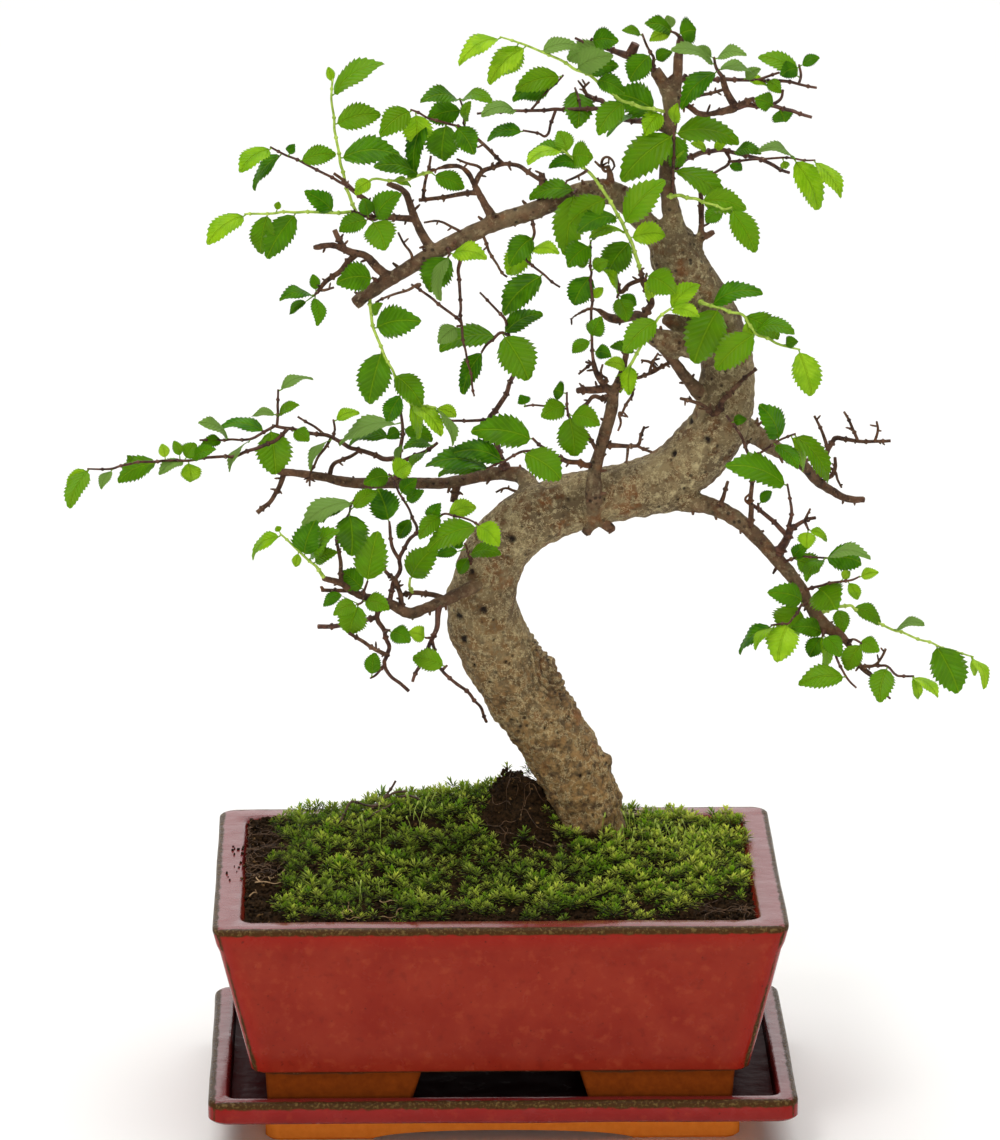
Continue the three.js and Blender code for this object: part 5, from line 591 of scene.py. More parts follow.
      [-40, 162, -23, 0.7], [-38, 157.3, -24, 0.6], [-34.4, 154.4, -24, 0.6], [-31.3, 151.5, -24, 0.6]],
    [[-42.3, 178.8, -17.8, 0.9], [-48, 177.5, -15, 0.8], [-54.7, 176, -12, 0.8], [-63.3, 175.4, -8, 0.8]],
    [[-39.9, 173, -20.2, 0.6], [-38, 174, -25, 0.35]],
    [[-39.7, 161.5, -23.2, 0.6], [-43, 157.5, -27, 0.4], [-45, 156.3, -29, 0.3]],
  ], [
    [-38, 173.8, -31, 169.7, 6.6], [-44.6, 156.6, -43.3, 165.3, 5.6],
  ]],
  ["spray_hanging_inner", [
    [[-20.5, 183.8, -6.5, 1.3], [-21, 179, -9, 0.9], [-21.3, 174.8, -11, 0.85], [-23.7, 169.2, -13, 0.7],
      [-27.5, 160.5, -16, 0.6], [-30, 155, -19, 0.5]],
    [[-23.2, 170.5, -12.6, 0.65], [-22, 163, -16, 0.55], [-19.3, 158.7, -18, 0.55], [-14, 153.8, -17, 0.6],
      [-9.2, 149.6, -13, 0.55], [-5.8, 145.4, -8, 0.5], [-3.8, 140, -3, 0.5]],
    [[-22.9, 171, -12.4, 0.6], [-25.3, 171, -17, 0.35]],
    [[-19.6, 159.1, -17.8, 0.55], [-17.8, 160.8, -21, 0.35]],
  ], [
    [-25.1, 170.9, -31, 173, 5.6], [-18, 160.6, -29.8, 163.5, 7.6],
  ]],
]

# How light each leaf of a spray is, one letter a leaf in the order of SPRAYS:
# D dark and full grown, M middle green, B bright and young, P pale underside
TONES = {
    "spray_left_upright": "MMDB",
    "spray_left_rising": "BDDM",
    "spray_left_level": "BMDBD",
    "spray_left_inner": "DDMD",
    "spray_left_green_twig": "BBDD",
    "spray_upper_left": "MBDDMDDDM",
    "spray_upper_back": "MDPDDD",
    "spray_top_left_shoot": "BBBPPDDDMDB",
    "spray_top_back_twig": "DP",
    "spray_leader_front": "MDBMMB",
    "spray_right_hanging": "MDM",
    "spray_right_arm": "BBDBBBPD",
    "spray_apex": "DDBP",
    "spray_apex_left": "MDD",
    "spray_top_right": "PPPPD",
    "spray_top_right_back": "PBMMDD",
    "spray_top_right_low": "DD",
    "spray_bright_diagonal": "BDMMDMMBBDD",
    "spray_below_upper_branch": "MD",
    "spray_centre_upright": "DMDBDDMMP",
    "spray_shoulder_front": "MB",
    "spray_centre_dark": "MDB",
    "spray_under_arch": "DBBD",
    "spray_left_of_arch": "BDP",
    "spray_fan": "DDMD",
    "spray_hanging_thread": "P",
    "spray_far_left_dark": "DDDD",
    "spray_round_leaf": "D",
    "spray_long_hanging": "DDMDBBMBP",
    "spray_long_left": "MBPDDBPBDMPDDMPPMPMBPPDDPDDMM",
    "spray_middle": "DMDMD",
    "spray_middle_upper": "MDDMM",
    "spray_centre_bright": "MDBBBBB",
    "spray_trunk_right": "MMDMDBDB",
    "spray_right_middle": "DMDBD",
    "spray_right_spur": "DDBB",
    "spray_right_upper": "DMPDD",
    "spray_right_outer": "BBMB",
    "spray_right_lower": "DMBDB",
    "spray_right_knob": "DDDB",
    "spray_right_side": "MM",
    "spray_right_under": "M",
    "spray_far_right": "MMPDBB",
    "spray_tip_right": "MBB",
    "spray_left_rising_twigs": "DBDDDBBMMDD",
    "spray_trunk_left": "MDDD",
    "spray_lifted_leaf": "M",
    "spray_two_tone": "MDMMMD",
    "spray_left_low_end": "DBMBMB",
    "spray_left_arching": "PMDD",
    "spray_hanging_outer": "DD",
    "spray_hanging_inner": "BM",
}

# Sprays whose twigs are this year's growth, still green
GREEN_SHOOTS = {
    "spray_left_upright", "spray_left_level", "spray_left_green_twig", "spray_top_left_shoot",
    "spray_bright_diagonal", "spray_right_hanging", "spray_centre_bright", "spray_trunk_right",
    "spray_long_hanging", "spray_left_low_end", "spray_far_right", "spray_lifted_leaf",
}


def seen(across, up, behind):
    """The place that looks, from the eye, to be at across and up, and lies so many mm behind."""
    towards = Vector((across, 0, up)) - EYE
    return EYE + towards * ((behind - EYE.y) / -EYE.y)


def place(point):
    """A place measured from the pot's middle in mm, in the frame's metres."""
    return Vector((point[0] + POT_X, point[1], point[2])) * MM


def soft_noise(point, size, seed=0):
    """Smooth noise from -1 to 1 with lumps of a size in mm."""
    return noise.noise(Vector(point) / size + Vector((seed, 2 * seed, 3 * seed)))


def hill(x, y, at, spread):
    """A smooth rise to 1 at a place, with its spread across and along."""
    return math.exp(-(((x - at[0]) / spread[0]) ** 2) - ((y - at[1]) / spread[1]) ** 2)


def soil_height(x, y):
    """How high the soil is: a mound, the lump of roots before the trunk, and a slight roll."""
    mound = MOUND_RISE * hill(x, y, MOUND_AT, MOUND_SPREAD)
    lump = ROOT_LUMP_STEEP * ROOT_LUMP_RISE * hill(x, y, ROOT_LUMP_AT, ROOT_LUMP_SPREAD)
    lump = min(lump, ROOT_LUMP_TOP + 3 * soft_noise((x, y, 0), 6, 15))
    rolling = 0.7 * math.sin(x * 0.31) * math.cos(y * 0.27) + 0.5 * math.sin(x * 0.13 + y * 0.41)
    return SOIL_EDGE + mound + lump + rolling


# Materials

def colour(code):
    """The linear colour of an sRGB hex value."""
    shares = [int(code[i:i + 2], 16) / 255 for i in (1, 3, 5)]
    return (*[s / 12.92 if s <= 0.04045 else ((s + 0.055) / 1.055) ** 2.4 for s in shares], 1)


def add(tree, kind, inputs, **settings):
    """Adds a shader node. An input that is a socket is linked, and any other is set as a value."""
    made = tree.nodes.new("ShaderNode" + kind)
    for name, value in settings.items():
        setattr(made, name, value)
    for name, value in inputs.items():
        if isinstance(value, bpy.types.NodeSocket):
            tree.links.new(value, made.inputs[name])
        else:
            made.inputs[name].default_value = value
    return made


def new_material(name):
    """A material with its node tree and its main shader."""
    material = bpy.data.materials.new(name)
    material.use_nodes = True
    tree = material.node_tree
    return material, tree, tree.nodes["Principled BSDF"]


def grain(tree, size, detail=2, rough=0.5, stretch=(1, 1, 1)):
    """A noise with lumps of a size in mm, from 0 to 1."""
    at = add(tree, "TexCoord", {}).outputs["Object"]
    placed = add(tree, "Mapping", {"Vector": at, "Scale": stretch}).outputs[0]
    inputs = {"Vector": placed, "Scale": 1 / (size * MM), "Detail": detail, "Roughness": rough}
    return add(tree, "TexNoise", inputs).outputs[0]


def maths(tree, operation, first, second=0.0):
    """The outcome of a sum on one or two values."""
    return add(tree, "Math", {0: first, 1: second}, operation=operation).outputs[0]


def between(tree, value, low, high, to_low=0.0, to_high=1.0):
    """Value's place between low and high, held between to_low and to_high."""
    inputs = {"Value": value, 1: low, 2: high, 3: to_low, 4: to_high}
    return add(tree, "MapRange", inputs).outputs[0]


def blended(tree, share, first, second):
    """A share of the second colour in the first. Each is a socket or an sRGB hex value."""
    made = add(tree, "Mix", {0: share}, data_type="RGBA", blend_type="MIX")
    for socket, value in ((made.inputs[6], first), (made.inputs[7], second)):
        if isinstance(value, str):
            socket.default_value = colour(value)
        else:
            tree.links.new(value, socket)
    return made.outputs[2]


def patched(tree, base, value, start, full, most, over):
    """Base with a colour laid over it, from none where a value is at start to most where it is at full."""
    return blended(tree, between(tree, value, start, full, 0, most), base, over)


def relief(tree, height, depth, strength=1.0):
    """A bump of a depth in mm."""
    return add(tree, "Bump", {"Height": height, "Distance": depth * MM, "Strength": strength}).outputs[0]


def from_pot_middle(tree, aside=0.0):
    """Absolute distances across, along and above, in mm, from the middle of the pot or tray."""
    at = add(tree, "TexCoord", {}).outputs["Object"]
    centre = (-(POT_X + aside), 0, 0)
    inputs = {"Vector": at, "Location": centre, "Scale": (1 / MM, 1 / MM, 1 / MM)}
    placed = add(tree, "Mapping", inputs).outputs[0]
    parts = add(tree, "SeparateXYZ", {0: placed}).outputs
    return maths(tree, "ABSOLUTE", parts[0]), maths(tree, "ABSOLUTE", parts[1]), parts[2]


def glazed_clay(name, half_length, half_depth, top, rim, taper, bare_below, painted_shade_below, aside,
                glaze, bare):
    """Stoneware with a poured iron red glaze, fired glossy. The glaze runs thin off each edge and shows
    olive brown there, is painted near black low inside as shade under what stands in it, and stops short of
    the unglazed foot."""
    material, tree, shader = new_material(name)
    across, along, up = from_pot_middle(tree, aside)
    lean = maths(tree, "MULTIPLY", maths(tree, "SUBTRACT", top, up), taper)
    side = maths(tree, "SUBTRACT", maths(tree, "SUBTRACT", half_length, lean), across)
    front = maths(tree, "SUBTRACT", maths(tree, "SUBTRACT", half_depth, lean), along)
    under_top = maths(tree, "SUBTRACT", top, up)
    near = maths(tree, "MINIMUM", side, front)
    far = maths(tree, "MAXIMUM", side, front)
    outer_edge = maths(tree, "MAXIMUM", near, maths(tree, "MINIMUM", far, under_top))
    from_inside = maths(tree, "ABSOLUTE", maths(tree, "SUBTRACT", near, rim))
    inner_edge = maths(tree, "MAXIMUM", from_inside, under_top)
    ragged = maths(tree, "ADD", outer_edge, between(tree, grain(tree, 5, 4, 0.7), 0.2, 0.8, -0.8, 0.8))
    clouds = grain(tree, 16, 3, 0.6)
    mottle = grain(tree, 4.5, 4, 0.6)
    base = blended(tree, between(tree, clouds, 0.35, 0.65), *glaze)
    base = patched(tree, base, mottle, 0.55, 0.7, 0.35, "#a5482c")
    base = patched(tree, base, mottle, 0.42, 0.3, 0.4, "#6f1c10")
    base = patched(tree, base, outer_edge, 9, 2, 0.7, "#8f140c")
    base = patched(tree, base, inner_edge, 1.5, 0.4, 0.7, "#5f1712")
    base = patched(tree, base, under_top, 1.2, 0.3, 0.6, "#661f25")
    low_edge = between(tree, maths(tree, "SUBTRACT", up, bare_below), 1.5, 0.9, 0, 0.85)
    band = maths(tree, "MAXIMUM", between(tree, ragged, 2.7, 2.0, 0, 0.95), low_edge)
    base = blended(tree, band, base, "#3f2e18")
    grit = grain(tree, 1.1, 3, 0.6)
    worn = maths(tree, "MULTIPLY", between(tree, ragged, 2.4, 1.4), between(tree, grit, 0.5, 0.62))
    base = blended(tree, maths(tree, "MULTIPLY", worn, 0.4), base, "#8d7445")
    base = patched(tree, base, grain(tree, 1.3, 2, 0.5), 0.7, 0.75, 0.6, "#3a120c")
    # Painted shade: the basin floor and the foot of its inner wall are painted near black as shade under the
    # pot standing in it, and their shine is cut.
    deep = maths(tree, "MULTIPLY", between(tree, up, painted_shade_below + 0.6, painted_shade_below - 0.2),
                 between(tree, near, rim - 0.6, rim + 0.4))
    base = blended(tree, deep, base, "#2e0f10")
    # Bare clay in the colours each caller gives, which hold painted shade on the pot's feet and painted
    # light on the tray's foot.
    clay = blended(tree, grain(tree, 2.5, 4, 0.6), *bare)
    height = maths(tree, "ADD", up, between(tree, grain(tree, 9, 3, 0.6), 0.3, 0.7, -0.6, 0.6))
    unglazed = between(tree, height, bare_below + 0.3, bare_below - 0.2)
    tree.links.new(blended(tree, unglazed, base, clay), shader.inputs["Base Color"])
    gloss = between(tree, grain(tree, 7, 4, 0.6), 0.3, 0.7, 0.16, 0.3)
    dull = maths(tree, "MAXIMUM", gloss, maths(tree, "MULTIPLY", unglazed, 0.8))
    tree.links.new(dull, shader.inputs["Roughness"])
    uneven = grain(tree, 14, 2, 0.5)
    uneven = maths(tree, "ADD", uneven, maths(tree, "MULTIPLY", grain(tree, 1.8, 3), 0.14))
    uneven = maths(tree, "ADD", uneven, maths(tree, "MULTIPLY", worn, 0.5))
    tree.links.new(relief(tree, uneven, 0.9, 0.6), shader.inputs["Normal"])
    shader.inputs["IOR"].default_value = 1.5
    shine = between(tree, under_top, 1.2, 0.3, 0.12, 0.7)
    matt = maths(tree, "MULTIPLY", maths(tree, "MAXIMUM", deep, band), 0.95)
    shine = maths(tree, "MULTIPLY", shine, maths(tree, "SUBTRACT", 1, matt))
    tree.links.new(shine, shader.inputs["Specular IOR Level"])
    return material


def bonsai_soil():
    """Peat and fired clay grit, damp: nearly black brown crumbs with a few pale ones, and no shine."""
    material, tree, shader = new_material("bonsai_soil")
    base = blended(tree, between(tree, grain(tree, 1.6, 4, 0.7), 0.35, 0.65), "#120b05", "#3c2a17")
    base = patched(tree, base, grain(tree, 7, 3, 0.6), 0.5, 0.65, 0.5, "#38230f")
    base = patched(tree, base, grain(tree, 2.6, 2, 0.5), 0.66, 0.72, 0.8, "#84643c")
    tree.links.new(base, shader.inputs["Base Color"])
    shader.inputs["Roughness"].default_value = 0.95
    shader.inputs["Specular IOR Level"].default_value = 0.1
    tree.links.new(relief(tree, grain(tree, 1.2, 5, 0.7), 1.2), shader.inputs["Normal"])
    return material


def tone_of(tree):
    """The three parts of a piece's own tone attribute."""
    tone = add(tree, "Attribute", {}, attribute_name="tone").outputs["Color"]
    return add(tree, "SeparateColor", {0: tone}).outputs


def living_moss():
    """Cushion moss: thin leaflets, brown at the foot and fresh yellow green at the tip, that glow
    where light comes through them."""
    material, tree, shader = new_material("living_moss")
    high, chance, patch = tone_of(tree)
    fresh = blended(tree, between(tree, chance, 0.1, 0.9), "#84b416", "#eaf562")
    fresh = patched(tree, fresh, patch, 0.35, 0.8, 0.7, "#6a8c22")
    base = blended(tree, between(tree, high, 0.4, 0.9), "#1a1606", fresh)
    tree.links.new(base, shader.inputs["Base Color"])
    shader.inputs["Roughness"].default_value = 0.5
    shader.inputs["Specular IOR Level"].default_value = 0.3
    glow = add(tree, "BsdfTranslucent", {"Color": base}).outputs[0]
    both = add(tree, "MixShader", {0: 0.3, 1: shader.outputs[0], 2: glow}).outputs[0]
    tree.links.new(both, tree.nodes["Material Output"].inputs["Surface"])
    return material


def elm_bark():
    """Chinese elm bark: thin and grey olive on the trunk with rusty flakes, dark pits, painted shade in the
    creases of its wrinkles and fine cream scratches, browner and rougher near the ground, and red brown on
    the branches."""
    material, tree, shader = new_material("elm_bark")
    girth, pits_and_crease_shade, rust = tone_of(tree)
    at = add(tree, "TexCoord", {}).outputs["Object"]
    up = add(tree, "SeparateXYZ", {0: at}).outputs[2]
    base = blended(tree, between(tree, grain(tree, 15, 4, 0.6), 0.4, 0.6), "#736044", "#a38e65")
    base = patched(tree, base, grain(tree, 6, 5, 0.7), 0.5, 0.62, 0.8, "#6e4726")
    base = patched(tree, base, grain(tree, 2.4, 4, 0.7), 0.54, 0.64, 0.65, "#dccb9b")
    base = patched(tree, base, grain(tree, 1.9, 5, 0.75), 0.45, 0.36, 0.65, "#3f2e1d")
    low = between(tree, up, 0.2, 0.11, 0, 0.75)
    ground = blended(tree, between(tree, grain(tree, 3, 5, 0.75), 0.41, 0.59), "#4b2f17", "#c2965a")
    base = blended(tree, low, base, ground)
    young = blended(tree, between(tree, grain(tree, 4, 4, 0.6), 0.35, 0.65), "#361f15", "#7f5a41")
    young = patched(tree, young, grain(tree, 1.4, 3, 0.6), 0.62, 0.7, 0.6, "#b79572")
    base = blended(tree, between(tree, girth, 0.48, 0.14), base, young)
    rusty = maths(tree, "MULTIPLY", rust, between(tree, grain(tree, 2.6, 4, 0.7), 0.42, 0.55, 0.25, 1))
    rusty = maths(tree, "MAXIMUM", rusty, between(tree, grain(tree, 10, 5, 0.65), 0.58, 0.68, 0, 0.7))
    base = blended(tree, maths(tree, "MULTIPLY", rusty, 0.75), base, "#8c5226")
    scratch = maths(tree, "ABSOLUTE", maths(tree, "SUBTRACT", grain(tree, 7, 6, 0.75), 0.5))
    fine = between(tree, scratch, 0.014, 0.004, 0, 0.9)
    fine = maths(tree, "MULTIPLY", fine, between(tree, up, 0.3, 0.2, 0.3, 1))
    base = blended(tree, maths(tree, "MULTIPLY", fine, between(tree, girth, 0.3, 0.8)), base, "#e0cc98")
    spots = add(tree, "TexVoronoi", {"Vector": at, "Scale": 1 / (3.1 * MM)}).outputs["Distance"]
    pores = maths(tree, "MULTIPLY", between(tree, spots, 0.26, 0.14),
                  between(tree, grain(tree, 12, 2), 0.45, 0.55, 0, 0.75))
    # Dark pores and pits, with painted shade in the creases of the wrinkles and the grooves of the rings.
    dark = maths(tree, "MAXIMUM", pores, pits_and_crease_shade)
    base = blended(tree, dark, base, "#241810")
    tree.links.new(base, shader.inputs["Base Color"])
    shader.inputs["Roughness"].default_value = 0.7
    shader.inputs["Specular IOR Level"].default_value = 0.3
    rough = maths(tree, "ADD", grain(tree, 2.6, 6, 0.75), maths(tree, "MULTIPLY", dark, -0.5))
    tree.links.new(relief(tree, rough, 2.2, 1.0), shader.inputs["Normal"])
    return material


def twig_bark(name, dark, light):
    """Thin living bark, smooth and faintly glossy, with small pale pores."""
    material, tree, shader = new_material(name)
    base = blended(tree, between(tree, grain(tree, 2.5, 3), 0.35, 0.65), dark, light)
    base = patched(tree, base, grain(tree, 0.8, 1), 0.68, 0.74, 0.5, "#b39b7c")
    tree.links.new(base, shader.inputs["Base Color"])
    shader.inputs["Roughness"].default_value = 0.55
    shader.inputs["Specular IOR Level"].default_value = 0.3
    return material


def elm_leaf():
    """A thin leathery leaf with a waxy skin: glossy and deep green above, with a pale midrib and
    sunken side veins, duller and paler below, and yellow green light coming through it."""
    material, tree, shader = new_material("elm_leaf")
    bright, chance, pale = tone_of(tree)
    flat = add(tree, "UVMap", {}, uv_map="blade").outputs[0]
    parts = add(tree, "SeparateXYZ", {0: flat}).outputs
    along = parts[0]
    out = maths(tree, "ABSOLUTE", maths(tree, "SUBTRACT", parts[1], 0.5))
    rib = between(tree, out, 0.035, 0.012)
    slant = maths(tree, "MULTIPLY", along, 8.5)
    slant = maths(tree, "SUBTRACT", slant, maths(tree, "MULTIPLY", out, 5.5))
    wave = maths(tree, "PINGPONG", slant, 0.5)
    veins = between(tree, wave, 0.1, 0.0)
    lines = maths(tree, "MAXIMUM", rib, maths(tree, "MULTIPLY", veins, 0.6))
    dark = blended(tree, chance, "#1a5001", "#377b03")
    fresh = blended(tree, chance, "#9fd010", "#bfe634")
    base = blended(tree, bright, dark, fresh)
    base = patched(tree, base, grain(tree, 5, 3), 0.4, 0.62, 0.5, "#66a408")
    base = blended(tree, maths(tree, "MULTIPLY", lines, 0.35), base, "#a8d020")
    rim = blended(tree, bright, "#163a02", "#a9cf2c")
    base = patched(tree, base, out, 0.4, 0.49, 0.55, rim)
    base = blended(tree, maths(tree, "MULTIPLY", pale, 0.8), base, "#86a356")
    tree.links.new(base, shader.inputs["Base Color"])
    tree.links.new(between(tree, pale, 0, 1, 0.34, 0.55), shader.inputs["Roughness"])
    shader.inputs["IOR"].default_value = 1.45
    shader.inputs["Specular IOR Level"].default_value = 0.13
    swell = maths(tree, "SUBTRACT", maths(tree, "MULTIPLY", wave, 0.5), maths(tree, "MULTIPLY", rib, 0.5))
    tree.links.new(relief(tree, swell, 0.7, 1.0), shader.inputs["Normal"])
    through = blended(tree, 0.5, base, "#9fd008")
    glow = add(tree, "BsdfTranslucent", {"Color": through}).outputs[0]
    both = add(tree, "MixShader", {0: 0.36, 1: shader.outputs[0], 2: glow}).outputs[0]
    tree.links.new(both, tree.nodes["Material Output"].inputs["Surface"])
    return material


# Shapes

def deselect():
    """Leaves edit mode and selects nothing."""
    if bpy.context.object and bpy.context.object.mode != "OBJECT":
        bpy.ops.object.mode_set(mode="OBJECT")
    bpy.ops.object.select_all(action="DESELECT")


def pick(piece):
    """Makes a piece the only one selected, and the active one."""
    deselect()
    piece.select_set(True)
    bpy.context.view_layer.objects.active = piece


def name_it(name):
    """Names the active piece and its mesh."""
    bpy.context.object.name = name
    bpy.context.object.data.name = name
    return bpy.context.object


def rest(piece):
    """Puts a piece's place, turn and size into its mesh."""
    pick(piece)
    bpy.ops.object.transform_apply(location=True, rotation=True, scale=True)
    return piece


def apply(piece, kind, **settings):
    """Adds a modifier and applies it."""
    pick(piece)
    modifier = piece.modifiers.new(kind.lower(), kind)
    for name, value in settings.items():
        setattr(modifier, name, value)
    bpy.ops.object.modifier_apply(modifier=modifier.name)


def carve(piece, other, operation):
    """Joins another solid to a piece or cuts it away, and removes it."""
    apply(piece, "BOOLEAN", object=other, operation=operation, solver="EXACT")
    bpy.data.objects.remove(other)


def smooth(piece, degrees):
    """Shades a piece smooth where its faces meet at less than an angle."""
    pick(piece)
    bpy.ops.object.shade_smooth_by_angle(angle=math.radians(degrees))


def stack(name, levels, corner, aside=0.0):
    """A box with rounded upright edges, drawn up through levels of [half length, half depth, up]."""
    deselect()
    half_length, half_depth, up = levels[0]
    bpy.ops.mesh.primitive_plane_add(size=2, location=place((aside, 0, up)))
    piece = name_it(name)
    bpy.ops.object.mode_set(mode="EDIT")
    bpy.ops.transform.resize(value=(half_length * MM, half_depth * MM, 1))
    bpy.ops.mesh.bevel(affect="VERTICES", offset=corner * MM, segments=6)
    bpy.ops.mesh.flip_normals()
    for (low_length, low_depth, low), (length, depth, high) in zip(levels, levels[1:]):
        move = {"value": (0, 0, (high - low) * MM)}
        bpy.ops.mesh.extrude_region_move(TRANSFORM_OT_translate=move)
        bpy.ops.transform.resize(value=(length / low_length, depth / low_depth, 1))
    bpy.ops.mesh.select_all(action="SELECT")
    bpy.ops.mesh.normals_make_consistent(inside=False)
    bpy.ops.object.mode_set(mode="OBJECT")
    return rest(piece)


def slice_through(piece, axis, places):
    """Cuts a piece's faces where they cross planes, so that it can be bent a little."""
    pick(piece)
    bpy.ops.object.mode_set(mode="EDIT")
    for at in places:
        bpy.ops.mesh.select_all(action="SELECT")
        bpy.ops.mesh.bisect(plane_co=[at * share for share in axis], plane_no=axis)
    bpy.ops.object.mode_set(mode="OBJECT")


# How far apart a clay piece is sliced before its walls waver, and how long the waves are
CLAY_SLICE = 9
CLAY_WAVE = 38


def hand_made(piece, half_length, half_depth, amount):
    """Slices a pressed clay piece and lets its walls waver as hand finished clay does."""
    columns = range(-half_length, half_length, CLAY_SLICE)
    slice_through(piece, (1, 0, 0), [(POT_X + x) * MM for x in columns])
    slice_through(piece, (0, 1, 0), [y * MM for y in range(-half_depth, half_depth, CLAY_SLICE)])
    for vertex in piece.data.vertices:
        at = vertex.co / MM
        sway = Vector([soft_noise(at, CLAY_WAVE, seed) for seed in (1, 2, 3)])
        vertex.co += sway * amount * MM


def half_sizes(up, inset):
    """Half the pot's length and depth at a height, less an inset, and that height."""
    lean = POT_TAPER * (POT_TOP - up) / (POT_TOP - POT_UNDERSIDE)
    return [POT_LENGTH / 2 - lean - inset, POT_DEPTH / 2 - lean - inset, up]


def make_pot(look):
    """The pot: tapered walls under a flat rim, on four slanted feet, with two drain holes."""
    levels = [(POT_UNDERSIDE, 1.8), (POT_UNDERSIDE + 0.5, 0.8), (POT_UNDERSIDE + 1.6, 0)]
    levels += [(POT_TOP - 10, 0.5), (POT_TOP - 7, 0), (POT_TOP - 1.7, 0), (POT_TOP - 0.7, 0.25)]
    levels += [(POT_TOP - 0.15, 0.9), (POT_TOP, 1.8)]
    pot = stack("pot_glazed", [half_sizes(up, inset) for up, inset in levels], POT_CORNER)
    inside = [(POT_FLOOR, RIM_WIDTH + 2), (POT_FLOOR + 2, RIM_WIDTH), (POT_TOP - 1.2, RIM_WIDTH)]
    inside += [(POT_TOP - 0.35, RIM_WIDTH - 0.4), (POT_TOP + 0.2, RIM_WIDTH - 1.5)]
    hollow = stack("hollow", [half_sizes(up, inset) for up, inset in inside], POT_CORNER)
    carve(pot, hollow, "DIFFERENCE")
    front = half_sizes(POT_UNDERSIDE, 2.4)[1]
    for side_x in (-1, 1):
        for side_y in (-1, 1):
            carve(pot, make_foot(side_x, side_y, front), "UNION")
        drain = place((side_x * DRAIN_ACROSS, 0, (POT_FLOOR + POT_UNDERSIDE) / 2))
        deselect()
        size = {"radius": DRAIN_RADIUS * MM, "depth": DRAIN_DEPTH * MM}
        bpy.ops.mesh.primitive_cylinder_add(location=drain, **size)
        carve(pot, rest(name_it("drain")), "DIFFERENCE")
    hand_made(pot, 104, 78, POT_WAVER)
    smooth(pot, 35)
    pot.data.materials.append(look)
    return pot


def make_foot(side_x, side_y, front):
    """One foot, whose inner end slants in towards the tray."""
    middle = (FOOT_INNER + FOOT_OUTER) / 2
    size = (FOOT_OUTER - FOOT_INNER, FOOT_DEPTH, POT_UNDERSIDE + 2 - TRAY_FLOOR - 0.3)
    centre = (side_x * middle, side_y * (front - FOOT_DEPTH / 2), TRAY_FLOOR + 0.3 + size[2] / 2)
    deselect()
    bpy.ops.mesh.primitive_cube_add(size=1, location=place(centre))
    foot = name_it("foot")
    foot.scale = [length * MM for length in size]
    rest(foot)
    for vertex in foot.data.vertices:
        if vertex.co.z < place(centre).z:
            inner = abs(vertex.co.x - POT_X * MM) < middle * MM
            vertex.co.x += side_x * MM * (FOOT_SLANT if inner else -1)
    apply(foot, "BEVEL", width=1.6 * MM, segments=4, limit_method="ANGLE")
    return foot


def inset_levels(half_length, half_depth, rows):
    """Levels of [half length, half depth, up] from rows of [inset, up]."""
    return [(half_length - inset, half_depth - inset, up) for inset, up in rows]


def make_tray(look):
    """The tray: a shallow glazed basin on a narrower unglazed foot with an arch cut through it."""
    half_length = TRAY_LENGTH / 2
    half_depth = TRAY_DEPTH / 2
    foot_length = TRAY_FOOT_LENGTH / 2
    foot_depth = TRAY_FOOT_DEPTH / 2
    foot = [(1, 0), (0, 1), (0, TRAY_FOOT_TOP - 0.6), (-1.2, TRAY_FOOT_TOP)]
    wall = [(6, TRAY_WALL_FOOT - 1), (1, TRAY_WALL_FOOT), (0, TRAY_WALL_FOOT + 1), (0, TRAY_TOP - 1.6)]
    wall += [(0.3, TRAY_TOP - 0.7), (0.9, TRAY_TOP - 0.15), (1.8, TRAY_TOP)]
    levels = inset_levels(foot_length, foot_depth, foot) + inset_levels(half_length, half_depth, wall)
    tray = stack("tray_glazed", levels, TRAY_CORNER, TRAY_ASIDE)
    inside = [(2.4, TRAY_FLOOR), (1, TRAY_FLOOR + 0.5), (0, TRAY_TOP - 0.9), (-0.5, TRAY_TOP - 0.25)]
    inside += [(-1.6, TRAY_TOP + 0.2)]
    basin = inset_levels(half_length - TRAY_RIM, half_depth - TRAY_RIM, inside)
    carve(tray, stack("basin", basin, BASIN_CORNER, TRAY_ASIDE), "DIFFERENCE")
    under = [(TRAY_FOOT_WALL, -1), (TRAY_FOOT_WALL, TRAY_RECESS)]
    recess = inset_levels(foot_length, foot_depth, under)
    carve(tray, stack("recess", recess, RECESS_CORNER, TRAY_ASIDE), "DIFFERENCE")
    deselect()
    bpy.ops.mesh.primitive_cylinder_add(vertices=96, radius=MM, depth=TRAY_DEPTH * MM)
    arch = name_it("arch")
    arch.rotation_euler = (math.pi / 2, 0, 0)
    arch.scale = (TRAY_ARCH_HALF, TRAY_ARCH_RISE, 1)
    arch.location = place((TRAY_ASIDE, 0, 0))
    carve(tray, rest(arch), "DIFFERENCE")
    hand_made(tray, 108, 72, TRAY_WAVER)
    smooth(tray, 35)
    tray.data.materials.append(look)
    return tray


def inside_pot(x, y, margin):
    """Whether a place is inside the pot's walls by more than a margin."""
    half_length, half_depth, _ = half_sizes(SOIL_EDGE, RIM_WIDTH + margin)
    return abs(x) < half_length and abs(y) < half_depth


# How many faces the top of the soil has across and along, and how wide its foot is beside it
SOIL_FACES = (180, 130)
SOIL_FOOT = (0.86, 0.83)


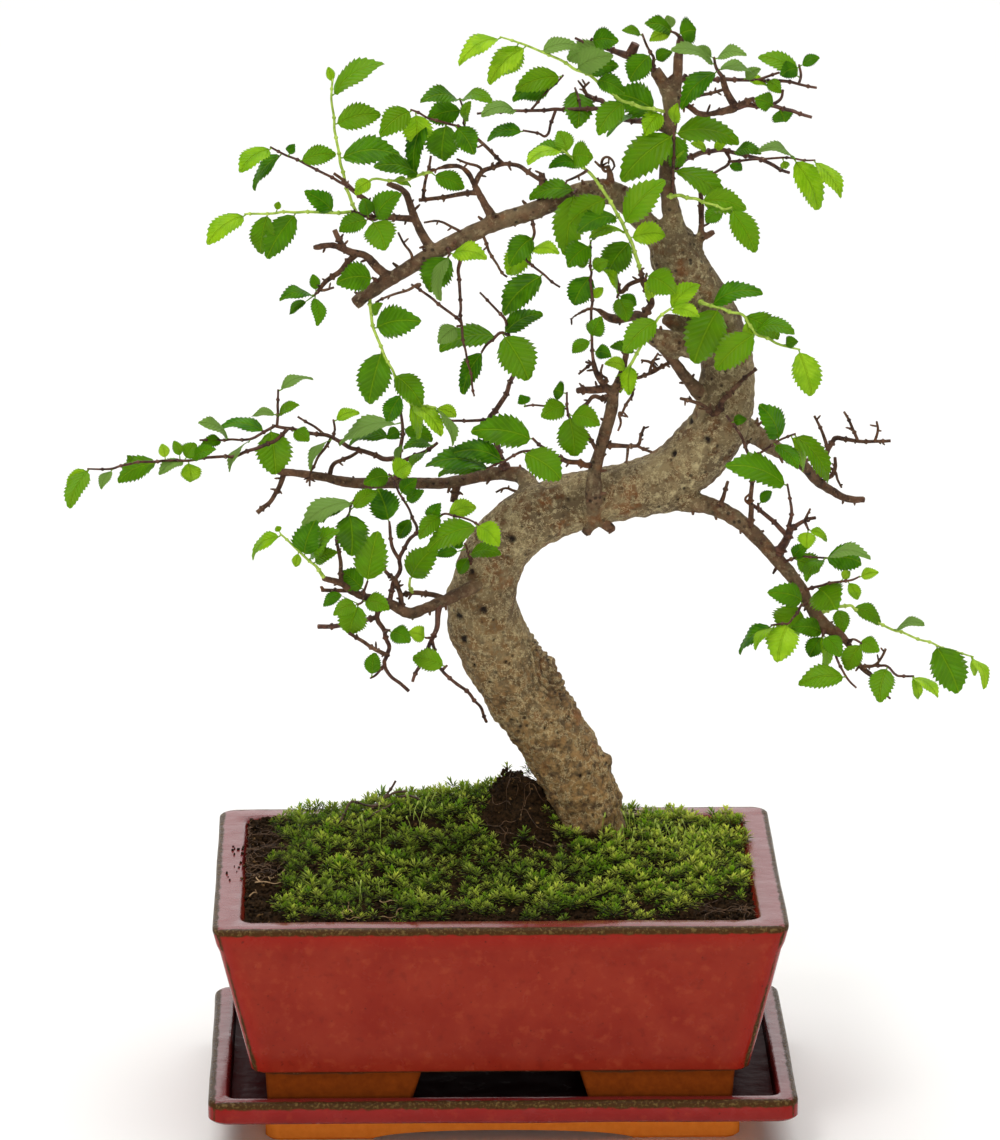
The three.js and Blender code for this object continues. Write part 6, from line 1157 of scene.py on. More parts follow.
def make_soil(look):
    """The ball of soil in the pot, crumbly on top."""
    half_length, half_depth, _ = half_sizes(SOIL_EDGE, RIM_WIDTH + 0.3)
    deselect()
    columns, rows = SOIL_FACES
    bpy.ops.mesh.primitive_grid_add(x_subdivisions=columns, y_subdivisions=rows, size=2)
    soil = name_it("soil_crumbly")
    soil.location = place((0, 0, 0))
    soil.scale = (half_length * MM, half_depth * MM, 1)
    rest(soil)
    for vertex in soil.data.vertices:
        x, y = vertex.co.x / MM - POT_X, vertex.co.y / MM
        lumps = 0.8 + 3.5 * hill(x, y, ROOT_LUMP_AT, (9, 10))
        crumbs = 0.9 * soft_noise((x, y, 0), 2.2) + lumps * soft_noise((x, y, 5), 5.5)
        vertex.co.z = (soil_height(x, y) - 0.4 + crumbs) * MM
    bpy.ops.object.mode_set(mode="EDIT")
    bpy.ops.mesh.select_all(action="DESELECT")
    bpy.ops.mesh.select_mode(type="EDGE")
    bpy.ops.mesh.select_non_manifold()
    drop = {"value": (0, 0, (POT_FLOOR + 2 - SOIL_EDGE) * MM)}
    bpy.ops.mesh.extrude_region_move(TRANSFORM_OT_translate=drop)
    foot = place((0, 0, POT_FLOOR + 2))
    bpy.ops.transform.resize(value=(*SOIL_FOOT, 0), center_override=foot)
    bpy.ops.mesh.edge_face_add()
    bpy.ops.mesh.select_all(action="SELECT")
    bpy.ops.mesh.normals_make_consistent(inside=False)
    bpy.ops.object.mode_set(mode="OBJECT")
    smooth(soil, 50)
    soil.data.materials.append(look)
    return soil


def keep_tones(mesh, tones):
    """Keeps three values for each corner of a mesh, for its look to use."""
    kept = mesh.color_attributes.new("tone", "FLOAT_COLOR", "POINT")
    kept.data.foreach_set("color", [share for tone in tones for share in (*tone, 1)])


def fused(name, corners, faces, look, tones=None):
    """One mesh from corners in metres and faces, with a tone for each corner."""
    mesh = bpy.data.meshes.new(name)
    mesh.from_pydata(corners, [], faces)
    mesh.materials.append(look)
    if tones:
        keep_tones(mesh, tones)
    piece = bpy.data.objects.new(name, mesh)
    bpy.context.scene.collection.objects.link(piece)
    return piece


def bare_ground(x, y):
    """How bare of moss the soil is, above 0.5 where no moss grows: the left end, the right front
    corner, the lump of roots and small gaps between the cushions."""
    left = (-74 - x) / 9 + 1.2 * soft_noise((x, y, 0), 9, 4)
    corner = (x - 72) / 10 + (-36 - y) / 12 + soft_noise((x, y, 0), 8, 5)
    front = (-46 - y) / 14 + 1.6 * soft_noise((x, y, 0), 9, 12) - 0.2
    lump = 2.2 * hill(x, y, (7, 10), (12, 24)) - 0.5 + 1.1 * soft_noise((x, y, 0), 6, 6)
    gaps = 2.1 * soft_noise((x, y, 0), 12, 7) - 0.2 + 0.9 * soft_noise((x, y, 0), 4, 2)
    trunk = 3 * hill(x, y, (31, 23), (17, 17)) - 0.8
    return max(left, corner, front, lump, gaps, trunk)


# Leaflets of a moss shoot by whorl: how many, how long, how steep and how far up they sit
MOSS_WHORLS = [(6, 3.0, 0.2, 0.6), (6, 2.7, 0.7, 1.5), (4, 2.0, 1.2, 2.4)]

# About how far apart the shoots stand, and how many rows of them there are on each side of the middle
MOSS_STEP = 2.6
MOSS_ROWS = 26

# The beds of moss, each with where it begins and ends across the pot
MOSS_BEDS = [("moss_left", -94, -20), ("moss_middle", -20, 40), ("moss_right", 40, 94)]


def moss_shoot(at, size, lean, chance, patch, corners, faces, tones):
    """Adds a star of narrow leaflets seen from above, each folded along its middle."""
    for whorl, (count, length, steep, up) in enumerate(MOSS_WHORLS):
        for i in range(count):
            turn = 2 * math.pi * (i + 0.5 * whorl) / count + 6 * chance
            outward = Vector((math.cos(turn), math.sin(turn), 0))
            aside = Vector((-outward.y, outward.x, 0))
            rise = Vector((lean[0], lean[1], 1))
            foot = at + rise * up * size - rise * 0.8
            reach = (outward * math.cos(steep) + rise * math.sin(steep)) * length * size
            wide = 0.27 * size
            bend = rise * 0.25 * size
            first = len(corners)
            for point in (foot, foot + reach * 0.45 + aside * wide + bend,
                          foot + reach - bend * 0.6, foot + reach * 0.45 - aside * wide + bend,
                          foot + reach * 0.5):
                corners.append(place(point))
            foot_tone, side_tone, middle_tone = [low + 0.2 * whorl for low in (0.15, 0.5, 0.35)]
            for height in (foot_tone, side_tone, 0.9, side_tone, middle_tone):
                tones.append((height, chance, patch))
            faces.append((first, first + 1, first + 2, first + 4))
            faces.append((first, first + 4, first + 2, first + 3))


def make_moss(name, low, high, look):
    """Moss cushions between two distances across the pot."""
    chances = random.Random(name)
    corners, faces, tones = [], [], []
    for column in range(int(low / MOSS_STEP), int(high / MOSS_STEP)):
        for row in range(-MOSS_ROWS, MOSS_ROWS + 1):
            x = (column + chances.uniform(-0.5, 0.5)) * MOSS_STEP
            y = (row + chances.uniform(-0.5, 0.5)) * MOSS_STEP
            bare = bare_ground(x, y)
            if bare > 0.5 or not inside_pot(x, y, -1.2):
                continue
            cushion = 0.95 + 0.6 * soft_noise((x, y, 0), 11, 8) - 0.4 * max(0, bare)
            at = Vector((x, y, soil_height(x, y) + 1.5 * cushion + chances.uniform(-1.4, 1.5)))
            lean = (chances.uniform(-0.5, 0.5), chances.uniform(-0.6, 0.4))
            patch = 0.5 + 0.7 * soft_noise((x, y, 0), 16, 9) - 0.45 * min(1, max(-0.2, (x - 15) / 30))
            size = cushion * chances.choice((0.7, 0.85, 1, 1.1, 1.4))
            moss_shoot(at, size, lean, chances.random(), patch, corners, faces, tones)
    return fused(name, corners, faces, look, tones)


# How many crumbs are strewn, of which those on bare soil stay, and a share of those on the left rim
CRUMBS_STREWN = 9000
RIM_CRUMB_SHARE = 0.16


def on_left_rim(x, y):
    """Whether a place is on the stretch of the left rim where crumbs lie."""
    return -96.5 <= x <= -88 and abs(y - 12) <= 34


def make_crumbs(look):
    """Loose crumbs on the bare soil and on the left of the rim."""
    deselect()
    bpy.ops.mesh.primitive_ico_sphere_add(subdivisions=1, radius=1)
    crumb = bpy.context.object
    shape = [vertex.co.copy() for vertex in crumb.data.vertices]
    sides = [tuple(face.vertices) for face in crumb.data.polygons]
    bpy.data.objects.remove(crumb)
    chances = random.Random(11)
    corners, faces = [], []
    for _ in range(CRUMBS_STREWN):
        x, y = chances.uniform(-100, 92), chances.uniform(-66, 66)
        on_rim = not inside_pot(x, y, 0)
        if on_rim and (not on_left_rim(x, y) or chances.random() > RIM_CRUMB_SHARE):
            continue
        if not on_rim and bare_ground(x, y) < 0.35:
            continue
        radius = chances.uniform(0.35, 1.25) * (0.6 if on_rim else 1)
        up = POT_TOP + 0.3 * radius if on_rim else soil_height(x, y) + 0.3 * radius
        first = len(corners)
        squash = [chances.uniform(0.6, 1.1) for _ in range(3)]
        for point in shape:
            ragged = 1 + 0.35 * soft_noise((point.x + x, point.y + y, point.z), 0.6)
            offset = Vector([value * s * radius * ragged for value, s in zip(point, squash)])
            corners.append(place(Vector((x, y, up)) + offset))
        faces.extend(tuple(first + i for i in side) for side in sides)
    return fused("soil_crumbs", corners, faces, look)


def tubes(name, lines, sides, look):
    """Round stems through rows of [place in mm, radius], along smooth curves."""
    curve = bpy.data.curves.new(name, "CURVE")
    curve.dimensions = "3D"
    curve.resolution_u = 4
    curve.bevel_depth = 1
    curve.bevel_resolution = sides // 2 - 2
    curve.use_fill_caps = True
    for rows in lines:
        spline = curve.splines.new("BEZIER")
        spline.bezier_points.add(len(rows) - 1)
        for point, (at, radius) in zip(spline.bezier_points, rows):
            point.co = place(at)
            point.handle_left_type = point.handle_right_type = "AUTO"
            point.radius = radius * MM
    piece = bpy.data.objects.new(name, curve)
    bpy.context.scene.collection.objects.link(piece)
    pick(piece)
    bpy.ops.object.convert(target="MESH")
    piece = name_it(name)
    piece.data.materials.clear()
    piece.data.materials.append(look)
    smooth(piece, 60)
    return piece


def as_seen(rows):
    """Rows of [place in mm, radius] from rows of [across, up, behind, radius]."""
    return [(seen(across, up, behind), radius) for across, up, behind, radius in rows]


def joined(name, parts):
    """One piece of several."""
    pick(parts[0])
    for part in parts[1:]:
        part.select_set(True)
    bpy.ops.object.join()
    return name_it(name)


# Knobs and swellings of the bark: [across, up, behind, radius, height]
KNOBS = [(20, 161, 16, 4.5, 3.4), (23, 155, 16, 3, 2.4), (27.5, 148, 18, 2.5, 1), (30, 143, 18, 2.5, 1),
         (38.5, 125, 21, 3, 1.6), (34.5, 132, 20, 2, 0.9), (43, 112, 20, 3, 1.1), (44, 101, 20, 3, 1.2),
         (9, 187, 6, 4, 1), (-16, 172, 14, 4, 1.2), (-18, 187, 12, 4, 1.6), (7, 214, 2, 5, 1.6),
         (52, 231, 0, 5, 1.2), (84, 246, 2, 5, 1.5), (86, 268, 6, 4, 1.1), (66, 306, 2, 5, 1.2),
         (24, 112, 10, 5, 1.2), (38, 104, 12, 5, 1.6), (70, 262, 6, 5, 1.3), (-1, 141, 20, 9, 1.3),
         (62, 217.5, 6, 4, 1.5)]

# Dark pits and rusty patches of the trunk as they look from the eye: [across, up, radius]
PITS = [(-13.7, 179, 1.6), (-4.6, 180.9, 1.7), (-11.7, 170.1, 1.5), (5, 207, 2), (-9, 195, 1.5),
        (-8, 161, 1), (-1, 170, 0.9), (3, 162, 0.8), (35, 108, 1.2), (30, 120, 0.9), (22, 131, 0.9),
        (25, 222, 1.2), (62, 238, 1.6), (74, 243, 1.5), (68, 250, 1.2), (84, 262, 1.3), (76, 285, 1.2)]
RUST = [(46.4, 224, 4.5), (44.5, 218, 3.5), (16.5, 221, 3), (-2, 196, 4), (2, 192, 3.5), (-8, 190, 3),
        (-14, 160, 3), (40, 98, 3), (64, 300, 3.5), (80, 280, 3), (22, 211, 2.5), (33, 214, 2.5)]


def as_looked_at(point):
    """The inverse of seen: across and up of a place in mm."""
    nearness = -EYE.y / (point.y - EYE.y)
    return EYE.x + (point.x - EYE.x) * nearness, EYE.z + (point.z - EYE.z) * nearness


def girths(lines):
    """Places along stems to search in, and the radius at each."""
    stations = []
    for rows in lines:
        for (start, first), (end, second) in zip(rows, rows[1:]):
            steps = max(1, int((end - start).length))
            for i in range(steps):
                stations.append((start.lerp(end, i / steps), first + (second - first) * i / steps))
    tree = kdtree.KDTree(len(stations))
    for i, (at, _) in enumerate(stations):
        tree.insert(at, i)
    tree.balance()
    return tree, [radius for _, radius in stations]


# Bark is at its roughest from FULL_BARK_RADIUS up, and looks thick from FULL_GIRTH up. Old bark begins
# OLD_BARK_FADE below OLD_BARK_TOP. WOOD_REACH is more than the radius of any stem.
FULL_BARK_RADIUS = 7
FULL_GIRTH = 10
OLD_BARK_TOP = 175
OLD_BARK_FADE = 60
WOOD_REACH = 18


def roughen(wood, lines):
    """Swells knobs out of the bark and wrinkles it, more towards the ground, and keeps for the look how
    thick the wood is, where it has pits, where painted shade darkens the creases of its wrinkles and rings,
    and where it is rusty."""
    tree, radii = girths(lines)
    knobs = [(seen(*knob[:3]), knob[3], knob[4]) for knob in KNOBS]
    normals = [vertex.normal.copy() for vertex in wood.data.vertices]
    tones = []
    for vertex, normal in zip(wood.data.vertices, normals):
        at = vertex.co / MM - Vector((POT_X, 0, 0))
        near = tree.find_range(at, WOOD_REACH)
        around = [radii[i] for _, i, far in near if far < 1.15 * radii[i] + 0.8]
        radius = max(around, default=radii[tree.find(at)[1]])
        thick = min(1, radius / FULL_BARK_RADIUS)
        old = thick * min(1, max(0, (OLD_BARK_TOP - at.z) / OLD_BARK_FADE))
        bumps = (0.14 + 0.35 * thick + 0.45 * old) * soft_noise((at.x, at.y, at.z * 0.7), 4.5, 1)
        fine = soft_noise(at, 2.1, 2)
        bumps += (0.12 + 0.28 * thick + 0.45 * old) * fine
        bumps += 0.6 * thick * soft_noise(at, 13, 3)
        for knob, wide, high in knobs:
            far = (at - knob).length / wide
            if far < 3:
                bumps += high * math.exp(-far * far)
        ringed = (at - knobs[0][0]).length
        ring = math.sin(ringed * 2.5 + 2 * fine) * math.exp(-((ringed - 8) / 8) ** 2)
        bumps += 0.5 * ring
        pits_and_crease_shade = rust = 0
        if radius > 3 and normal.dot(EYE - at) > 0:
            across, up = as_looked_at(at)
            waver = 0.7 * soft_noise(at, 1.8, 4)
            pits_and_crease_shade = max(0.9 - math.hypot(across - x, up - z) / r + waver for x, z, r in PITS)
            rust = max(1.1 - math.hypot(across - x, up - z) / r + 2 * waver for x, z, r in RUST)
        pits_and_crease_shade = min(1, max(0, 2 * pits_and_crease_shade))
        bumps -= 0.7 * pits_and_crease_shade
        # Painted shade: the creases of the fine wrinkles and the grooves of the rings round the knob are
        # marked dark, as if shaded.
        pits_and_crease_shade = max(pits_and_crease_shade, thick * min(0.55, max(0, -1.4 * fine - 0.65, -0.9 * ring - 0.2)))
        tones.append((min(1, radius / FULL_GIRTH), pits_and_crease_shade, min(0.85, max(0, 1.5 * rust))))
        vertex.co += normal * (bumps * MM)
    keep_tones(wood.data, tones)


# Bark and buds make a thin twig this much fuller than its rows say, with a bud about every BUD_GAP
TWIG_FULLNESS = 1.12
BUD_GAP = 5.5


def knotted(rows, chances):
    """A thin stem's rows with a bud swelling every few millimetres, where it bends a little."""
    rows = [(at, radius * TWIG_FULLNESS) for at, radius in rows]
    out = []
    for (start, first), (end, second) in zip(rows, rows[1:]):
        out.append((start, first))
        run = end - start
        count = int(run.length / BUD_GAP)
        for i in range(count):
            share = (i + chances.uniform(0.35, 0.65)) / count
            radius = first + (second - first) * share
            sway = Vector([chances.uniform(-0.35, 0.35) for _ in range(3)])
            bud = start + run * share + sway
            step = run.normalized() * 0.7
            out += [(bud - step, radius), (bud, radius * 1.5 + 0.1), (bud + step, radius * 0.95)]
    return out + [rows[-1]]


# The torn stub on the trunk's inner side: rows as those of the branches
STUB = [(68, 281, 10, 5), (63.5, 284.2, 8, 3.2), (58.6, 286.2, 6, 2)]

# Small bare twigs, each by its places of [across, up] as they look from the eye
BARE_TWIGS = [
    [(37.5, 339), (36.5, 342.5), (38, 344), (40, 343), (41, 340.5)],
    [(36.5, 340.5), (34, 342.5)],
    [(31, 339), (27.5, 337), (24, 335.5)],
    [(31, 366.5), (30, 368.5), (28.5, 370.5)],
    [(30, 368), (32, 370.5)],
    [(-6, 340.5), (-10.5, 342), (-14, 343.5)],
    [(-12, 317), (-16, 319.5), (-20.5, 321.5), (-25.5, 321)],
    [(-29.5, 307.5), (-30, 310), (-32.5, 313.5), (-34.5, 317.5)],
    [(-5, 316.5), (-3, 311), (0, 306), (3.5, 301.5)],
    [(-27, 299), (-31, 297), (-36, 295.5), (-42.5, 292.5)],
    [(-61.5, 297), (-57, 298)],
    [(53.5, 267), (54.5, 270.5), (56.5, 274)],
    [(54.5, 271), (57, 272)],
    [(54, 270.5), (50.5, 271.5)],
    [(33.5, 270.5), (28.5, 266.5)],
    [(33.5, 270), (31, 271)],
    [(38.5, 264.5), (36.5, 266.5), (37, 270)],
    [(-60, 241), (-63, 237), (-65.5, 232), (-66, 226.5)],
    [(46, 239.5), (45.5, 234.5)],
    [(133, 242), (134, 246), (133.5, 249)],
    [(119, 231), (120, 228), (121.5, 225)],
    [(90.5, 246.5), (91.5, 248), (91.5, 250.5)],
    [(91, 247.5), (93.5, 249.5)],
    [(89.5, 219), (87.5, 221), (89, 223)],
    [(108.5, 213), (110.5, 217.5)],
    [(9.5, 224), (6, 224.5), (3, 225.5), (-0.5, 224)],
    [(43, 252.5), (43.5, 249), (42.5, 246)],
]
BARE_RADIUS = 0.5
STOUT_TWIGS = [
    [(-39.5, 165), (-41.5, 166), (-47, 169.5), (-52.5, 173)],
    [(117, 229), (119, 232), (119, 236)],
]
STOUT_RADIUS = 0.8


def bare_twig(places, radius):
    """Rows of a bare twig from the stem that it springs from, a little nearer the eye at each place."""
    stems = [TRUNK, LEADER] + BRANCHES + [rows for _, twigs, _ in SPRAYS for rows in twigs]
    foot = nearest_on_twigs(stems, *places[0])
    rows = [(*foot[:3], radius)]
    for i, (across, up) in enumerate(places):
        rows.append((across, up, foot[2] - 0.8 * (i + 1), radius * (1 - 0.32 * i / (len(places) - 1))))
    return rows


def spurs(rows, gap, chances):
    """Short stubs of lost twigs and buds round a stem, about a gap apart."""
    stubs = []
    for (start, first), (end, second) in zip(rows, rows[1:]):
        run = end - start
        for _ in range(int(run.length / gap + chances.random())):
            share = chances.random()
            radius = first + (second - first) * share
            foot = start + run * share
            aside = Vector([chances.gauss(0, 1) for _ in range(3)]).cross(run).normalized()
            lean = (aside + run.normalized() * 0.4) * (radius + chances.uniform(0.6, 2.2))
            wide = 0.3 + 0.12 * radius
            stubs.append([(foot, wide), (foot + lean * 0.7, wide), (foot + lean, wide * 0.6)])
    return stubs


# Branches that are thicker than this somewhere are one mass of wood with the trunk
THICK_RADIUS = 1.5

# The size of the finest relief that the mesh of that wood can hold
BARK_DETAIL = 0.62

# About how far apart spurs stand on branches and on twigs
BRANCH_SPUR_GAP = 7
TWIG_SPUR_GAP = 5


def make_wood(bark):
    """The trunk, its leader and branches grown together as one, and the thin twigs on them."""
    chances = random.Random(3)
    thick = [rows for rows in BRANCHES if max(row[3] for row in rows) > THICK_RADIUS]
    thin = [rows for rows in BRANCHES if max(row[3] for row in rows) <= THICK_RADIUS]
    thin += [bare_twig(places, BARE_RADIUS) for places in BARE_TWIGS]
    thin += [bare_twig(places, STOUT_RADIUS) for places in STOUT_TWIGS]
    lines = [as_seen(rows) for rows in [TRUNK, LEADER, STUB] + thick]
    wood = tubes("wood", lines, 16, bark)
    apply(wood, "REMESH", mode="VOXEL", voxel_size=BARK_DETAIL * MM)
    apply(wood, "SMOOTH", factor=0.5, iterations=3)
    roughen(wood, lines)
    pick(wood)
    bpy.ops.object.shade_smooth()
    twigs = [knotted(as_seen(rows), chances) for rows in thin]
    for rows in thick:
        twigs += spurs(as_seen(rows), BRANCH_SPUR_GAP, chances)
    for rows in thin:
        twigs += spurs(as_seen(rows), TWIG_SPUR_GAP, chances)
    fine = tubes("thin_twigs", twigs, 8, bark)
    keep_tones(fine.data, [(0.1, 0, 0)] * len(fine.data.vertices))
    return joined("wood_bark", [wood, fine])


# Leaf blade: its teeth, by shares of its length, its bow, how full grown it is, and columns across it
TEETH = 9
FIRST_TOOTH = 0.12
TEETH_SPAN = 0.86
TOOTH_RISE = 0.72
TOOTH_DEPTH = 0.2
TOOTH_LEAN = 0.02
LEAF_BOW = 0.09
LEAF_GROWN = 1.04
COLUMNS = (-1, -0.62, -0.24, 0, 0.24, 0.62, 1)
HALF_THICKNESS = 0.1
STALK_SIDES = 5
STALK_RADII = (0.34, 0.26, 0.16)

# How bright a leaf of each letter is, and how pale its two faces are
BRIGHTNESS = {"D": 0.05, "M": 0.28, "B": 0.95, "P": 0.35}
PALE_TURNED = 0.9
PALE_UNDERSIDE = 0.75


def nearest_on_twigs(twigs, across, up):
    """The nearest place of a spray's twigs to a point, as they look from the eye."""
    best = (math.inf, None)
    for rows in twigs:
        for i, (a, b) in enumerate(zip(rows, rows[1:])):
            run = (b[0] - a[0], b[1] - a[1])
            square = run[0] ** 2 + run[1] ** 2
            share = ((across - a[0]) * run[0] + (up - a[1]) * run[1]) / square
            spare = STALK_INSET / math.sqrt(square)
            low = spare if i == 0 else 0
            high = 1 - spare if i + 2 == len(rows) else 1
            held = min(high, max(low, share))
            at = [first + (second - first) * held for first, second in zip(a, b)]
            best = min(best, (math.hypot(across - at[0], up - at[1]), at))
    return best[1]


def leaf_axes(twigs, row, index):
    """Where a leaf starts, its base, length, full width, its along, across and up, and how it arches."""
    base_x, base_z, tip_x, tip_z, width = row
    root = nearest_on_twigs(twigs, base_x, base_z)
    looks_long = math.hypot(tip_x - base_x, tip_z - base_z)
    short = math.sqrt(max(0, LEAF_LENGTH ** 2 - looks_long ** 2))
    reach = min(short, 0.6 * looks_long) + 0.12 * looks_long
    side = -1 if index % 2 == 0 else 0.6
    start = seen(*root[:3])
    base = seen(base_x, base_z, root[2] + side * 0.6)
    tip = seen(tip_x, tip_z, root[2] + side * reach)
    if (base - start).dot((tip - start).normalized()) < STALK_LENGTH:
        base = start.lerp(tip, STALK_LENGTH / (tip - start).length)
    length = (tip - base).length
    along = (tip - base).normalized()
    face = EYE - base
    face = (face - along * face.dot(along)).normalized()
    sideways = face.cross(along)
    bow = sideways * (LEAF_BOW * length * (1 if sideways.z >= 0 else -1) * math.sqrt(1 - along.z ** 2))
    full = max(width, LEAF_FULLNESS * length)
    roll = math.acos(width / full) * (1 if sideways.z >= 0 else -1)
    up = face * math.cos(roll) + sideways * math.sin(roll)
    return start, base, length * LEAF_GROWN, full * LEAF_GROWN, along, along.cross(up), up, bow


def half_width(share):
    """Half of a leaf's width, as a share of it, without its teeth."""
    return 0.5 * math.sin(math.pi * share ** 0.8) ** 0.75 if 0 < share < 1 else 0


def leaf_rows():
    """Shares of a leaf's length with the tooth there: two rows for each tooth."""
    rows = [(0.0, 0), (0.05, 0)]
    for tooth in range(TEETH):
        first = FIRST_TOOTH + TEETH_SPAN * tooth / TEETH
        rows += [(first, -1), (first + TOOTH_RISE * TEETH_SPAN / TEETH, 1)]
    return rows + [(1.0, 0)]


def add_leaf(twigs, row, index, letter, chances, out):
    """Adds a toothed blade with a top and an underside, and its stalk."""
    start, base, length, full, along, across, up, bow = leaf_axes(twigs, row, index)
    corners, faces, tones, flats = out
    bright = BRIGHTNESS[letter] + chances.uniform(-0.05, 0.12)
    chance = chances.random()
    wave = chances.uniform(0, 6.28)
    curl = chances.uniform(-0.12, 0.08)
    rows = leaf_rows()
    first = len(corners)
    top_pale = PALE_TURNED if letter == "P" else 0.0
    for lift, pale in ((HALF_THICKNESS, top_pale), (-HALF_THICKNESS, PALE_UNDERSIDE)):
        for share, tooth in rows:
            for column in COLUMNS:
                at_edge = abs(column) == 1
                toothed = 1 + 0.5 * TOOTH_DEPTH * tooth * at_edge
                outward = column * (half_width(share) * toothed + 0.015) * full
                rise = 4 * LEAF_ARCH * length * share * (1 - share) + LEAF_FOLD * abs(outward) * 0.8
                rise += curl * length * share * share
                rise += 0.06 * full * abs(column) ** 2 * math.sin(9 * share + wave + 2 * column)
                rise += 0 if at_edge else lift
                forward = (share + TOOTH_LEAN * (tooth == 1 and at_edge)) * length
                arch = bow * (4 * share * (1 - share))
                corners.append(place(base + along * forward + across * outward + up * rise + arch))
                tones.append((bright, chance, pale))
                flats.append((share, 0.5 + column * half_width(share)))
    width = len(COLUMNS)
    under = len(rows) * width
    for i in range(len(rows) - 1):
        for k in range(width - 1):
            a = first + i * width + k
            quad = (a, a + 1, a + 1 + width, a + width)
            faces.append(quad)
            faces.append(tuple(corner + under for corner in reversed(quad)))
    add_stalk(start, base + along * 0.05 * length, across, up, (bright, chance, 0.5), out)


def add_stalk(start, end, across, up, tone, out):
    """Adds a thin stalk from the twig to the foot of the blade."""
    corners, faces, tones, flats = out
    first = len(corners)
    for at, radius in zip((start, start.lerp(end, 0.5), end), STALK_RADII):
        for k in range(STALK_SIDES):
            turn = 2 * math.pi * k / STALK_SIDES
            corners.append(place(at + across * radius * math.cos(turn) + up * radius * math.sin(turn)))
            tones.append(tone)
            flats.append((0.0, 0.5))
    for i in range(len(STALK_RADII) - 1):
        for k in range(STALK_SIDES):
            a = first + i * STALK_SIDES + k
            b = first + i * STALK_SIDES + (k + 1) % STALK_SIDES
            faces.append((a, b, b + STALK_SIDES, a + STALK_SIDES))


def make_spray(name, twigs, leaves, letters, leaf_look, twig_look):
    """One leafy spray: its twigs, and its leaves on their stalks."""
    chances = random.Random(name)
    out = ([], [], [], [])
    for index, (row, letter) in enumerate(zip(leaves, letters)):
        add_leaf(twigs, row, index, letter, chances, out)
    corners, faces, tones, flats = out
    blades = fused(name + "_blades", corners, faces, leaf_look, tones)
    flat = blades.data.uv_layers.new(name="blade")
    spread = [flats[loop.vertex_index] for loop in blades.data.loops]
    flat.data.foreach_set("uv", [share for pair in spread for share in pair])
    pick(blades)
    bpy.ops.object.shade_smooth()
    stems = tubes(name + "_twigs", [knotted(as_seen(rows), chances) for rows in twigs], 6, twig_look)
    return joined(name + "_leafy", [blades, stems])


# Spots of bare soil with fine roots, and with stouter pale ones: [across, along, spread]
ROOT_SPOTS = [(-86, 20, 5), (-85, -5, 6), (-84, 40, 6), (-83, 10, 7), (8, 14, 9), (84, -46, 5), (10, -4, 9)]
PALE_ROOT_SPOTS = [(-80, -18, 8), (-50, -42, 8)]

# A root's points and the way between two of them, and how far left of the middle it turns back
ROOT_POINTS = 7
ROOT_STEP = 2
ROOT_TURN_BACK = 90


def make_roots(name, look, count, radius, spots, seed):
    """Fine roots wandering over the soil round some spots of [across, along, spread]."""
    chances = random.Random(seed)
    lines = []
    for _ in range(count):
        spot_x, spot_y, spread = chances.choice(spots)
        x, y = max(-88, chances.gauss(spot_x, spread)), chances.gauss(spot_y, spread)
        turn = chances.uniform(0, 6.28)
        rows = []
        for step in range(ROOT_POINTS):
            up = soil_height(x, y) + 0.6 + chances.uniform(0, 1.1)
            rows.append((Vector((x, y, up)), radius * (1 - 0.1 * step)))
            turn += chances.uniform(-0.9, 0.9)
            x = abs(x + ROOT_TURN_BACK + ROOT_STEP * math.cos(turn)) - ROOT_TURN_BACK
            y += ROOT_STEP * math.sin(turn)
        lines.append(rows)
    return tubes(name, lines, 4, look)


# Dead twigs lying on the crest of the moss: rows of [across, along, height over the soil]
DEAD_TWIGS = [
    [(-56, 20, 3), (-52, 22, 9), (-46, 23, 7), (-40, 24, 5)],
    [(-46, 26, 3), (-41, 27, 6), (-36, 28, 11)],
    [(-41, 27, 6), (-36, 27, 7), (-32, 28, 6)],
    [(-51, 12, 1.8), (-44, 18, 3.8), (-36, 22, 5)],
    [(-60, 27, 2), (-54, 26, 4)],
    [(-36, 24, 6), (-30, 25, 5), (-26, 24, 3)],
]
DEAD_TWIG_RADIUS = 0.38


def make_litter(look):
    """The dead twigs that lie on the moss."""
    chances = random.Random(4)
    lines = []
    for stick in DEAD_TWIGS:
        rows = [(Vector((x, y, soil_height(x, y) + up)), DEAD_TWIG_RADIUS) for x, y, up in stick]
        lines.append(knotted(rows, chances))
    return tubes("dead_twigs", lines, 6, look)


# Where moss stalks stand together: [across, along, how many]
STALK_PATCHES = [(-36, 12, 16), (-20, 16, 8), (60, 18, 24), (44, 6, 10), (-56, -30, 4)]

# A moss stalk and its capsule, by shares of its lean and height, and the radius there
STALK_ROWS = [(0, 0, 0.12), (0.3, 0.6, 0.11), (1, 1, 0.12), (1.2, 1.05, 0.34), (1.4, 1.17, 0.36),
              (1.5, 1.26, 0.1)]


def make_capsules(look):
    """Moss stalks, each with its spore capsule at the tip."""
    chances = random.Random(8)
    lines = []
    for patch_x, patch_y, count in STALK_PATCHES:
        for _ in range(count):
            x, y = chances.gauss(patch_x, 8), chances.gauss(patch_y, 6)
            if not inside_pot(x, y, 3):
                continue
            tall = chances.uniform(4.5, 8)
            lean = chances.uniform(-1.5, 1.5)
            up = soil_height(x, y)
            stalk = []
            for out, high, radius in STALK_ROWS:
                stalk.append((Vector((x + lean * out, y, up + tall * high)), radius))
            lines.append(stalk)
    return tubes("moss_stalks", lines, 4, look)


def finish_piece(piece, slot, *nodes):
    """Tells the frame what a piece rides on and the nodes that it replaces. Its slot is not used."""
    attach(piece, ROOT)
    if nodes:
        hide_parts(*nodes)


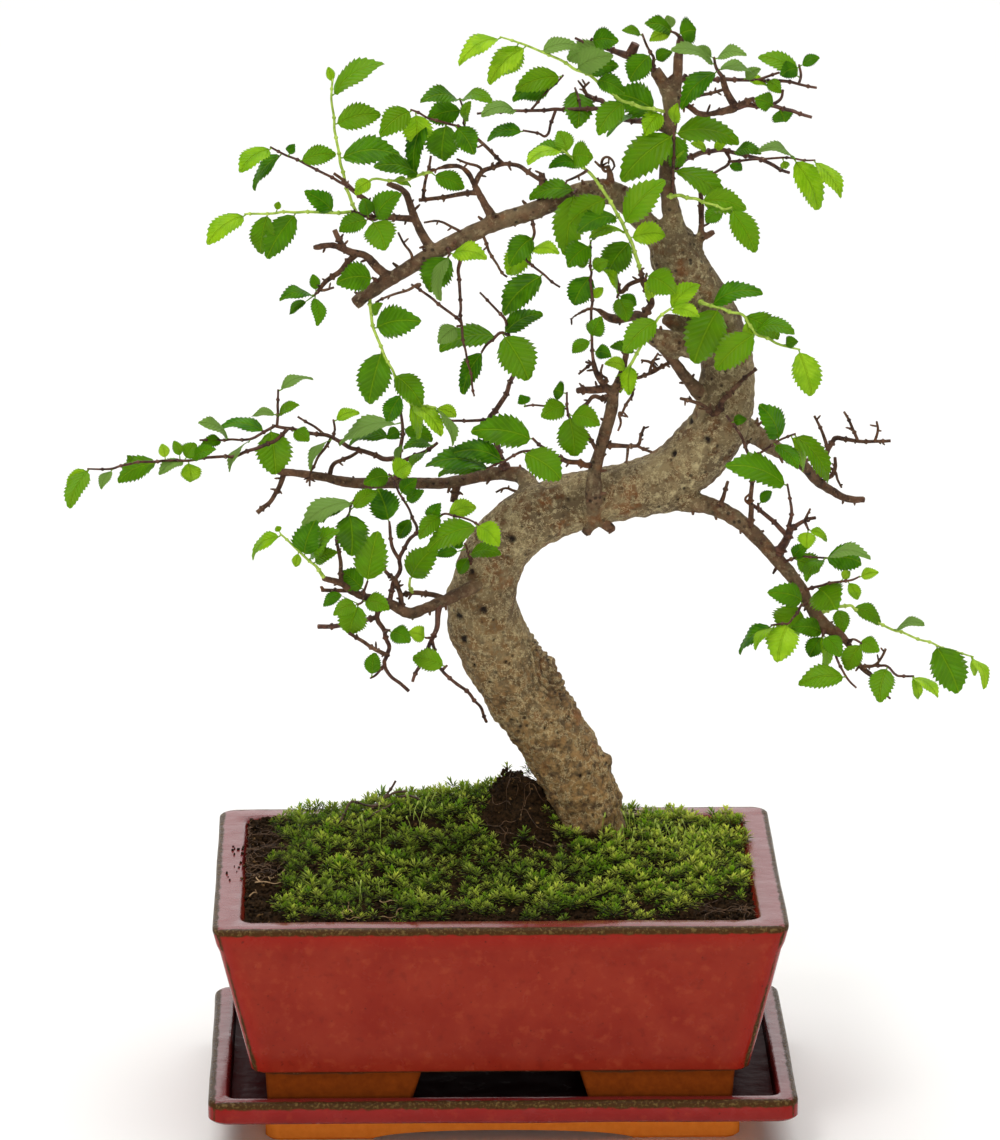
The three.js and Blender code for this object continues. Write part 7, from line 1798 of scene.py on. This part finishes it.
def make_object():
    """The whole plant in its pot and tray."""
    # The pot's bare clay colours are darkened as painted shade on its feet in the shadowed gap over the
    # tray, and the tray's are brightened as painted light falling on its foot from the front.
    pot_look = glazed_clay("pot_iron_red_glaze", POT_LENGTH / 2, POT_DEPTH / 2, POT_TOP, RIM_WIDTH,
                           POT_TAPER / (POT_TOP - POT_UNDERSIDE), POT_UNDERSIDE - 0.4, POT_FLOOR, 0.0,
                           ("#842214", "#8d2c1b"), ("#5a2408", "#8a4010"))
    tray_look = glazed_clay("tray_iron_red_glaze", TRAY_LENGTH / 2, TRAY_DEPTH / 2, TRAY_TOP, TRAY_RIM,
                            0.0, TRAY_FOOT_TOP + 0.8, TRAY_FLOOR + 2.5, TRAY_ASIDE,
                            ("#701c1a", "#7f2824"), ("#cf6a1c", "#ee9239"))
    soil_look = bonsai_soil()
    moss_look = living_moss()
    bark_look = elm_bark()
    brown_twig = twig_bark("brown_elm_twig", "#351c14", "#643f2e")
    green_twig = twig_bark("green_elm_shoot", "#8aa832", "#bcd65a")
    dead_twig = twig_bark("dead_twig", "#2c1e16", "#5e4534")
    fine_root = twig_bark("fine_root", "#33241a", "#6a4c30")
    pale_root = twig_bark("pale_root", "#8d6b48", "#b99a70")
    capsule = twig_bark("moss_capsule", "#7f9a2c", "#c6d66a")
    leaf_look = elm_leaf()
    finish_piece(make_pot(pot_look), "glazed_clay", "pot")
    finish_piece(make_tray(tray_look), "glazed_clay", "tray")
    finish_piece(make_soil(soil_look), "soil", "soil")
    finish_piece(make_wood(bark_look), "bark", "wood")
    finish_piece(make_crumbs(soil_look), "soil")
    for name, low, high in MOSS_BEDS:
        finish_piece(make_moss(name, low, high, moss_look), "leaves")
    finish_piece(make_roots("fine_roots", fine_root, 130, 0.15, ROOT_SPOTS, 5), "bark")
    finish_piece(make_roots("pale_roots", pale_root, 9, 0.3, PALE_ROOT_SPOTS, 6), "bark")
    finish_piece(make_litter(dead_twig), "bark")
    finish_piece(make_capsules(capsule), "leaves")
    for name, twigs, leaves in SPRAYS:
        twig_look = green_twig if name in GREEN_SHOOTS else brown_twig
        spray = make_spray(name, twigs, leaves, TONES[name], leaf_look, twig_look)
        finish_piece(spray, "leaves", name)


# Studio

def make_floor():
    """A wide floor of pale paper."""
    deselect()
    bpy.ops.mesh.primitive_plane_add(size=80, location=(0, 0, 0))
    floor = rest(name_it("floor"))
    material, _, shader = new_material("pale_paper_floor")
    shader.inputs["Base Color"].default_value = colour("#f4f3f0")
    shader.inputs["Roughness"].default_value = 0.9
    floor.data.materials.append(material)


# Soft boxes: name, place, target, width and height, power. The big ones are a wide sheet of light
# overhead and a low one behind for the rims and the leaves to catch.
SOFT_BOXES = [
    ("overhead", (0, 0.6, 3.4), (0, 0.6, 0), (6, 6), 195),
    ("behind", (0, 4.4, 1.5), (0, 0, 0.6), (6, 2.6), 46),
    ("upper_left", (-0.9, -1.6, 1.9), (0, 0, 0.2), (0.7, 0.7), 15),
    ("front", (0.3, -2.7, 0.45), (0, 0, 0.1), (1.4, 0.8), 17),
]
ROOM_BRIGHTNESS = 0.2


def add_light(name, location, target, size, power):
    """A soft box of a width and height, turned to a target."""
    deselect()
    bpy.ops.object.light_add(type="AREA", location=location)
    light = bpy.context.object
    light.name = name
    light.data.shape = "RECTANGLE"
    light.data.size, light.data.size_y = size
    light.data.energy = power
    light.rotation_euler = (Vector(target) - Vector(location)).to_track_quat("-Z", "Y").to_euler()


def make_studio():
    """The floor, the soft boxes in a dim white room, and the camera at the eye."""
    make_floor()
    for soft_box in SOFT_BOXES:
        add_light(*soft_box)
    world = bpy.data.worlds.new("white_room")
    bpy.context.scene.world = world
    world.use_nodes = True
    background = world.node_tree.nodes["Background"]
    background.inputs["Color"].default_value = colour("#ffffff")
    background.inputs["Strength"].default_value = ROOM_BRIGHTNESS
    turned = (math.pi / 2 - CAMERA_TILT, 0, -CAMERA_TURN)
    bpy.ops.object.camera_add(location=place(EYE), rotation=turned)
    camera = bpy.context.object
    camera.data.lens = CAMERA_LENS
    camera.data.sensor_width = CAMERA_SENSOR
    bpy.context.scene.camera = camera
    bpy.context.scene.view_settings.view_transform = "Standard"


make_object()
make_studio()
